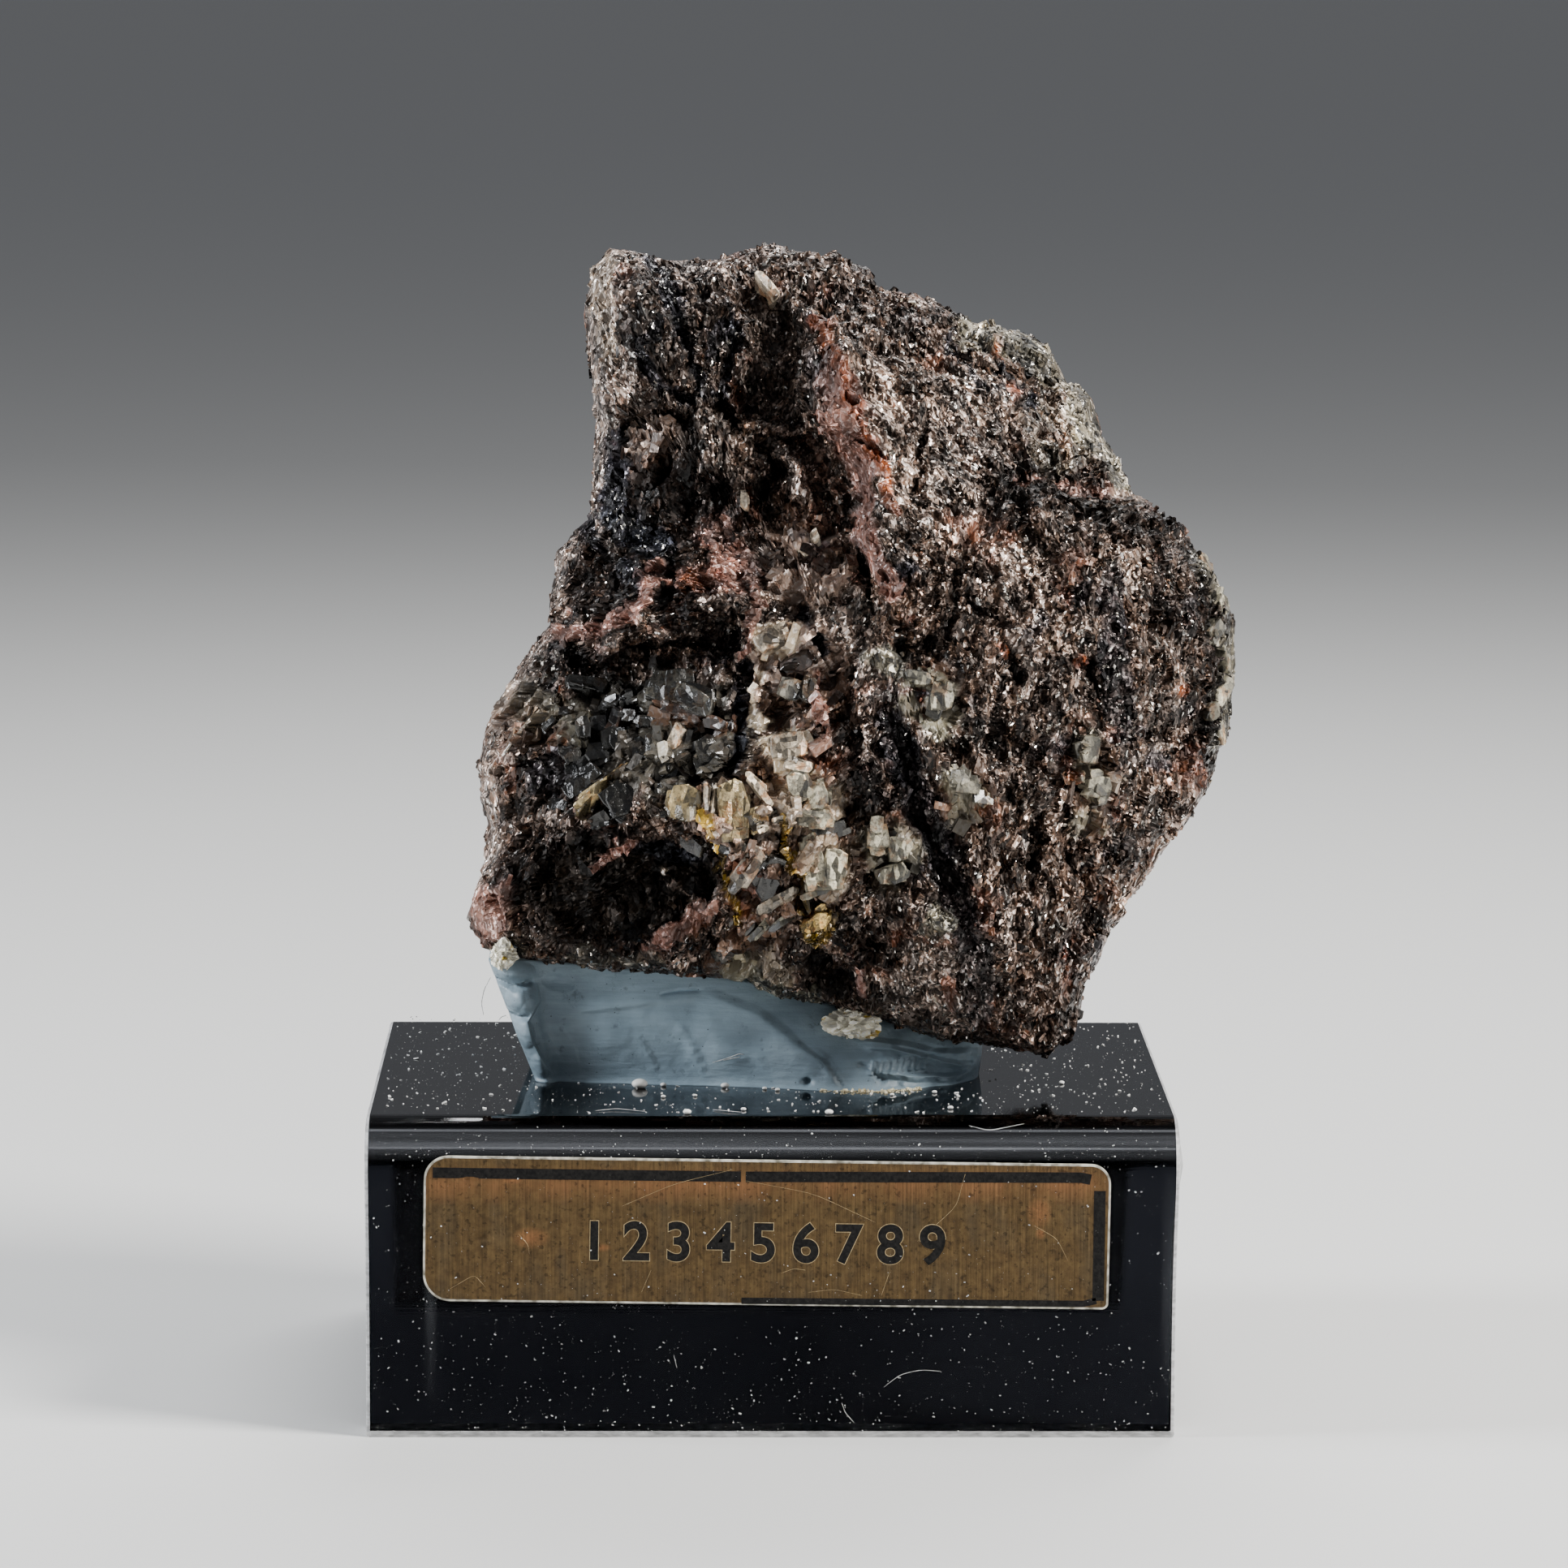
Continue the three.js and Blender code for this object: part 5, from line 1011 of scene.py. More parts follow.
def oreMaterial():
    # colour attributes give the tone and finish; long cells of two sizes make flakes of different
    # brightness whose faces point different ways
    material, tree, shader = newMaterial("granularOre")
    finishNode = addNode(tree, "Attribute", attribute_name="finish")
    plain = inMillimetres(tree)
    warp = addNode(tree, "TexNoise", {"Vector": plain, "Scale": 1.4, "Detail": 3}).outputs["Color"]
    warped = vectorMaths(tree, "ADD", plain, vectorMaths(tree, "SCALE", warp, scale=0.7))
    place = grainPlace(tree, warped, finishNode.outputs["Alpha"])
    grain = addNode(tree, "TexVoronoi", {"Vector": place, "Scale": 1.5}).outputs["Color"]
    fleck = addNode(tree, "TexVoronoi", {"Vector": place, "Scale": 6.2}).outputs["Color"]
    grainParts = addNode(tree, "SeparateColor", {0: grain})
    fleckParts = addNode(tree, "SeparateColor", {0: fleck})
    tone = addNode(tree, "Attribute", attribute_name="tone").outputs["Color"]
    metallic, roughness, contrast = addNode(tree, "SeparateColor", {0: finishNode.outputs[0]}).outputs
    # flecks and grains differ in brightness at random; the brightest flecks, lifted to 3.6 times their tone
    # and paled by the saturation ramp, are painted glints
    fleckToneAndGlint = greyRamp(tree, fleckParts.outputs[0], (0.0, 0.06), (0.45, 0.45), (0.8, 1.15), (1.0, 3.6))
    grainLight = greyRamp(tree, grainParts.outputs[1], (0.0, 0.18), (0.5, 0.8), (1.0, 2.15))
    light = multiplied(tree, fleckToneAndGlint, grainLight)
    light = mixColour(tree, contrast, (1, 1, 1, 1), light)
    glint = greyRamp(tree, maths(tree, "MULTIPLY", fleckParts.outputs[1], contrast), (0.93, 0), (0.95, 1))
    saturation = greyRamp(tree, fleckParts.outputs[0], (0.5, 1.22), (1.0, 0.6))
    paled = addNode(tree, "HueSaturation", {"Color": tone, "Saturation": saturation}).outputs[0]
    colour = multiplied(tree, paled, light)
    tree.links.new(mixColour(tree, glint, colour, (0.80, 0.76, 0.70, 1)), shader.inputs["Base Color"])
    shine = maths(tree, "MULTIPLY", metallic, maths(tree, "ADD", grainParts.outputs[2], 0.6), clamp=True)
    tree.links.new(maths(tree, "MAXIMUM", shine, glint), shader.inputs["Metallic"])
    matt = maths(tree, "MULTIPLY", roughness, maths(tree, "ADD", fleckParts.outputs[2], 0.5), clamp=True)
    tree.links.new(addNode(tree, "Mix", {0: glint, 2: matt, 3: 0.22}).outputs[0], shader.inputs["Roughness"])
    normal = addNode(tree, "NewGeometry").outputs["Normal"]
    half = (0.5, 0.5, 0.5)
    grainTilt = vectorMaths(tree, "SCALE", vectorMaths(tree, "SUBTRACT", grain, half), scale=0.65)
    fleckTilt = vectorMaths(tree, "SCALE", vectorMaths(tree, "SUBTRACT", fleck, half), scale=0.75)
    both = vectorMaths(tree, "ADD", grainTilt, fleckTilt)
    tilt = vectorMaths(tree, "SCALE", both, scale=contrast)
    facet = vectorMaths(tree, "NORMALIZE", vectorMaths(tree, "ADD", normal, tilt))
    tree.links.new(facet, shader.inputs["Normal"])
    return material


def finishPiece(piece, finish):
    paint(piece, "tone", finish[:, :3])
    paint(piece, "finish", finish[:, 3:])


# Grains: small broken boxes set into the rock's surface, tilted every way.
boxCorners = np.array([(x, y, z) for x in (-1, 1) for y in (-1, 1) for z in (-1, 1)], float)
boxFaces = np.array([(0, 1, 3), (0, 3, 2), (4, 6, 7), (4, 7, 5), (0, 4, 5), (0, 5, 1), (2, 3, 7), (2, 7, 6),
                     (0, 2, 6), (0, 6, 4), (1, 5, 7), (1, 7, 3)])

grains = {
    "frontGrains": {"count": 9000, "small": 0.09, "large": 0.32, "tilt": 0.7, "spread": 0.55, "seed": 21,
                    "where": "front"},
    "backGrains": {"count": 11000, "small": 0.08, "large": 0.30, "tilt": 0.8, "spread": 0.6, "seed": 22,
                   "where": "back"},
    "shards": {"count": 650, "small": 0.12, "large": 0.60, "tilt": 0.4, "spread": 0.6, "seed": 23,
               "where": "blocky"},
}


def turnedAxes(normals, dice, tilt, along):
    # three axes for each normal: the third leans away from it by up to the tilt, the first is near `along`
    third = unit(normals + tilt * dice.uniform(-1, 1, normals.shape))
    second = unit(np.cross(third, along))
    return np.stack([np.cross(second, third), second, third], 1)


def brokenBoxes(centres, axes, halfSizes, dice, chipping=0.28):
    # eight corners for each box, each pushed in at random
    corners = boxCorners[None] * (1 - chipping * dice.random((len(centres), 8, 3)))
    places = np.einsum("nkc,nci->nki", corners * halfSizes[:, None], axes) + centres[:, None]
    faces = boxFaces[None] + 8 * np.arange(len(centres))[:, None, None]
    return places.reshape(-1, 3), faces.reshape(-1, 3)


frontFacing = 0.25  # a place whose normal has less y than this belongs to the front
grainPower = 2.2  # the higher, the fewer large grains


def makeGrains(name):
    triangles, finish = surface["triangles"], surface["finish"]
    first = triangles[:, 0]
    dims = grains[name]
    dice = np.random.default_rng(dims["seed"])
    middle = surface["places"][triangles].mean(1)
    facing = surface["normals"][first]
    chance = np.linalg.norm(triangleNormals(surface["places"], triangles), axis=1) * surface["calmRim"][first]
    if dims["where"] == "blocky":
        chance *= surface["blocky"][first]
    else:
        isFront = facing[:, 1] < frontFacing
        chance *= isFront if dims["where"] == "front" else ~isFront
        chance *= finish[first, 5] ** 2 * (1 - 0.8 * surface["blocky"][first])
    picked = dice.choice(len(triangles), dims["count"], p=chance / chance.sum())
    size = dims["small"] + (dims["large"] - dims["small"]) * dice.random(dims["count"]) ** grainPower
    halfSizes = size[:, None] * np.stack([dice.uniform(1.0, 1.7, dims["count"]),
                                          dice.uniform(0.5, 0.9, dims["count"]),
                                          dice.uniform(0.3, 0.7, dims["count"])], 1)
    direction = finish[first[picked], 6]
    along = np.stack([np.cos(direction), 0 * direction, np.sin(direction)], 1)
    axes = turnedAxes(facing[picked], dice, dims["tilt"], along + 0.45 * dice.normal(size=along.shape))
    centres = middle[picked] + facing[picked] * (size * dice.uniform(-0.5, 0.2, dims["count"]))[:, None]
    grainPlaces, faces = brokenBoxes(centres, axes, halfSizes, dice)
    piece = newMesh(name, standRock(grainPlaces), faces, smooth=False)
    own = finish[first[picked]].copy()
    own[:, :3] *= dice.lognormal(0.05, dims["spread"], (dims["count"], 1))
    own[:, 3] = (own[:, 3] * dice.uniform(0.6, 1.5, dims["count"])).clip(0, 1)
    finishPiece(piece, np.repeat(own, 8, axis=0))
    return piece


# Blocks: cleavage crystals and plates that stand out of the rock in steps.
# tone, brightness, right, up, half length, half width, turn, how far it stands out, lean right and up
blocks = [
    ("cleavage", 0.28, -17.6, -2.6, 1.35, 0.45, -4, 0.5, 0.0, 0.3),
    ("cleavage", 0.31, -18.9, -4.3, 0.5, 0.35, 0, 0.5, 0.2, 0.2),
    ("cleavage", 0.31, -19.7, -5.0, 0.6, 0.35, 30, 0.5, 0.2, 0.2),
    ("cleavage", 0.14, -16.9, -4.8, 0.55, 0.5, 0, 0.3, 0.0, 0.0),
    ("cleavage", 0.21, -17.9, -5.2, 0.45, 0.7, 10, 0.5, 0.2, 0.1),
    ("cleavage", 0.28, -18.6, -6.6, 0.6, 0.5, 20, 0.6, 0.2, 0.2),
    ("amber", 0.3, -15.7, -4.7, 0.45, 1.0, -20, 0.4, 0.3, 0.2),
    ("cleavage", 0.19, -15.8, -5.9, 0.85, 0.75, 15, 0.7, 0.1, 0.2),
    ("cleavage", 0.17, -17.6, -8.3, 1.5, 0.65, 26, 0.7, 0.3, 0.0),
    ("honey", 1.1, -16.4, -9.3, 2.1, 0.28, 43, 0.9, -0.2, 0.5),
    ("cleavage", 0.2, -16.6, -6.7, 1.1, 0.85, 20, 0.5, 0.1, 0.1),
    ("cleavage", 0.3, -14.6, -6.1, 0.5, 0.55, 0, 0.6, 0.1, 0.2),
    ("cleavage", 0.25, -13.9, -7.7, 0.45, 1.0, 10, 0.5, 0.2, 0.1),
    ("cleavage", 0.75, -11.0, -3.2, 1.9, 0.95, -20, 0.8, 0.1, 0.15),
    ("cleavage", 0.3, -12.6, -8.1, 0.9, 0.5, -6, 0.5, 0.1, 0.0),
    ("cleavage", 0.2, -17.9, -7.4, 0.8, 0.5, 30, 0.4, 0.2, 0.1),
    ("cleavage", 0.3, -16.0, -3.6, 0.8, 0.5, -10, 0.4, 0.0, 0.2),
    ("cleavage", 0.2, -15.0, -9.6, 1.4, 1.15, 30, 0.5, 0.2, -0.1),
    ("cleavage", 0.25, -16.6, -10.8, 0.8, 0.5, 30, 0.6, 0.1, 0.1),
    ("cleavage", 0.29, -19.2, -10.2, 0.7, 0.4, -25, 0.5, 0.1, 0.2),
    ("cleavage", 0.31, -14.8, -4.4, 0.5, 0.4, -10, 0.5, 0.0, 0.2),
    ("cleavage", 0.26, -14.8, -5.4, 0.35, 0.35, 20, 0.4, 0.0, 0.2),
    ("cleavage", 0.21, -14.9, -3.3, 0.4, 0.5, 0, 0.4, 0.2, 0.2),
    ("cleavage", 0.6, -12.4, -2.7, 1.5, 1.15, -8, 0.8, 0.1, 0.1),
    ("cleavage", 0.94, -10.5, -3.4, 1.35, 0.75, -38, 0.9, 0.2, 0.1),
    ("amber", 0.94, -11.5, -4.2, 1.6, 0.35, -14, 0.7, 0.0, 0.3),
    ("cleavage", 0.65, -13.7, -4.7, 0.75, 0.4, -5, 0.5, 0.0, 0.2),
    ("cleavage", 0.35, -14.2, -6.5, 0.45, 1.1, 8, 0.7, 0.1, 0.2),
    ("cleavage", 1.02, -13.0, -6.5, 0.65, 1.2, 12, 0.6, 0.0, 0.1),
    ("cream", 1.0, -11.6, -6.3, 0.42, 1.4, -12, 0.8, -0.1, 0.1),
    ("cleavage", 0.49, -9.9, -6.7, 0.85, 0.95, 20, 0.7, 0.4, -0.1),
    ("cleavage", 1.02, -8.9, -6.7, 0.45, 0.7, -20, 0.6, -0.1, 0.1),
    ("amber", 0.68, -9.1, -4.9, 0.9, 0.45, -20, 0.6, 0.0, 0.0),
    ("cleavage", 0.19, -14.5, -8.2, 0.55, 0.95, -20, 0.5, 0.3, 0.0),
    ("cleavage", 0.27, -12.6, -9.7, 0.5, 1.0, 0, 0.3, 0.0, 0.0),
    ("honey", 0.9, -11.1, -9.9, 1.15, 1.4, -4, 0.9, 0.0, 0.05),
    ("cream", 0.8, -9.9, -10.0, 0.2, 1.25, 6, 0.8, 0.2, 0.0),
    ("cream", 0.7, -9.4, -10.0, 0.16, 1.3, 2, 0.7, -0.2, 0.0),
    ("honey", 0.9, -8.3, -10.4, 0.95, 1.6, 6, 0.7, -0.05, 0.15),
    ("honey", 1.0, -7.1, -11.0, 0.9, 0.8, 20, 0.7, 0.0, 0.1),
    ("cream", 1.5, -6.5, -11.5, 0.4, 0.32, 20, 0.9, 0.0, 0.0),
    ("cream", 1.4, -5.4, -10.9, 0.5, 0.22, 25, 0.9, 0.0, 0.2),
    ("cream", 1.4, -6.7, -9.2, 1.3, 0.28, -54, 1.0, 0.1, 0.1),
    ("cleavage", 2.4, -5.4, -10.6, 0.7, 0.4, 20, 0.7, 0.0, 0.2),
    ("crust", 2.4, -3.9, -8.6, 0.7, 1.1, 12, 0.7, 0.1, 0.1),
    ("crust", 2.0, -2.8, -9.3, 0.7, 1.0, 4, 0.6, 0.1, 0.1),
    ("crust", 1.9, -3.0, -10.8, 1.3, 0.8, 5, 0.5, 0.0, 0.1),
    ("cleavage", 0.8, -2.0, -11.6, 1.1, 0.5, 10, 0.5, 0.0, 0.2),
    ("cream", 1.0, -4.8, -6.3, 1.2, 0.7, 12, 0.6, 0.1, 0.2),
    ("cream", 1.2, -4.1, -7.4, 0.9, 0.5, -8, 0.6, 0.0, 0.1),
    ("cleavage", 2.0, -4.6, -2.5, 0.7, 0.85, -6, 0.5, 0.1, 0.2),
    ("cleavage", 1.3, -3.5, -2.6, 0.4, 1.0, -10, 0.4, 0.2, 0.1),
    # a dark plate laid in the dark recess of the middle: painted shade
    ("darkOre", 0.9, -4.1, -0.75, 1.15, 0.5, 16, 0.4, 0.0, -0.4),
    ("cream", 0.72, -5.7, 0.7, 1.2, 0.55, 14, 0.5, 0.0, 0.3),
    ("crust", 2.5, -3.3, -13.5, 0.75, 1.5, 8, 0.7, 0.0, 0.2),
    ("crust", 3.0, -2.0, -14.0, 0.8, 1.3, -4, 0.9, 0.1, 0.2),
    ("crust", 2.0, -2.8, -15.2, 1.1, 0.45, 12, 0.6, 0.0, 0.2),
    ("crust", 1.9, 0.9, -12.1, 0.75, 1.25, 6, 0.7, 0.0, 0.2),
    ("crust", 1.7, 2.2, -12.8, 0.75, 1.0, -10, 0.8, 0.1, 0.2),
    ("crust", 1.6, 1.9, -14.2, 1.2, 0.6, 8, 0.6, 0.1, 0.1),
    ("cream", 0.64, -7.3, -13.8, 1.6, 0.7, 52, 0.7, 0.3, 0.2),
    ("cleavage", 0.45, -6.0, -14.4, 1.5, 0.75, 56, 0.6, -0.1, -0.2),
    ("cleavage", 0.34, -8.3, -12.6, 0.9, 0.45, 18, 0.5, 0.0, 0.0),
    ("cream", 0.56, -5.4, -16.1, 1.5, 0.3, 36, 0.5, 0.0, 0.4),
    ("crust", 0.9, -4.9, -17.2, 1.3, 0.3, 32, 0.5, 0.0, 0.4),
    ("crust", 0.9, -6.2, -17.6, 1.2, 0.35, 38, 0.5, 0.1, 0.3),
    ("cleavage", 1.19, -8.6, -19.1, 1.0, 0.6, 34, 0.5, 0.0, 0.2),
    ("crust", 1.2, 14.3, -6.4, 0.7, 0.9, 4, 0.4, 0.0, 0.1),
    ("crust", 1.4, 14.9, -8.7, 0.8, 0.9, -4, 0.5, 0.1, 0.0),
    ("crust", 0.8, 6.4, -8.6, 0.9, 0.7, -12, 0.5, 0.0, 0.1),
    ("crust", 0.8, 7.5, -9.4, 0.8, 0.6, -20, 0.5, 0.1, 0.1),
    ("crust", 1.0, 21.8, 5.4, 0.7, 0.8, 20, 0.5, 0.3, 0.1),
    ("crust", 1.3, 22.7, 3.0, 0.6, 0.9, -10, 0.6, 0.4, 0.0),
    ("crust", 0.6, 22.4, 1.2, 0.8, 0.6, 15, 0.5, 0.3, 0.0),
    ("crust", 1.3, 22.9, -0.5, 0.5, 0.8, 5, 0.6, 0.4, 0.0),
    ("crust", 1.6, 22.8, -2.6, 0.6, 1.0, -8, 0.6, 0.4, 0.0),
    ("crust", 0.8, 22.2, -3.9, 0.7, 0.5, 10, 0.5, 0.3, 0.0),
    ("crust", 1.4, 22.7, -5.2, 0.6, 0.9, 8, 0.5, 0.4, 0.0),
    ("crust", 1.2, 5.0, -3.0, 0.8, 1.3, -12, 0.35, 0.0, 0.0),
    ("crust", 1.2, 3.5, -1.8, 1.0, 0.5, -10, 0.35, 0.0, 0.1),
    ("cream", 0.88, -6.0, 22.9, 1.1, 0.32, -66, 0.8, 0.1, 0.3),
    ("cream", 1.0, 3.0, 21.8, 0.6, 0.14, -14, 0.4, 0.0, 0.4),
    ("cream", 1.0, -3.0, 6.9, 0.3, 0.7, 10, 0.5, 0.0, 0.3),
    ("cream", 1.1, -3.8, 5.9, 0.24, 0.5, 30, 0.5, 0.2, 0.3),
    ("cream", 0.88, -7.45, 9.4, 0.26, 0.55, 2, 0.5, 0.0, 0.2),
    ("cream", 0.8, -21.2, -5.3, 0.7, 0.35, 62, 0.4, 0.1, 0.2),
    ("cream", 0.7, -22.2, -6.2, 0.9, 0.35, 60, 0.4, 0.1, 0.2),
    ("cleavage", 0.65, -10.7, -12.3, 0.9, 0.6, -6, 0.4, 0.1, 0.1),
    ("brass", 1.4, -2.9, -17.2, 0.9, 0.8, 12, 0.5, 0.1, 0.3),
    ("brass", 1.0, -3.6, -16.0, 0.25, 0.9, 10, 0.4, 0.1, 0.3),
]


def plateTemplate(corners):
    # rows of a closed plate from its bottom middle to its top middle: how high, and how far out
    rows = [(-1.0, 0.9), (0.88, 1.0), (1.0, 0.93)]
    index = ringNumbers(len(rows), corners)
    after = np.roll(index, -1, axis=1)
    quads = turnedQuads(index)
    bottom, top = index.size, index.size + 1
    caps = np.vstack([np.stack([after[0], index[0], np.full(corners, bottom)], 1),
                      np.stack([index[-1], after[-1], np.full(corners, top)], 1)])
    return rows, np.vstack([quads[:, :3], quads[:, [0, 2, 3]], caps])


def brokenPlates(centres, axes, halfSizes, squareness, dice, corners=8):
    # each plate's outline is a superellipse, |x|^p + |y|^p = 1, with corners at random angles and depths
    rows, template = plateTemplate(corners)
    count = len(centres)
    turns = 2 * np.pi * (np.arange(corners) + dice.uniform(-0.22, 0.22, (count, corners))) / corners
    c, s = np.cos(turns), np.sin(turns)
    power = squareness[:, None]
    reach = (abs(c) ** power + abs(s) ** power) ** (-1 / power) * dice.uniform(0.88, 1.04, (count, corners))
    x, y = reach * c, reach * s
    slope = dice.uniform(-0.25, 0.25, (2, count, 1))
    rings = [np.stack([out * x, out * y, up + (up > 0) * (slope[0] * x + slope[1] * y)], 2)
             for up, out in rows]
    ends = [np.tile((0.0, 0.0, up), (count, 1, 1)) for up in (-1.0, 1.02)]
    local = np.concatenate(rings + ends, axis=1)
    places = np.einsum("nkc,nci->nki", local * halfSizes[:, None], axes) + centres[:, None]
    faces = template[None] + local.shape[1] * np.arange(count)[:, None, None]
    return places.reshape(-1, 3), faces.reshape(-1, 3), local.shape[1]


blockLayers = 4
feelers = 0.9 * np.array([(0, 1, -1, 0, 0), (0, 0, 0, 1, -1)])  # right, up: the rock is felt round each block
baseLights, stepLights = (1.0, 1.3), (0.25, 0.7, 1.0, 1.3)  # brightness of the lowest plate and of the others
# how square the plates are
squareTones = {"crust": 6.0, "cleavage": 6.0, "amber": 5.0, "honey": 7.0, "cream": 5.0}


def makeBlocks():
    # each block is a thick plate with smaller ones stepped on and round it
    dice = np.random.default_rng(41)
    centres, axes, halfSizes, squareness, finish = [], [], [], [], []
    for tone, brightness, right, up, length, width, turn, out, leanRight, leanUp in blocks:
        around = frontAt(right + feelers[0], up + feelers[1])
        normal = unit(np.cross(around[1] - around[2], around[3] - around[4]))
        third = unit(0.75 * normal + np.array([0, -0.45, 0]) + np.array([leanRight, 0, leanUp]))
        angle = math.radians(turn)
        first = np.array([math.cos(angle), 0, math.sin(angle)])
        first = unit(first - third * (first @ third))
        frameAxes = np.stack([first, np.cross(third, first), third])
        colour, *rest = tones[tone]
        for layer in range(blockLayers):
            shrink = dice.uniform(0.9, 1.1) if layer == 0 else dice.uniform(0.35, 0.85)
            slide = dice.uniform(-1, 1, 2) * (1.3 - shrink) * (layer > 0)
            thick = 0.9 if layer == 0 else 0.45
            top = 1.1 * out + (0 if layer == 0 else dice.uniform(-0.3, 0.12))
            tilted = unit(third + dice.uniform(-0.16, 0.16, 3))
            second = unit(np.cross(tilted, first + dice.uniform(-0.25, 0.25, 3)))
            centres.append(around.mean(0) + first * slide[0] * length + frameAxes[1] * slide[1] * width
                           + third * (top - thick))
            axes.append((np.cross(second, tilted), second, tilted))
            halfSizes.append((length * shrink, width * shrink * dice.uniform(0.7, 1.15), thick))
            squareness.append(squareTones.get(tone, 2.2))
            light = dice.choice(baseLights if layer == 0 else stepLights)
            finish.append(np.array([*(np.array(colour) * brightness * light), *rest]))
    parts = map(np.array, (centres, axes, halfSizes, squareness))
    places, faces, corners = brokenPlates(*parts, dice)
    piece = newMesh("crystalBlocks", standRock(places), faces, smooth=False)
    finishPiece(piece, np.repeat(np.array(finish), corners, axis=0))
    return piece


def blockMaterial():
    # glassy cleavage faces: cloudy tone, thin veils and parallel steps
    material, tree, shader = newMaterial("glassyCleavage")
    place = inMillimetres(tree)
    cloud = noiseAt(tree, place, 0.9, 5, 0.65)
    speck = noiseAt(tree, place, 6, 3)
    longPlace = stretched(tree, place, (1.6, 1, 0.7), 0.5)
    flakes = addNode(tree, "TexVoronoi", {"Vector": longPlace, "Scale": 1.9}).outputs["Color"]
    tone = addNode(tree, "Attribute", attribute_name="tone").outputs["Color"]
    finishNode = addNode(tree, "Attribute", attribute_name="finish")
    finish = addNode(tree, "SeparateColor", {0: finishNode.outputs[0]})
    facets = addNode(tree, "SeparateColor", {0: flakes})
    shade = multiplied(tree, greyRamp(tree, cloud, (0.3, 0.35), (0.5, 0.95), (0.7, 1.5)),
                       greyRamp(tree, facets.outputs[0], (0.0, 0.25), (0.6, 0.9), (1.0, 1.9)))
    stain = noiseAt(tree, place, 0.7, 4, 0.7)
    tone = mixColour(tree, greyRamp(tree, stain, (0.52, 0), (0.6, 0.75)), tone,
                     multiplied(tree, tone, (0.85, 0.48, 0.25, 1)))
    dirt = greyRamp(tree, speck, (0.35, 0.45), (0.5, 1.0))
    colour = multiplied(tree, multiplied(tree, tone, shade), dirt)
    tree.links.new(colour, shader.inputs["Base Color"])
    tree.links.new(finish.outputs[0], shader.inputs["Metallic"])
    tree.links.new(maths(tree, "MULTIPLY", finish.outputs[1], maths(tree, "ADD", cloud, 0.5), clamp=True),
                   shader.inputs["Roughness"])
    normal = addNode(tree, "NewGeometry").outputs["Normal"]
    tilt = vectorMaths(tree, "SCALE", vectorMaths(tree, "SUBTRACT", flakes, (0.5, 0.5, 0.5)), scale=0.7)
    facet = vectorMaths(tree, "NORMALIZE", vectorMaths(tree, "ADD", normal, tilt))
    addBump(tree, shader, cloud, 0.6, 0.0003, Normal=facet)
    shader.inputs["Coat Weight"].default_value = 0.5
    shader.inputs["Coat Roughness"].default_value = 0.12
    return material


ore = oreMaterial()
surface = makeRock()
rockPiece = newMesh("rock", standRock(surface["places"]), surface["triangles"], smooth=False)
finishPiece(rockPiece, surface["finish"])
dress(rockPiece, [ore], "chalcopyrite")
for grainName in grains:
    dress(makeGrains(grainName), [ore], "chalcopyrite")
dress(makeBlocks(), [blockMaterial()], "chalcopyrite")

# The putty: a wedge whose stations run from left to right.
putty = {
    # foot x, foot y, top x, top y, top z
    "front": np.array([
        (-14.5, 16.8, -17.2, 17.8, 27.0), (-14.9, 15.8, -17.9, 16.6, 27.2),
        (-14.85, 15.0, -17.8, 15.5, 27.4), (-14.5, 14.6, -17.2, 14.8, 27.6),
        (-14.1, 14.45, -16.4, 14.5, 27.6), (-13.75, 14.6, -15.6, 14.7, 27.5),
        (-13.5, 14.95, -15.1, 15.2, 27.4), (-13.1, 15.0, -14.5, 15.5, 27.3),
        (-11.3, 14.4, -12.4, 15.3, 27.1), (-8.3, 14.0, -8.9, 15.2, 26.8), (-5.0, 13.6, -5.0, 15.1, 26.5),
        (0.5, 12.6, -0.4, 15.0, 25.9), (4.2, 11.9, 3.8, 14.8, 24.5), (6.7, 11.7, 8.0, 14.6, 23.4),
        (9.7, 12.8, 10.5, 15.0, 22.7), (12.3, 14.6, 12.4, 16.0, 22.3), (13.3, 16.2, 13.5, 17.0, 22.0),
        (13.5, 18.2, 13.8, 18.6, 21.6),
    ]),
    "stations": 330,
    "frontRows": 84,
    "backRows": 16,  # in each gap between the lines that shape its back
    "swell": 0.45,
    "backTop": 24.5,
    "backFoot": 29,
    "rise": 2.2,  # it reaches up into the rock's hollow underside
    "riseFrom": (-16.5, -12.0),  # x where that starts and where it is full
    "base": 19.7,
    "lip": 0.4,  # the smeared edge along the stand
    "lipReach": 0.22,
    "smoothing": 9,  # its outline is averaged over this many stations on either side
    "swellNoise": (3.2, 0.10),  # size and height
    "wrinkles": (0.8, 0.02, 0.18),  # size, height, and how much higher they are on its right
    "wrinkledFrom": (5.0, 9.0),
}

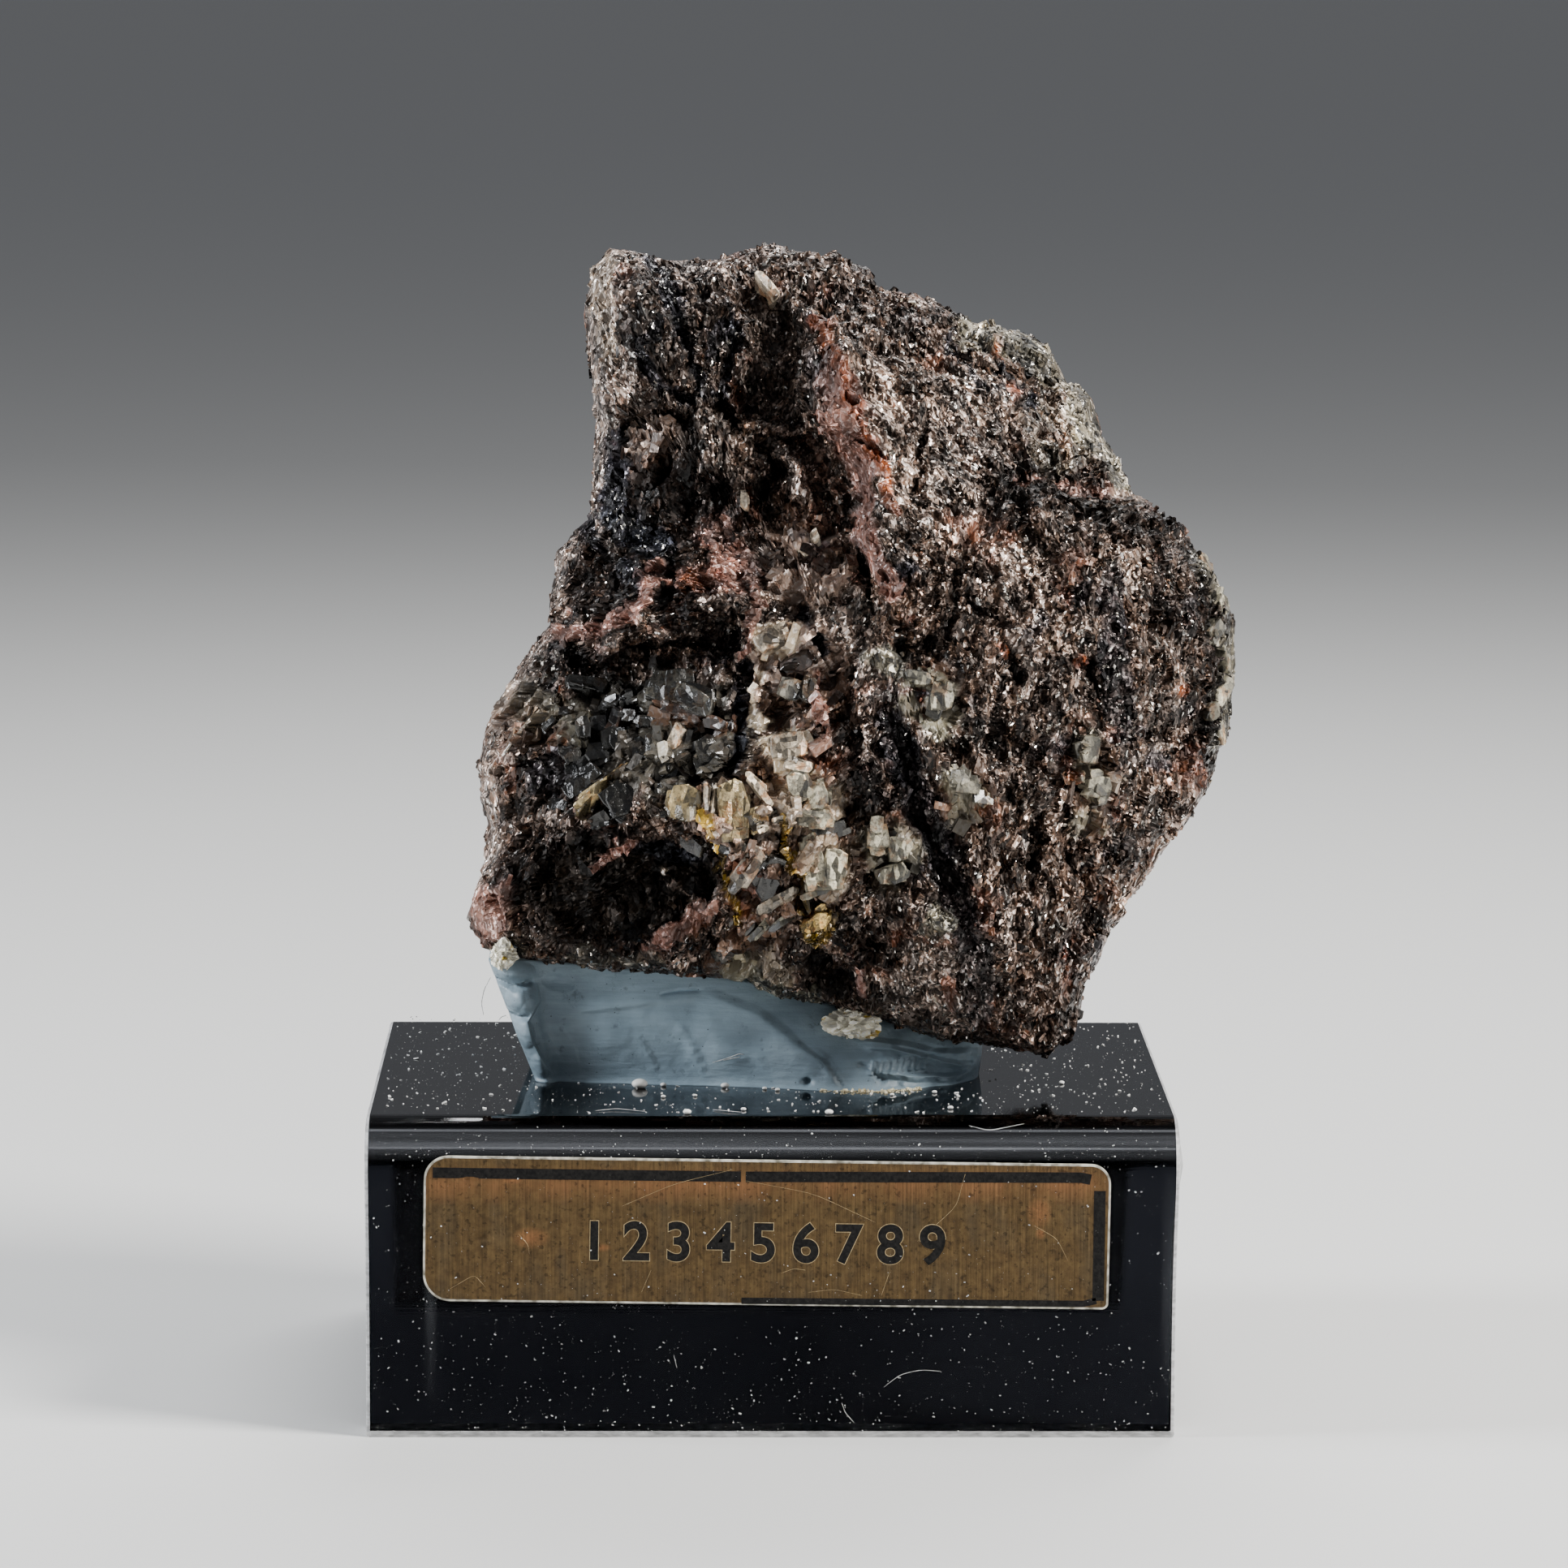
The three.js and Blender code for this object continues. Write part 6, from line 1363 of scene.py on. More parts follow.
# height, reach on the line's left and right, and the line in x and z on the putty's front
puttyCreases = [
    (0.50, 0.10, 0.8, [(-14.75, 26.0), (-14.6, 24.9), (-15.3, 23.7), (-14.95, 22.3), (-14.2, 20.9),
                       (-13.6, 20.0)]),
    (-0.65, 0.15, 0.35, [(-17.6, 26.3), (-16.2, 25.9), (-14.9, 26.2)]),
    (-0.5, 0.15, 0.35, [(-17.0, 24.2), (-15.9, 23.9), (-15.1, 24.2)]),
    (0.16, 0.8, 0.3, [(-12.6, 24.2), (-9.3, 24.6), (-7.5, 24.9), (-4.3, 25.2)]),
    (-0.35, 0.12, 0.2, [(-7.0, 25.3), (-5.7, 25.55), (-4.3, 25.6)]),
    (0.34, 0.5, 2.8, [(-4.4, 25.5), (-0.6, 24.1), (1.9, 22.2), (3.3, 21.5), (4.8, 19.4)]),
    (-0.16, 0.12, 0.3, [(1.9, 22.7), (3.7, 21.4), (4.9, 19.5)]),
    (0.07, 0.12, 0.6, [(-13.3, 23.4), (-12.4, 22.1), (-12.1, 20.8)]),
    (0.07, 0.12, 0.6, [(-8.4, 23.1), (-7.5, 21.5), (-7.0, 20.3)]),
    (0.09, 0.12, 0.6, [(-5.7, 23.7), (-4.6, 21.7), (-3.9, 20.1)]),
    (0.05, 0.12, 0.6, [(-14.3, 22.9), (-13.3, 21.2)]), (0.05, 0.12, 0.5, [(-0.8, 21.9), (-0.1, 20.8)]),
    (0.45, 0.25, 0.5, [(5.6, 22.7), (8.4, 22.3), (10.6, 21.7), (13.2, 21.4)]),
    (0.42, 0.22, 0.4, [(5.9, 22.2), (7.7, 22.2), (9.0, 21.8), (11.3, 21.1), (13.2, 20.6)]),
    (0.38, 0.20, 0.4, [(7.0, 20.8), (9.4, 20.4), (11.6, 20.2), (13.2, 20.3)]),
    (-0.25, 0.3, 0.3, [(5.6, 21.3), (6.4, 20.9), (7.4, 20.1)]),
]
nailMarks = {"count": 9, "first": (6.7, 21.55), "step": 0.42, "drop": -0.02,
             "lean": -0.3, "length": 1.0, "height": 0.34, "reach": (0.14, 0.22)}

# x, z, half width, half height, turn, height: the rolled lumps at the left, and dents
puttyLumps = [
    (-16.3, 26.9, 1.5, 0.75, -10, 0.6), (-15.7, 25.1, 1.1, 0.95, 0, 0.75), (-15.6, 22.9, 0.75, 1.1, 12, 0.45),
    (-14.6, 20.8, 0.55, 0.9, 15, 0.35), (2.4, 20.15, 0.35, 0.3, 0, -0.4), (-1.6, 23.2, 2.2, 1.2, -20, -0.15),
    (-10.3, 22.6, 1.8, 1.2, 20, 0.1), (10.6, 21.5, 1.2, 0.5, 10, -0.2), (-13.4, 26.0, 1.1, 0.6, -10, -0.3),
]


def puttyHeight(x, z):
    # how far the putty's front stands out: creases, nail marks, lumps and soft swell
    marks = []
    for k in range(nailMarks["count"]):
        startX = nailMarks["first"][0] + k * nailMarks["step"]
        startZ = nailMarks["first"][1] - nailMarks["drop"] * k
        end = (startX + nailMarks["lean"], startZ - nailMarks["length"])
        marks.append((nailMarks["height"], *nailMarks["reach"], [(startX, startZ), end]))
    total = creasesHeight(puttyCreases + marks, x, z)
    for *ellipse, height in puttyLumps:
        total += height * (1 - ellipseReach(x, z, *ellipse) ** 2).clip(0)
    flat = np.stack([x, z, 0 * x], 1)
    swellSize, swell = putty["swellNoise"]
    wrinkleSize, wrinkle, more = putty["wrinkles"]
    wrinkle = wrinkle + more * smoothStep(x, *putty["wrinkledFrom"])
    total += swell * cloudNoise(flat, swellSize, 71) + wrinkle * cloudNoise(flat, wrinkleSize, 72)
    return total + putty["lip"] * np.exp(-(z - putty["base"]) / putty["lipReach"])


def makePutty():
    table, base = putty["front"], putty["base"]
    stations = np.linspace(0, len(table) - 1, putty["stations"])
    rows = np.arange(-putty["smoothing"], putty["smoothing"] + 1)
    weights = np.cos(rows / (2 * putty["smoothing"] + 2) * np.pi)
    spread = (stations[:, None] + rows * (stations[1] - stations[0])).clip(0, len(table) - 1)
    columns = [(np.interp(spread, range(len(table)), column) * weights).sum(1) / weights.sum()
               for column in table.T]
    footX, footY, topX, topY, topZ = [column[:, None] for column in columns]
    v = np.linspace(0, 1, putty["frontRows"])[None]
    x, z = footX + v * (topX - footX), base + v * (topZ - base)
    y = footY + v * (topY - footY) - putty["swell"] * np.sin(np.pi * v)
    y = y - puttyHeight(x.ravel(), z.ravel()).reshape(x.shape)
    front = np.stack([x, y, z], 2)
    # from the top edge over the hump and down the back: share of the lean, depth and height
    rise = putty["rise"] * smoothStep(topX, *putty["riseFrom"])
    backLines = [(1, (topY + putty["backTop"]) / 2, topZ + rise), (1, putty["backTop"], topZ + 0.6 * rise),
                 (0.5, putty["backFoot"] - 1, (topZ + base) / 2), (0, putty["backFoot"], base)]
    back = [np.stack(np.broadcast_arrays(footX + share * (topX - footX), depth, height), 2)
            for share, depth, height in backLines]
    stops = np.concatenate([front[:, -1:]] + back + [front[:, :1]], axis=1)
    gaps = stops.shape[1] - 1
    t = np.linspace(0, gaps, gaps * putty["backRows"] + 1)[1:-1]
    low = np.floor(t).astype(int)
    behind = stops[:, low] + (t - low)[:, None] * (stops[:, low + 1] - stops[:, low])
    flat = behind.reshape(-1, 3)
    pressed = 0.28 * cloudNoise(flat, 3.4, 73) + 0.05 * cloudNoise(flat, 0.9, 74)
    fullness = np.sin(np.pi * t / t.max()).clip(0) * (low < gaps - 1)
    behind[:, :, 1] += pressed.reshape(behind.shape[:2]) * fullness
    rings = np.concatenate([front, behind], axis=1)
    count = rings.shape[1]
    index = ringNumbers(len(rings), count)
    places = rings.reshape(-1, 3)
    triangles = splitQuads(places, ringQuads(index))
    ends = [np.stack([np.full(count - 2, ring[0]), ring[1:-1], ring[2:]], 1)
            for ring in (index[0], index[-1])]
    triangles = np.vstack([triangles, ends[0], ends[1][:, ::-1]])
    return newMesh("puttyWedge", places, triangles)


# how pale the putty is made at each share of the way from x = -20 to x = 20: painted light, standing in for
# how light falls along it
puttyLightStops = [(0.06, 1.15), (0.13, 1.4), (0.17, 2.0), (0.3, 2.2), (0.45, 1.3), (0.55, 0.94), (0.64, 1.3),
              (0.78, 2.6)]


def puttyMaterial():
    # satin clay: slate blue, with a brightness that changes along its length as painted light, fine drag
    # lines and darker grime
    material, tree, shader = newMaterial("slatePutty")
    place = inMillimetres(tree)
    cloud = noiseAt(tree, place, 0.28, 4)
    drag = stretched(tree, place, (0.25, 1, 2.4), math.radians(-38))
    lines = noiseAt(tree, drag, 1.3, 5)
    grime = noiseAt(tree, place, 1.1, 6, 0.7)
    speck = addNode(tree, "TexVoronoi", {"Vector": place, "Scale": 1.6}).outputs["Distance"]
    base = ramp(tree, cloud, [(0.32, (0.125, 0.172, 0.205)), (0.55, (0.172, 0.232, 0.272)),
                              (0.75, (0.225, 0.290, 0.330))])
    across = addNode(tree, "SeparateXYZ", {0: place}).outputs[0]
    side = maths(tree, "MULTIPLY_ADD", across, 1 / 40)
    side.node.inputs[2].default_value = 0.5  # 0 at x = -20, 1 at x = 20
    paintedLit = multiplied(tree, base, greyRamp(tree, side, *puttyLightStops))
    streaked = multiplied(tree, paintedLit, greyRamp(tree, lines, (0.35, 0.92), (0.65, 1.07)))
    dirty = multiplied(tree, streaked, greyRamp(tree, grime, (0.30, 0.60), (0.40, 1.0)))
    spots = greyRamp(tree, speck, (0.05, 0.25), (0.08, 1.0))
    tree.links.new(multiplied(tree, dirty, spots), shader.inputs["Base Color"])
    tree.links.new(greyRamp(tree, lines, (0.3, 0.36), (0.7, 0.55)), shader.inputs["Roughness"])
    addBump(tree, shader, maths(tree, "ADD", lines, grime), 0.35, 0.0002)
    return material


dress(makePutty(), [puttyMaterial()], "putty")

# The stand: one smoky sheet bent into a bridge.
stand = {
    "width": standWidth, "depth": 40, "height": 19.7, "sheet": 3, "outerBend": 3.2, "innerBend": 0.4,
    "flareLeft": flareLeft, "flareRight": 0.6, "flareReach": 2.5, "backTaper": 0.9,
    "bevel": 0.22, "bendSteps": 14,
    "sawnFoot": 0.4,  # the cut shows this far up the foot
}


def standPaths():
    # the outside and the inside of the sheet from the front foot round to the back foot, as y and z
    depth, height, sheet = stand["depth"], stand["height"], stand["sheet"]
    turn = np.radians(np.linspace(180, 90, stand["bendSteps"]))
    paths = []
    for offset, bend in ((0, stand["outerBend"]), (sheet, stand["innerBend"])):
        top = height - offset
        rise = np.concatenate([[0, stand["sawnFoot"]], np.linspace(0, top - bend, 12)[1:-1]])
        foot = np.stack([np.full(len(rise), offset), rise], 1)
        corner = np.stack([offset + bend + bend * np.cos(turn), top - bend + bend * np.sin(turn)], 1)
        half = np.vstack([foot, corner])
        paths.append(np.vstack([half, half[::-1] * (-1, 1) + (depth, 0)]))
    return paths


def sideShift(isRight, y, z):
    # out at the inner corner of each bend, in at the foot of the back plate's right edge
    corner = np.minimum(y, stand["depth"] - y) - stand["sheet"]
    distance = np.hypot(corner, stand["height"] - stand["sheet"] - z)
    flare = (stand["flareRight"] if isRight else stand["flareLeft"]) * np.exp(-distance / stand["flareReach"])
    isBack = y > stand["depth"] - stand["sheet"] - 0.001
    return flare - stand["backTaper"] * isBack * isRight * (1 - z / stand["height"])


def makeStand():
    outer, inner = standPaths()
    bevel = stand["bevel"]
    section = np.vstack([outer, inner[::-1]])
    before, after = np.roll(section, 1, axis=0), np.roll(section, -1, axis=0)
    along = unit(after - before)
    inward = np.stack([along[:, 1], -along[:, 0]], 1)
    rows = []
    for isRight, depths in ((False, (1, 0.3, 0)), (True, (0, 0.3, 1))):
        for depth in depths:
            outset = 1 - math.sqrt(1 - (1 - depth) ** 2) if depth < 1 else 0
            points = section + inward * bevel * depth
            shift = sideShift(isRight, section[:, 0], section[:, 1]) + stand["width"] / 2 - bevel * outset
            rows.append(np.column_stack([shift if isRight else -shift, points]))
    count = len(section)
    index = ringNumbers(len(rows), count)
    quads = turnedQuads(index)
    half = len(outer)
    caps = []
    for row, flip in ((index[0], True), (index[-1], False)):
        first, second = row[:half], row[half:][::-1]
        cap = np.stack([first[:-1], first[1:], second[1:], second[:-1]], -1)
        caps.append(cap[:, ::-1] if flip else cap)
    sides = np.tile(np.arange(count), len(rows) - 1)
    isFoot = np.isin(sides, (0, half - 2, half - 1, half, count - 2, count - 1))
    isBevel = np.arange(len(quads)) // count != 2
    sawn = (isFoot | isBevel).astype(int)
    slots = np.concatenate([sawn, np.ones(2 * (half - 1), int)])
    places = np.vstack(rows)
    quads = np.vstack([quads] + caps)
    middle = places.mean(0)
    if (triangleNormals(places, quads[:, :3]) * (places[quads[:, 0]] - middle)).sum() < 0:
        quads = quads[:, ::-1]
    return newMesh("bentSheet", places, quads, smooth=False, slots=slots)


# along the bend: one broad pale band and two thin pale lines, which are painted reflections of the lamps
bendHazeAndHighlights = [(18.3, 0.95, 0.45), (19.05, 0.09, 0.9), (18.1, 0.09, 0.7)]  # height, reach, strength


def bandWeight(tree, coordinate, centre, reach):
    # 1 at the centre, falling evenly to nothing at the reach
    gap = maths(tree, "ABSOLUTE", maths(tree, "SUBTRACT", coordinate, centre))
    return maths(tree, "SUBTRACT", 1.0, maths(tree, "DIVIDE", gap, reach), clamp=True)


def acrylicMaterial():
    # smoky sheet: dark because light is absorbed on its way through, with a rubbed and scratched skin,
    # a pale band along the bend with thin pale lines on it that are painted reflections of the lamps, and
    # paler strips beside its side edges
    material, tree, shader = newMaterial("smokyAcrylic")
    place = inMillimetres(tree)
    x, _, z = addNode(tree, "SeparateXYZ", {0: place}).outputs
    rub = noiseAt(tree, place, 0.12, 6, 0.7)
    scratch = noiseAt(tree, stretched(tree, place, (0.05, 1, 6), math.radians(3)), 0.9, 3)
    lines = noiseAt(tree, stretched(tree, place, (0.03, 2.5, 2.5)), 1.1, 4)
    # where the bend's band and lines and the strips beside the side edges lie, the sheet lets less light
    # through and shows its pale base colour; the thin lines are painted reflections
    bendHazeAndHighlight = 0.0
    for height, reach, strength in bendHazeAndHighlights:
        own = maths(tree, "MULTIPLY", bandWeight(tree, z, height, reach), strength)
        bendHazeAndHighlight = maths(tree, "ADD", bendHazeAndHighlight, own)
    bendLines = maths(tree, "MULTIPLY", bendHazeAndHighlight, greyRamp(tree, lines, (0.35, 0.45), (0.7, 1.0)))
    smudges = maths(tree, "MAXIMUM", bandWeight(tree, x, 22.2, 0.8), bandWeight(tree, x, -23.6, 0.45))
    smudges = maths(tree, "MULTIPLY", smudges, maths(tree, "MULTIPLY", bandWeight(tree, z, 9.5, 8.0), rub))
    paledShare = maths(tree, "ADD", maths(tree, "MULTIPLY", bendLines, 0.16),
                  maths(tree, "MULTIPLY", smudges, 0.07))
    shader.inputs["Base Color"].default_value = (0.80, 0.84, 0.92, 1)
    shader.inputs["IOR"].default_value = 1.49
    shader.inputs["Specular Tint"].default_value = (0.10, 0.10, 0.12, 1)
    tree.links.new(maths(tree, "SUBTRACT", 1.0, paledShare, clamp=True), shader.inputs["Transmission Weight"])
    haze = greyRamp(tree, rub, (0.45, 0.03), (0.75, 0.16))
    tree.links.new(haze, shader.inputs["Roughness"])
    addBump(tree, shader, scratch, 0.05, 0.0001)
    smoke = addNode(tree, "VolumeAbsorption")
    smoke.inputs["Color"].default_value = (0.30, 0.31, 0.34, 1)
    smoke.inputs["Density"].default_value = 2400
    tree.links.new(smoke.outputs[0], tree.nodes["Material Output"].inputs["Volume"])
    return material


def sawnMaterial():
    # the cut edges scatter light, so they are pale
    material, tree, shader = newMaterial("sawnAcrylic")
    place = inMillimetres(tree)
    lines = noiseAt(tree, stretched(tree, place, (1, 0.3, 3.0)), 1.4, 5)
    tree.links.new(greyRamp(tree, lines, (0.3, 0.30), (0.7, 0.72)), shader.inputs["Base Color"])
    shader.inputs["Roughness"].default_value = 0.5
    shader.inputs["Transmission Weight"].default_value = 0.35
    addBump(tree, shader, lines, 0.4, 0.0002)
    return material


dress(makeStand(), [acrylicMaterial(), sawnMaterial()], "stand")

# The label: a foil strip with a printed border, stuck on the front plate and a little out of square.
label = {
    "width": 42.3, "height": 9.1, "thickness": 0.2, "centre": (-0.28, 12.93), "turn": math.radians(-0.7),
    "corners": (1.25, 1.5, 1.7, 0.4),  # radii from the top right corner round to the bottom right
    "cutEdge": 0.10, "ink": 0.012,
}
labelTop = label["centre"][1] + label["height"] / 2
rustDrop = 1.55  # the rusty band lies this far under the label's top edge

# half width and line in the label's own x and z from its middle
borderLines = [
    (0.33, [(-20.6, 3.50), (-1.65, 3.50)]),
    (0.33, [(-1.35, 3.50), (19.3, 3.72), (19.9, 3.6)]),
    (0.36, [(20.48, 2.9), (20.52, -4.0)]),
    (0.20, [(-1.5, -4.28), (19.6, -4.20), (20.4, -4.0)]),
]

# x, z, half width, half height and height of the crumpled spots
labelDents = [(-17.4, 12.6, 1.1, 0.65, 0.10), (13.9, 14.3, 0.75, 1.0, 0.10), (14.0, 12.9, 0.3, 0.35, 0.06),
              (-18.6, 16.2, 1.0, 0.3, 0.05), (-13.0, 12.0, 0.5, 0.25, 0.04)]
# outline: the pale gold letters under the black ones stand out round them by this much, a painted highlight
# on the letters' edges
digits = {"text": "1 2 3 4 5 6 7 8 9", "size": 3.35, "centre": (-0.2, -0.75), "bold": 0.085, "outline": 0.125}


def onLabel(points, out):
    # a place in the label's own x and z, and how far out of the plate it stands
    points = np.asarray(points, float)
    c, s = math.cos(label["turn"]), math.sin(label["turn"])
    x = c * points[:, 0] - s * points[:, 1] + label["centre"][0]
    z = s * points[:, 0] + c * points[:, 1] + label["centre"][1]
    return np.stack([x, np.broadcast_to(-np.asarray(out, float), x.shape), z], 1)


def labelOutline(inset):
    # a rectangle with four different round corners
    steps = np.radians(np.linspace(0, 90, 12))
    signs = [(1, 1), (-1, 1), (-1, -1), (1, -1)]
    points = []
    for quarter, ((sx, sz), radius) in enumerate(zip(signs, label["corners"])):
        reach = radius - inset
        cornerX, cornerZ = sx * (label["width"] / 2 - radius), sz * (label["height"] / 2 - radius)
        angles = steps + math.pi / 2 * quarter
        points.append(np.stack([cornerX + reach * np.cos(angles), cornerZ + reach * np.sin(angles)], 1))
    return np.vstack(points)


def makeFoil():
    # rings from the plate out, over the cut edge and inwards; the face is a fan round its middle
    thickness, cut = label["thickness"], label["cutEdge"]
    rings = [(0.0, 0.01), (0.0, thickness - 0.03), (0.04, thickness), (cut, thickness),
             (cut + 0.03, thickness)]
    places = np.vstack([onLabel(labelOutline(inset), out) for inset, out in rings]
                       + [onLabel([(0, 0)], thickness)])
    count = len(labelOutline(0))
    index = ringNumbers(len(rings), count)
    after = np.roll(index, -1, axis=1)
    sides = turnedQuads(index)
    fan = np.stack([index[-1], after[-1], np.full(count, len(places) - 1)], 1)
    backFan = np.stack([after[0][1:-1], index[0][1:-1], np.full(count - 2, index[0][0])], 1)
    triangles = np.vstack([splitQuads(places, sides), fan, backFan])
    slots = np.concatenate([np.ones(2 * len(sides), int), np.zeros(count, int), np.ones(count - 2, int)])
    return newMesh("foilStrip", places, triangles, smooth=False, slots=slots)


def ribbon(path, halfWidth, out, thickness):
    # a flat closed bar along a line on the label
    path = np.array(path, float)
    along = unit(np.gradient(path, axis=0))
    side = np.stack([-along[:, 1], along[:, 0]], 1) * halfWidth
    rows = [onLabel(path + side, out), onLabel(path - side, out),
            onLabel(path - side, out - thickness), onLabel(path + side, out - thickness)]
    places = np.stack(rows, 1).reshape(-1, 3)
    index = ringNumbers(len(path), 4)
    return places, np.vstack([ringQuads(index), index[:1], index[-1:, ::-1]])


def makeBorder():
    ink = label["ink"]
    bars = [ribbon(path, halfWidth, label["thickness"] + ink, ink + 0.005) for halfWidth, path in borderLines]
    return newMesh("printedBorder", *joined(bars), smooth=False)


def makeDigits(name, bold, out):
    # built-in sans letters, thickened, laid on the label
    font = bpy.data.curves.new(name, "FONT")
    font.body = digits["text"]
    font.size = digits["size"]
    font.offset = bold
    font.extrude = label["ink"] / 2
    font.align_x, font.align_y = "CENTER", "CENTER"
    source = bpy.data.objects.new(name + "Source", font)
    bpy.context.scene.collection.objects.link(source)
    bpy.context.view_layer.update()
    mesh = source.evaluated_get(bpy.context.evaluated_depsgraph_get()).to_mesh()
    mesh.calc_loop_triangles()
    places = np.empty(3 * len(mesh.vertices), np.float32)
    mesh.vertices.foreach_get("co", places)
    triangles = np.empty(3 * len(mesh.loop_triangles), np.int32)
    mesh.loop_triangles.foreach_get("vertices", triangles)
    source.to_mesh_clear()
    bpy.data.objects.remove(source)
    places = places.reshape(-1, 3).astype(float)
    laid = onLabel(places[:, :2] + digits["centre"], out + places[:, 2])
    return newMesh(name, laid, triangles.reshape(-1, 3), smooth=False)


def makeDents():
    # low crumples in the foil: height = (1 - r^2)^2, level at the rim
    ball, quads, caps = ballGrid(24, 36)
    reach = (ball[:, :2] ** 2).sum(1)
    parts = []
    for x, z, halfWidth, halfHeight, height in labelDents:
        uneven = 0.8 + 0.7 * cloudNoise(ball + x, 0.5, 95)
        out = label["thickness"] + 0.003 + height * (1 - reach) ** 2 * uneven
        out = np.where(ball[:, 2] < -0.01, label["thickness"] - 0.02, out)
        places = np.stack([x + halfWidth * ball[:, 0], -out, z + halfHeight * ball[:, 1]], 1)
        parts.append((places, np.vstack([splitQuads(places, quads), caps])))
    return newMesh("foilDents", *joined(parts))


def foilMaterial():
    # dark tarnished gold, brushed upright, with grey stains and a rusty band under the top line
    material, tree, shader = newMaterial("tarnishedFoil")
    place = inMillimetres(tree)
    lines = noiseAt(tree, stretched(tree, place, (5.0, 1, 0.16)), 1.2, 5)
    stain = noiseAt(tree, place, 1.5, 6, 0.7)
    greyStain = noiseAt(tree, stretched(tree, place, (1.0, 1, 0.35)), 0.5, 5)
    pits = noiseAt(tree, place, 3.5, 4)
    height = addNode(tree, "SeparateXYZ", {0: place}).outputs[2]
    base = ramp(tree, stain, [(0.34, (0.064, 0.039, 0.016)), (0.5, (0.088, 0.055, 0.022)),
                              (0.66, (0.114, 0.073, 0.029))])
    greyed = mixColour(tree, greyRamp(tree, greyStain, (0.5, 0), (0.7, 0.45)), base,
                       (0.060, 0.050, 0.032, 1))
    reach = maths(tree, "ABSOLUTE", maths(tree, "SUBTRACT", height, labelTop - rustDrop))
    fade = maths(tree, "SUBTRACT", 1.0, maths(tree, "MULTIPLY", reach, 0.75), clamp=True)
    rusty = maths(tree, "MULTIPLY", fade, greyRamp(tree, greyStain, (0.4, 0.25), (0.65, 0.85)), clamp=True)
    for x, z, halfWidth, halfHeight, _ in labelDents:
        scaled = vectorMaths(tree, "MULTIPLY", vectorMaths(tree, "SUBTRACT", place, (x, 0, z)),
                             (1 / halfWidth, 0, 1 / halfHeight))
        far = addNode(tree, "VectorMath", {0: scaled}, operation="LENGTH").outputs["Value"]
        worn = maths(tree, "MULTIPLY", maths(tree, "SUBTRACT", 1.15, far, clamp=True),
                     greyRamp(tree, stain, (0.4, 0.5), (0.55, 1)))
        rusty = maths(tree, "MAXIMUM", rusty, worn)
    rusted = mixColour(tree, rusty, greyed, (0.230, 0.105, 0.042, 1))
    brushed = multiplied(tree, rusted, greyRamp(tree, lines, (0.3, 0.70), (0.7, 1.35)))
    tree.links.new(multiplied(tree, brushed, greyRamp(tree, pits, (0.32, 0.5), (0.42, 1))),
                   shader.inputs["Base Color"])
    shader.inputs["Metallic"].default_value = 0.75
    tree.links.new(greyRamp(tree, lines, (0.3, 0.34), (0.7, 0.55)), shader.inputs["Roughness"])
    addBump(tree, shader, maths(tree, "ADD", lines, stain), 0.5, 0.00015)
    return material


def plainMaterial(name, dark, light, roughness, scale, metallic=0.0, gloss=0.5):
    # two tones mixed by a noise, for small parts
    material, tree, shader = newMaterial(name)
    noise = noiseAt(tree, inMillimetres(tree), scale, 4)
    tree.links.new(ramp(tree, noise, [(0.35, dark), (0.65, light)]), shader.inputs["Base Color"])
    shader.inputs["Roughness"].default_value = roughness
    shader.inputs["Metallic"].default_value = metallic
    shader.inputs["Specular IOR Level"].default_value = gloss
    addBump(tree, shader, noise, 0.4, 0.0001)
    return material


cutEdge = plainMaterial("creamCutEdge", (0.13, 0.12, 0.09), (0.62, 0.59, 0.50), 0.6, 1.6)
ink = plainMaterial("blackInk", (0.006, 0.006, 0.006), (0.016, 0.015, 0.014), 0.5, 5, gloss=0.08)
# pale gold for the rim round the digits, a painted highlight on their edges, and for the scratches on the
# label
edgeHighlightAndScratchInk = plainMaterial("edgeHighlightAndScratchGold", (0.30, 0.22, 0.11), (0.52, 0.40, 0.22), 0.35, 4, 0.6)
foil = foilMaterial()
dress(makeFoil(), [foil, cutEdge], "label")
dress(makeDents(), [foil], "label")
dress(makeBorder(), [ink], "label")
dress(makeDigits("digitEdgeHighlights", digits["outline"], label["thickness"] + 0.008), [edgeHighlightAndScratchInk], "label")
dress(makeDigits("digits", digits["bold"], label["thickness"] + 0.02), [ink], "label")

# Crumbs: pale granular lumps.
crumbs = {
    "pale_crumb_left": {"centre": (-16.85, 14.2, 27.85), "size": (0.76, 0.8, 0.68), "seed": 3, "spike": 0.8},
    "pale_crumb_front": {"centre": (5.3, 14.0, 23.6), "size": (1.7, 1.2, 1.15), "seed": 8, "spike": 0.0},
}


def makeCrumb(name):
    # a ball broken into grains: noise at three sizes
    dims = crumbs[name]
    ball, quads, caps = ballGrid(60, 84)
    plane, number = chips(ball + dims["seed"], 0.26, 81)
    reach = 1 + 0.22 * cloudNoise(ball + dims["seed"], 0.8, 82, 4) + 0.75 * plane + 0.22 * (number - 0.5)
    reach += dims["spike"] * ball[:, 2].clip(0) ** 8
    places = ball * reach[:, None] * dims["size"] + dims["centre"]
    piece = newMesh(name + "_grains", places, np.vstack([splitQuads(places, quads), caps]), smooth=False)
    shade = np.exp(1.1 * (number - 0.5))[:, None]
    yellow = smoothStep(cloudNoise(ball + dims["seed"], 0.5, 83), 0.6, 0.8)[:, None]
    finish = np.tile((0, 0, 0, 0.0, 0.85, 0.22, 0), (len(places), 1))
    finish[:, :3] = shade * ((1 - yellow) * (0.84, 0.80, 0.67) + yellow * (0.46, 0.34, 0.10))
    finishPiece(piece, finish)
    return piece


for crumbName in crumbs:
    dress(makeCrumb(crumbName), [ore], crumbName)

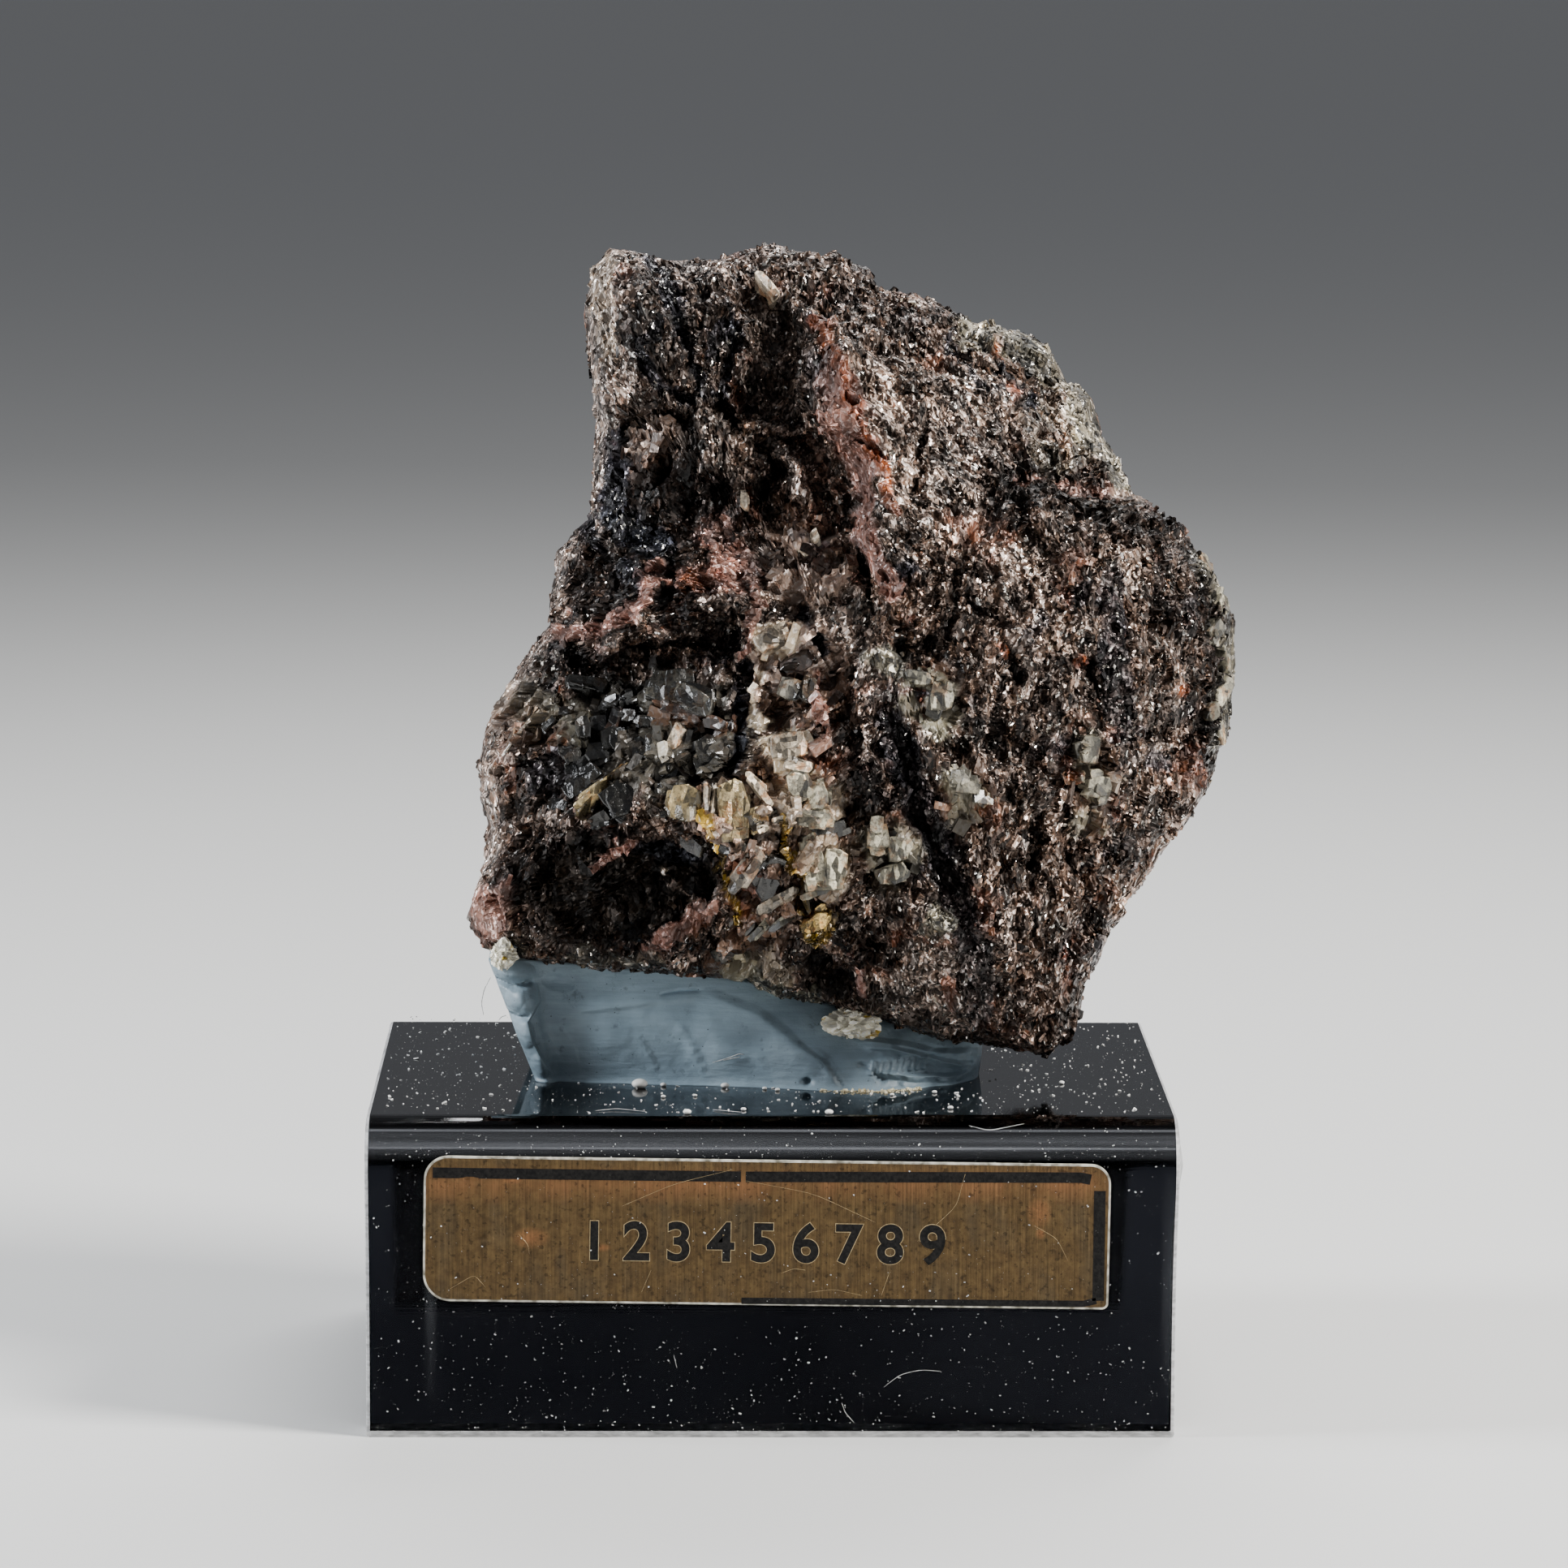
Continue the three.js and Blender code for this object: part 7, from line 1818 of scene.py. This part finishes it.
# Loose dust, grains and fibres.
dust = {
    # out: how far from the plate; rise: height over the top plate for each millimetre of size
    "topPlate": {"count": 2800, "x": (-24.5, 24.8), "y": (3.5, 39), "small": 0.009, "large": 0.085,
                 "rise": 0.3},
    "frontEdge": {"count": 200, "x": (-24.5, 24.8), "z": (17.6, 19.3), "small": 0.012, "large": 0.05,
                  "out": 0.005},
    "label": {"count": 420, "x": (-21, 20.6), "z": (8.6, 17.3), "small": 0.008, "large": 0.05, "out": 0.215},
    "frontPlate": {"count": 2600, "x": (-24.6, 24.8), "z": (0.3, 18), "small": 0.013, "large": 0.05,
                   "out": 0.005},
    "contact": {"count": 220, "x": (3.2, 9.6), "small": 0.035, "large": 0.13, "rise": 0.5},
}
sizePower = 6  # the higher, the fewer large grains
fallenShare = 0.35  # share of an upright plate's dust that gathers low
contactLine = [(3.2, 11.7), (4.2, 11.4), (6.8, 11.2), (8.5, 11.8), (9.6, 12.3)]  # x, y of the putty's foot
contactReach = 0.25  # how far in front of it the grains lie on average

# x, y, radius of the pale beads on the stand at the putty's foot
beads = [(-8.2, 12.4, 0.42), (-6.7, 13.0, 0.17), (-2.8, 12.5, 0.23), (-0.3, 11.9, 0.13), (0.5, 11.4, 0.14),
         (-6.7, 9.0, 0.13), (-4.7, 9.4, 0.12), (-1.7, 4.6, 0.14), (-5.2, 3.4, 0.22), (3.6, 3.4, 0.22),
         (11.2, 5.2, 0.15), (7.7, 9.8, 0.12), (10.4, 10.7, 0.13), (18.6, 14.0, 0.15)]

threadSides = 6

# fibres: radius, then points in x, y and z
fibres = [
    (0.034, [(-3.6, 13.15, 21.2), (-2.6, 13.1, 21.5), (-1.9, 13.05, 21.8), (-1.6, 13.05, 21.72)]),
    (0.03, [(-2.9, 13.1, 21.35), (-1.85, 13.0, 21.6)]),
    (0.03, [(-17.7, 15.3, 26.3), (-18.1, 15.1, 25.6), (-18.3, 15.1, 24.7), (-18.15, 15.1, 23.9)]),
    (0.03, [(-17.2, 15.2, 23.55), (-17.0, 15.1, 23.8), (-16.7, 15.0, 23.9)]),
    (0.018, [(-10.9, 4.2, 19.75), (-9.6, 4.7, 19.8), (-7.8, 3.9, 19.76)]),
    (0.018, [(-3.6, 4.6, 19.75), (-2.8, 4.0, 19.8), (-1.9, 3.7, 19.76)]),
    (0.016, [(12.2, 1.5, 19.35), (13.4, 1.1, 19.1), (14.6, 1.3, 19.3), (15.6, 1.6, 19.45)]),
    (0.012, [(7.0, -0.04, 3.2), (8.0, -0.05, 4.0), (9.3, -0.05, 4.3), (10.4, -0.04, 4.2)]),
    (0.010, [(4.4, -0.04, 2.2), (4.6, -0.05, 1.6), (5.2, -0.04, 0.9)]),
    (0.010, [(-6.0, -0.04, 5.2), (-5.8, -0.05, 4.4)]),
]

# fine pale scratches on the label: radius, then points in x and z
scratchOut = 0.212
scratches = [
    (0.012, [(-9.2, 14.6), (-6.0, 16.0), (-2.4, 16.9)]), (0.010, [(-1.6, 16.2), (2.6, 15.4), (6.4, 13.6)]),
    (0.012, [(9.0, 12.4), (11.4, 14.6), (11.9, 16.6)]), (0.010, [(2.3, 9.2), (3.9, 9.4), (5.6, 9.0)]),
    (0.014, [(0.6, 10.4), (1.4, 10.7), (2.1, 10.6)]), (0.010, [(-19.8, 9.4), (-18.3, 10.3), (-17.6, 9.5)]),
    (0.010, [(-15.6, 12.9), (-15.0, 12.2), (-14.9, 11.6)]), (0.012, [(6.8, 9.0), (7.3, 10.5)]),
    (0.009, [(16.2, 13.4), (17.6, 12.6), (18.3, 11.2)]), (0.009, [(-8.0, 9.2), (-7.4, 10.6)]),
]


def makeScratches():
    parts = [tube(radius, [(x, -scratchOut, z) for x, z in path]) for radius, path in scratches]
    return newMesh("scratches", *joined(parts))


def dustSpots(dims, dice):
    # centres and sizes, on an upright plate and round its bend, on the top plate, or at the putty's foot
    count = dims["count"]
    x = dice.uniform(*dims["x"], count)
    size = dims["small"] + (dims["large"] - dims["small"]) * dice.random(count) ** sizePower
    if "z" in dims:
        low, bend = dims["z"][0], stand["outerBend"]
        z = dice.uniform(*dims["z"], count)
        z = np.where(dice.random(count) < fallenShare, low + (z - low) * dice.random(count), z)
        above = (z - stand["height"] + bend).clip(0, bend)
        return np.stack([x, bend - np.sqrt(bend ** 2 - above ** 2) - dims["out"], z], 1), size
    if "y" in dims:
        y = dice.uniform(*dims["y"], count)
    else:
        y = np.interp(x, *zip(*contactLine)) - dice.exponential(contactReach, count)
    return np.stack([x, y, stand["height"] + dims["rise"] * size], 1), size


def makeDust(name, keys, seed):
    dice = np.random.default_rng(seed)
    spots, sizes = zip(*[dustSpots(dust[key], dice) for key in keys])
    spots, sizes = np.vstack(spots), np.concatenate(sizes)
    count = len(spots)
    halfSizes = sizes[:, None] * np.stack([dice.uniform(0.8, 2.2, count), dice.uniform(0.5, 1, count),
                                           dice.uniform(0.4, 1, count)], 1)
    axes = turnedAxes(np.tile((0, -0.4, 1.0), (count, 1)), dice, 0.5, dice.normal(size=(count, 3)))
    places, faces = brokenBoxes(spots, axes, halfSizes, dice)
    return newMesh(name, places, faces, smooth=False)


def tube(radius, path, steps=12):
    # a six-sided thread through the points, thinning out at both ends
    path = np.array(path, float)
    t = np.linspace(0, len(path) - 1, steps)
    line = np.stack([np.interp(t, range(len(path)), column) for column in path.T], 1)
    line = np.vstack([line[:1], 0.25 * line[:-2] + 0.5 * line[1:-1] + 0.25 * line[2:], line[-1:]])
    along = unit(np.gradient(line, axis=0))
    side = unit(np.cross(along, (0.1, 1, 0.2)))
    other = np.cross(along, side)
    width = radius * np.sin(np.linspace(0.15, np.pi - 0.15, steps)) ** 0.4
    angles = np.linspace(0, 2 * np.pi, threadSides, endpoint=False)
    rings = (line[:, None] + width[:, None, None] * (np.cos(angles)[None, :, None] * side[:, None]
                                                     + np.sin(angles)[None, :, None] * other[:, None]))
    index = ringNumbers(steps, threadSides)
    ends = [ring[half] for ring in (index[0][::-1], index[-1]) for half in ([0, 1, 2, 3], [0, 3, 4, 5])]
    return rings.reshape(-1, 3), np.vstack([turnedQuads(index), ends])


def makeBeads():
    places, quads, caps = ballGrid(14, 20)
    triangles = np.vstack([splitQuads(places, quads), caps])
    parts = [(places * radius * (1.2, 1, 0.75) + (x, y, stand["height"] + 0.65 * radius), triangles)
             for x, y, radius in beads]
    return newMesh("paleBeads", *joined(parts))


paleDust = plainMaterial("paleDust", (0.42, 0.42, 0.40), (0.88, 0.88, 0.86), 0.8, 3)
dress(makeDust("standDust", ["topPlate", "frontEdge"], 91), [paleDust], None)
dress(makeScratches(), [edgeHighlightAndScratchInk], None)
dress(makeDust("fineDust", ["frontPlate", "label"], 93),
      [plainMaterial("greyDust", (0.20, 0.20, 0.20), (0.70, 0.70, 0.68), 0.8, 3)], None)
dress(makeDust("contactGrains", ["contact"], 92),
      [plainMaterial("yellowGrains", (0.30, 0.24, 0.12), (0.75, 0.68, 0.48), 0.7, 2)], None)
paleBead = plainMaterial("paleBead", (0.72, 0.71, 0.66), (0.88, 0.88, 0.85), 0.45, 2)
dress(makeBeads(), [paleBead], None)
dress(newMesh("fibres", *joined([tube(radius, path) for radius, path in fibres])), [paleDust], None)


floorEdges = {"side": 6000, "front": -3000, "back": 9000}
skyStrength = 0.18


def makeStage():
    side, front, back = floorEdges["side"], floorEdges["front"], floorEdges["back"]
    floor = newMesh("floor", [(-side, front, 0), (side, front, 0), (side, back, 0), (-side, back, 0)],
                    [(0, 1, 2, 3)])
    pale, _, shader = newMaterial("paleFloor")
    shader.inputs["Base Color"].default_value = (0.62, 0.62, 0.61, 1)
    shader.inputs["Roughness"].default_value = 0.7
    floor.data.materials.append(pale)
    world = bpy.data.worlds.new("studio")
    world.use_nodes = True
    world.node_tree.nodes["Background"].inputs["Color"].default_value = (0.9, 0.93, 1, 1)
    world.node_tree.nodes["Background"].inputs["Strength"].default_value = skyStrength
    bpy.context.scene.world = world


# place, width and height, power and colour of each soft light; all of them point at the same place
lights = {
    "keyRight": ((300, -110, 290), (120, 120), 4.2, (1, 0.98, 0.95)),
    "sideLeft": ((-340, -10, 190), (110, 160), 2.2, (0.93, 0.96, 1)),
    "topBack": ((60, 260, 330), (200, 140), 1.2, (1, 1, 1)),
}
lightTarget = (5.8, 20, 40)


def areaLight(name, place, size, power, colour):
    light = bpy.data.lights.new(name, "AREA")
    light.shape = "RECTANGLE"
    light.size, light.size_y = size[0] / 1000, size[1] / 1000
    light.energy = power
    light.color = colour
    lamp = bpy.data.objects.new(name, light)
    bpy.context.scene.collection.objects.link(lamp)
    start, end = toFrame(place), toFrame(lightTarget)
    direction = (end - start) / np.linalg.norm(end - start)
    side = np.cross(direction, (0, 0, 1))
    side /= np.linalg.norm(side)
    up = np.cross(side, direction)
    rows = np.eye(4)
    rows[:3, 0], rows[:3, 1], rows[:3, 2], rows[:3, 3] = side, up, -direction, start
    lamp.matrix_world = Matrix(rows.tolist())


camera = {
    "place": (-5.3, -412.6, 96.9),
    "right": (0.99990, -0.01397, 0.00380),
    "up": (-0.00189, 0.13472, 0.99088),
    "forward": (0.01435, 0.99079, -0.13468),
    "focalPixels": 8400,
    "imageWidth": 1932,
}


def makeCamera():
    data = bpy.data.cameras.new("camera")
    data.sensor_width = 36
    data.lens = camera["focalPixels"] / camera["imageWidth"] * data.sensor_width
    data.clip_start, data.clip_end = 0.01, 50
    viewer = bpy.data.objects.new("camera", data)
    rows = np.eye(4)
    rows[:3, 0], rows[:3, 1], rows[:3, 2] = camera["right"], camera["up"], -np.array(camera["forward"])
    rows[:3, 3] = toFrame(camera["place"])
    viewer.matrix_world = Matrix(rows.tolist())
    bpy.context.scene.collection.objects.link(viewer)
    bpy.context.scene.camera = viewer


makeStage()
for lightName, light in lights.items():
    areaLight(lightName, *light)
makeCamera()
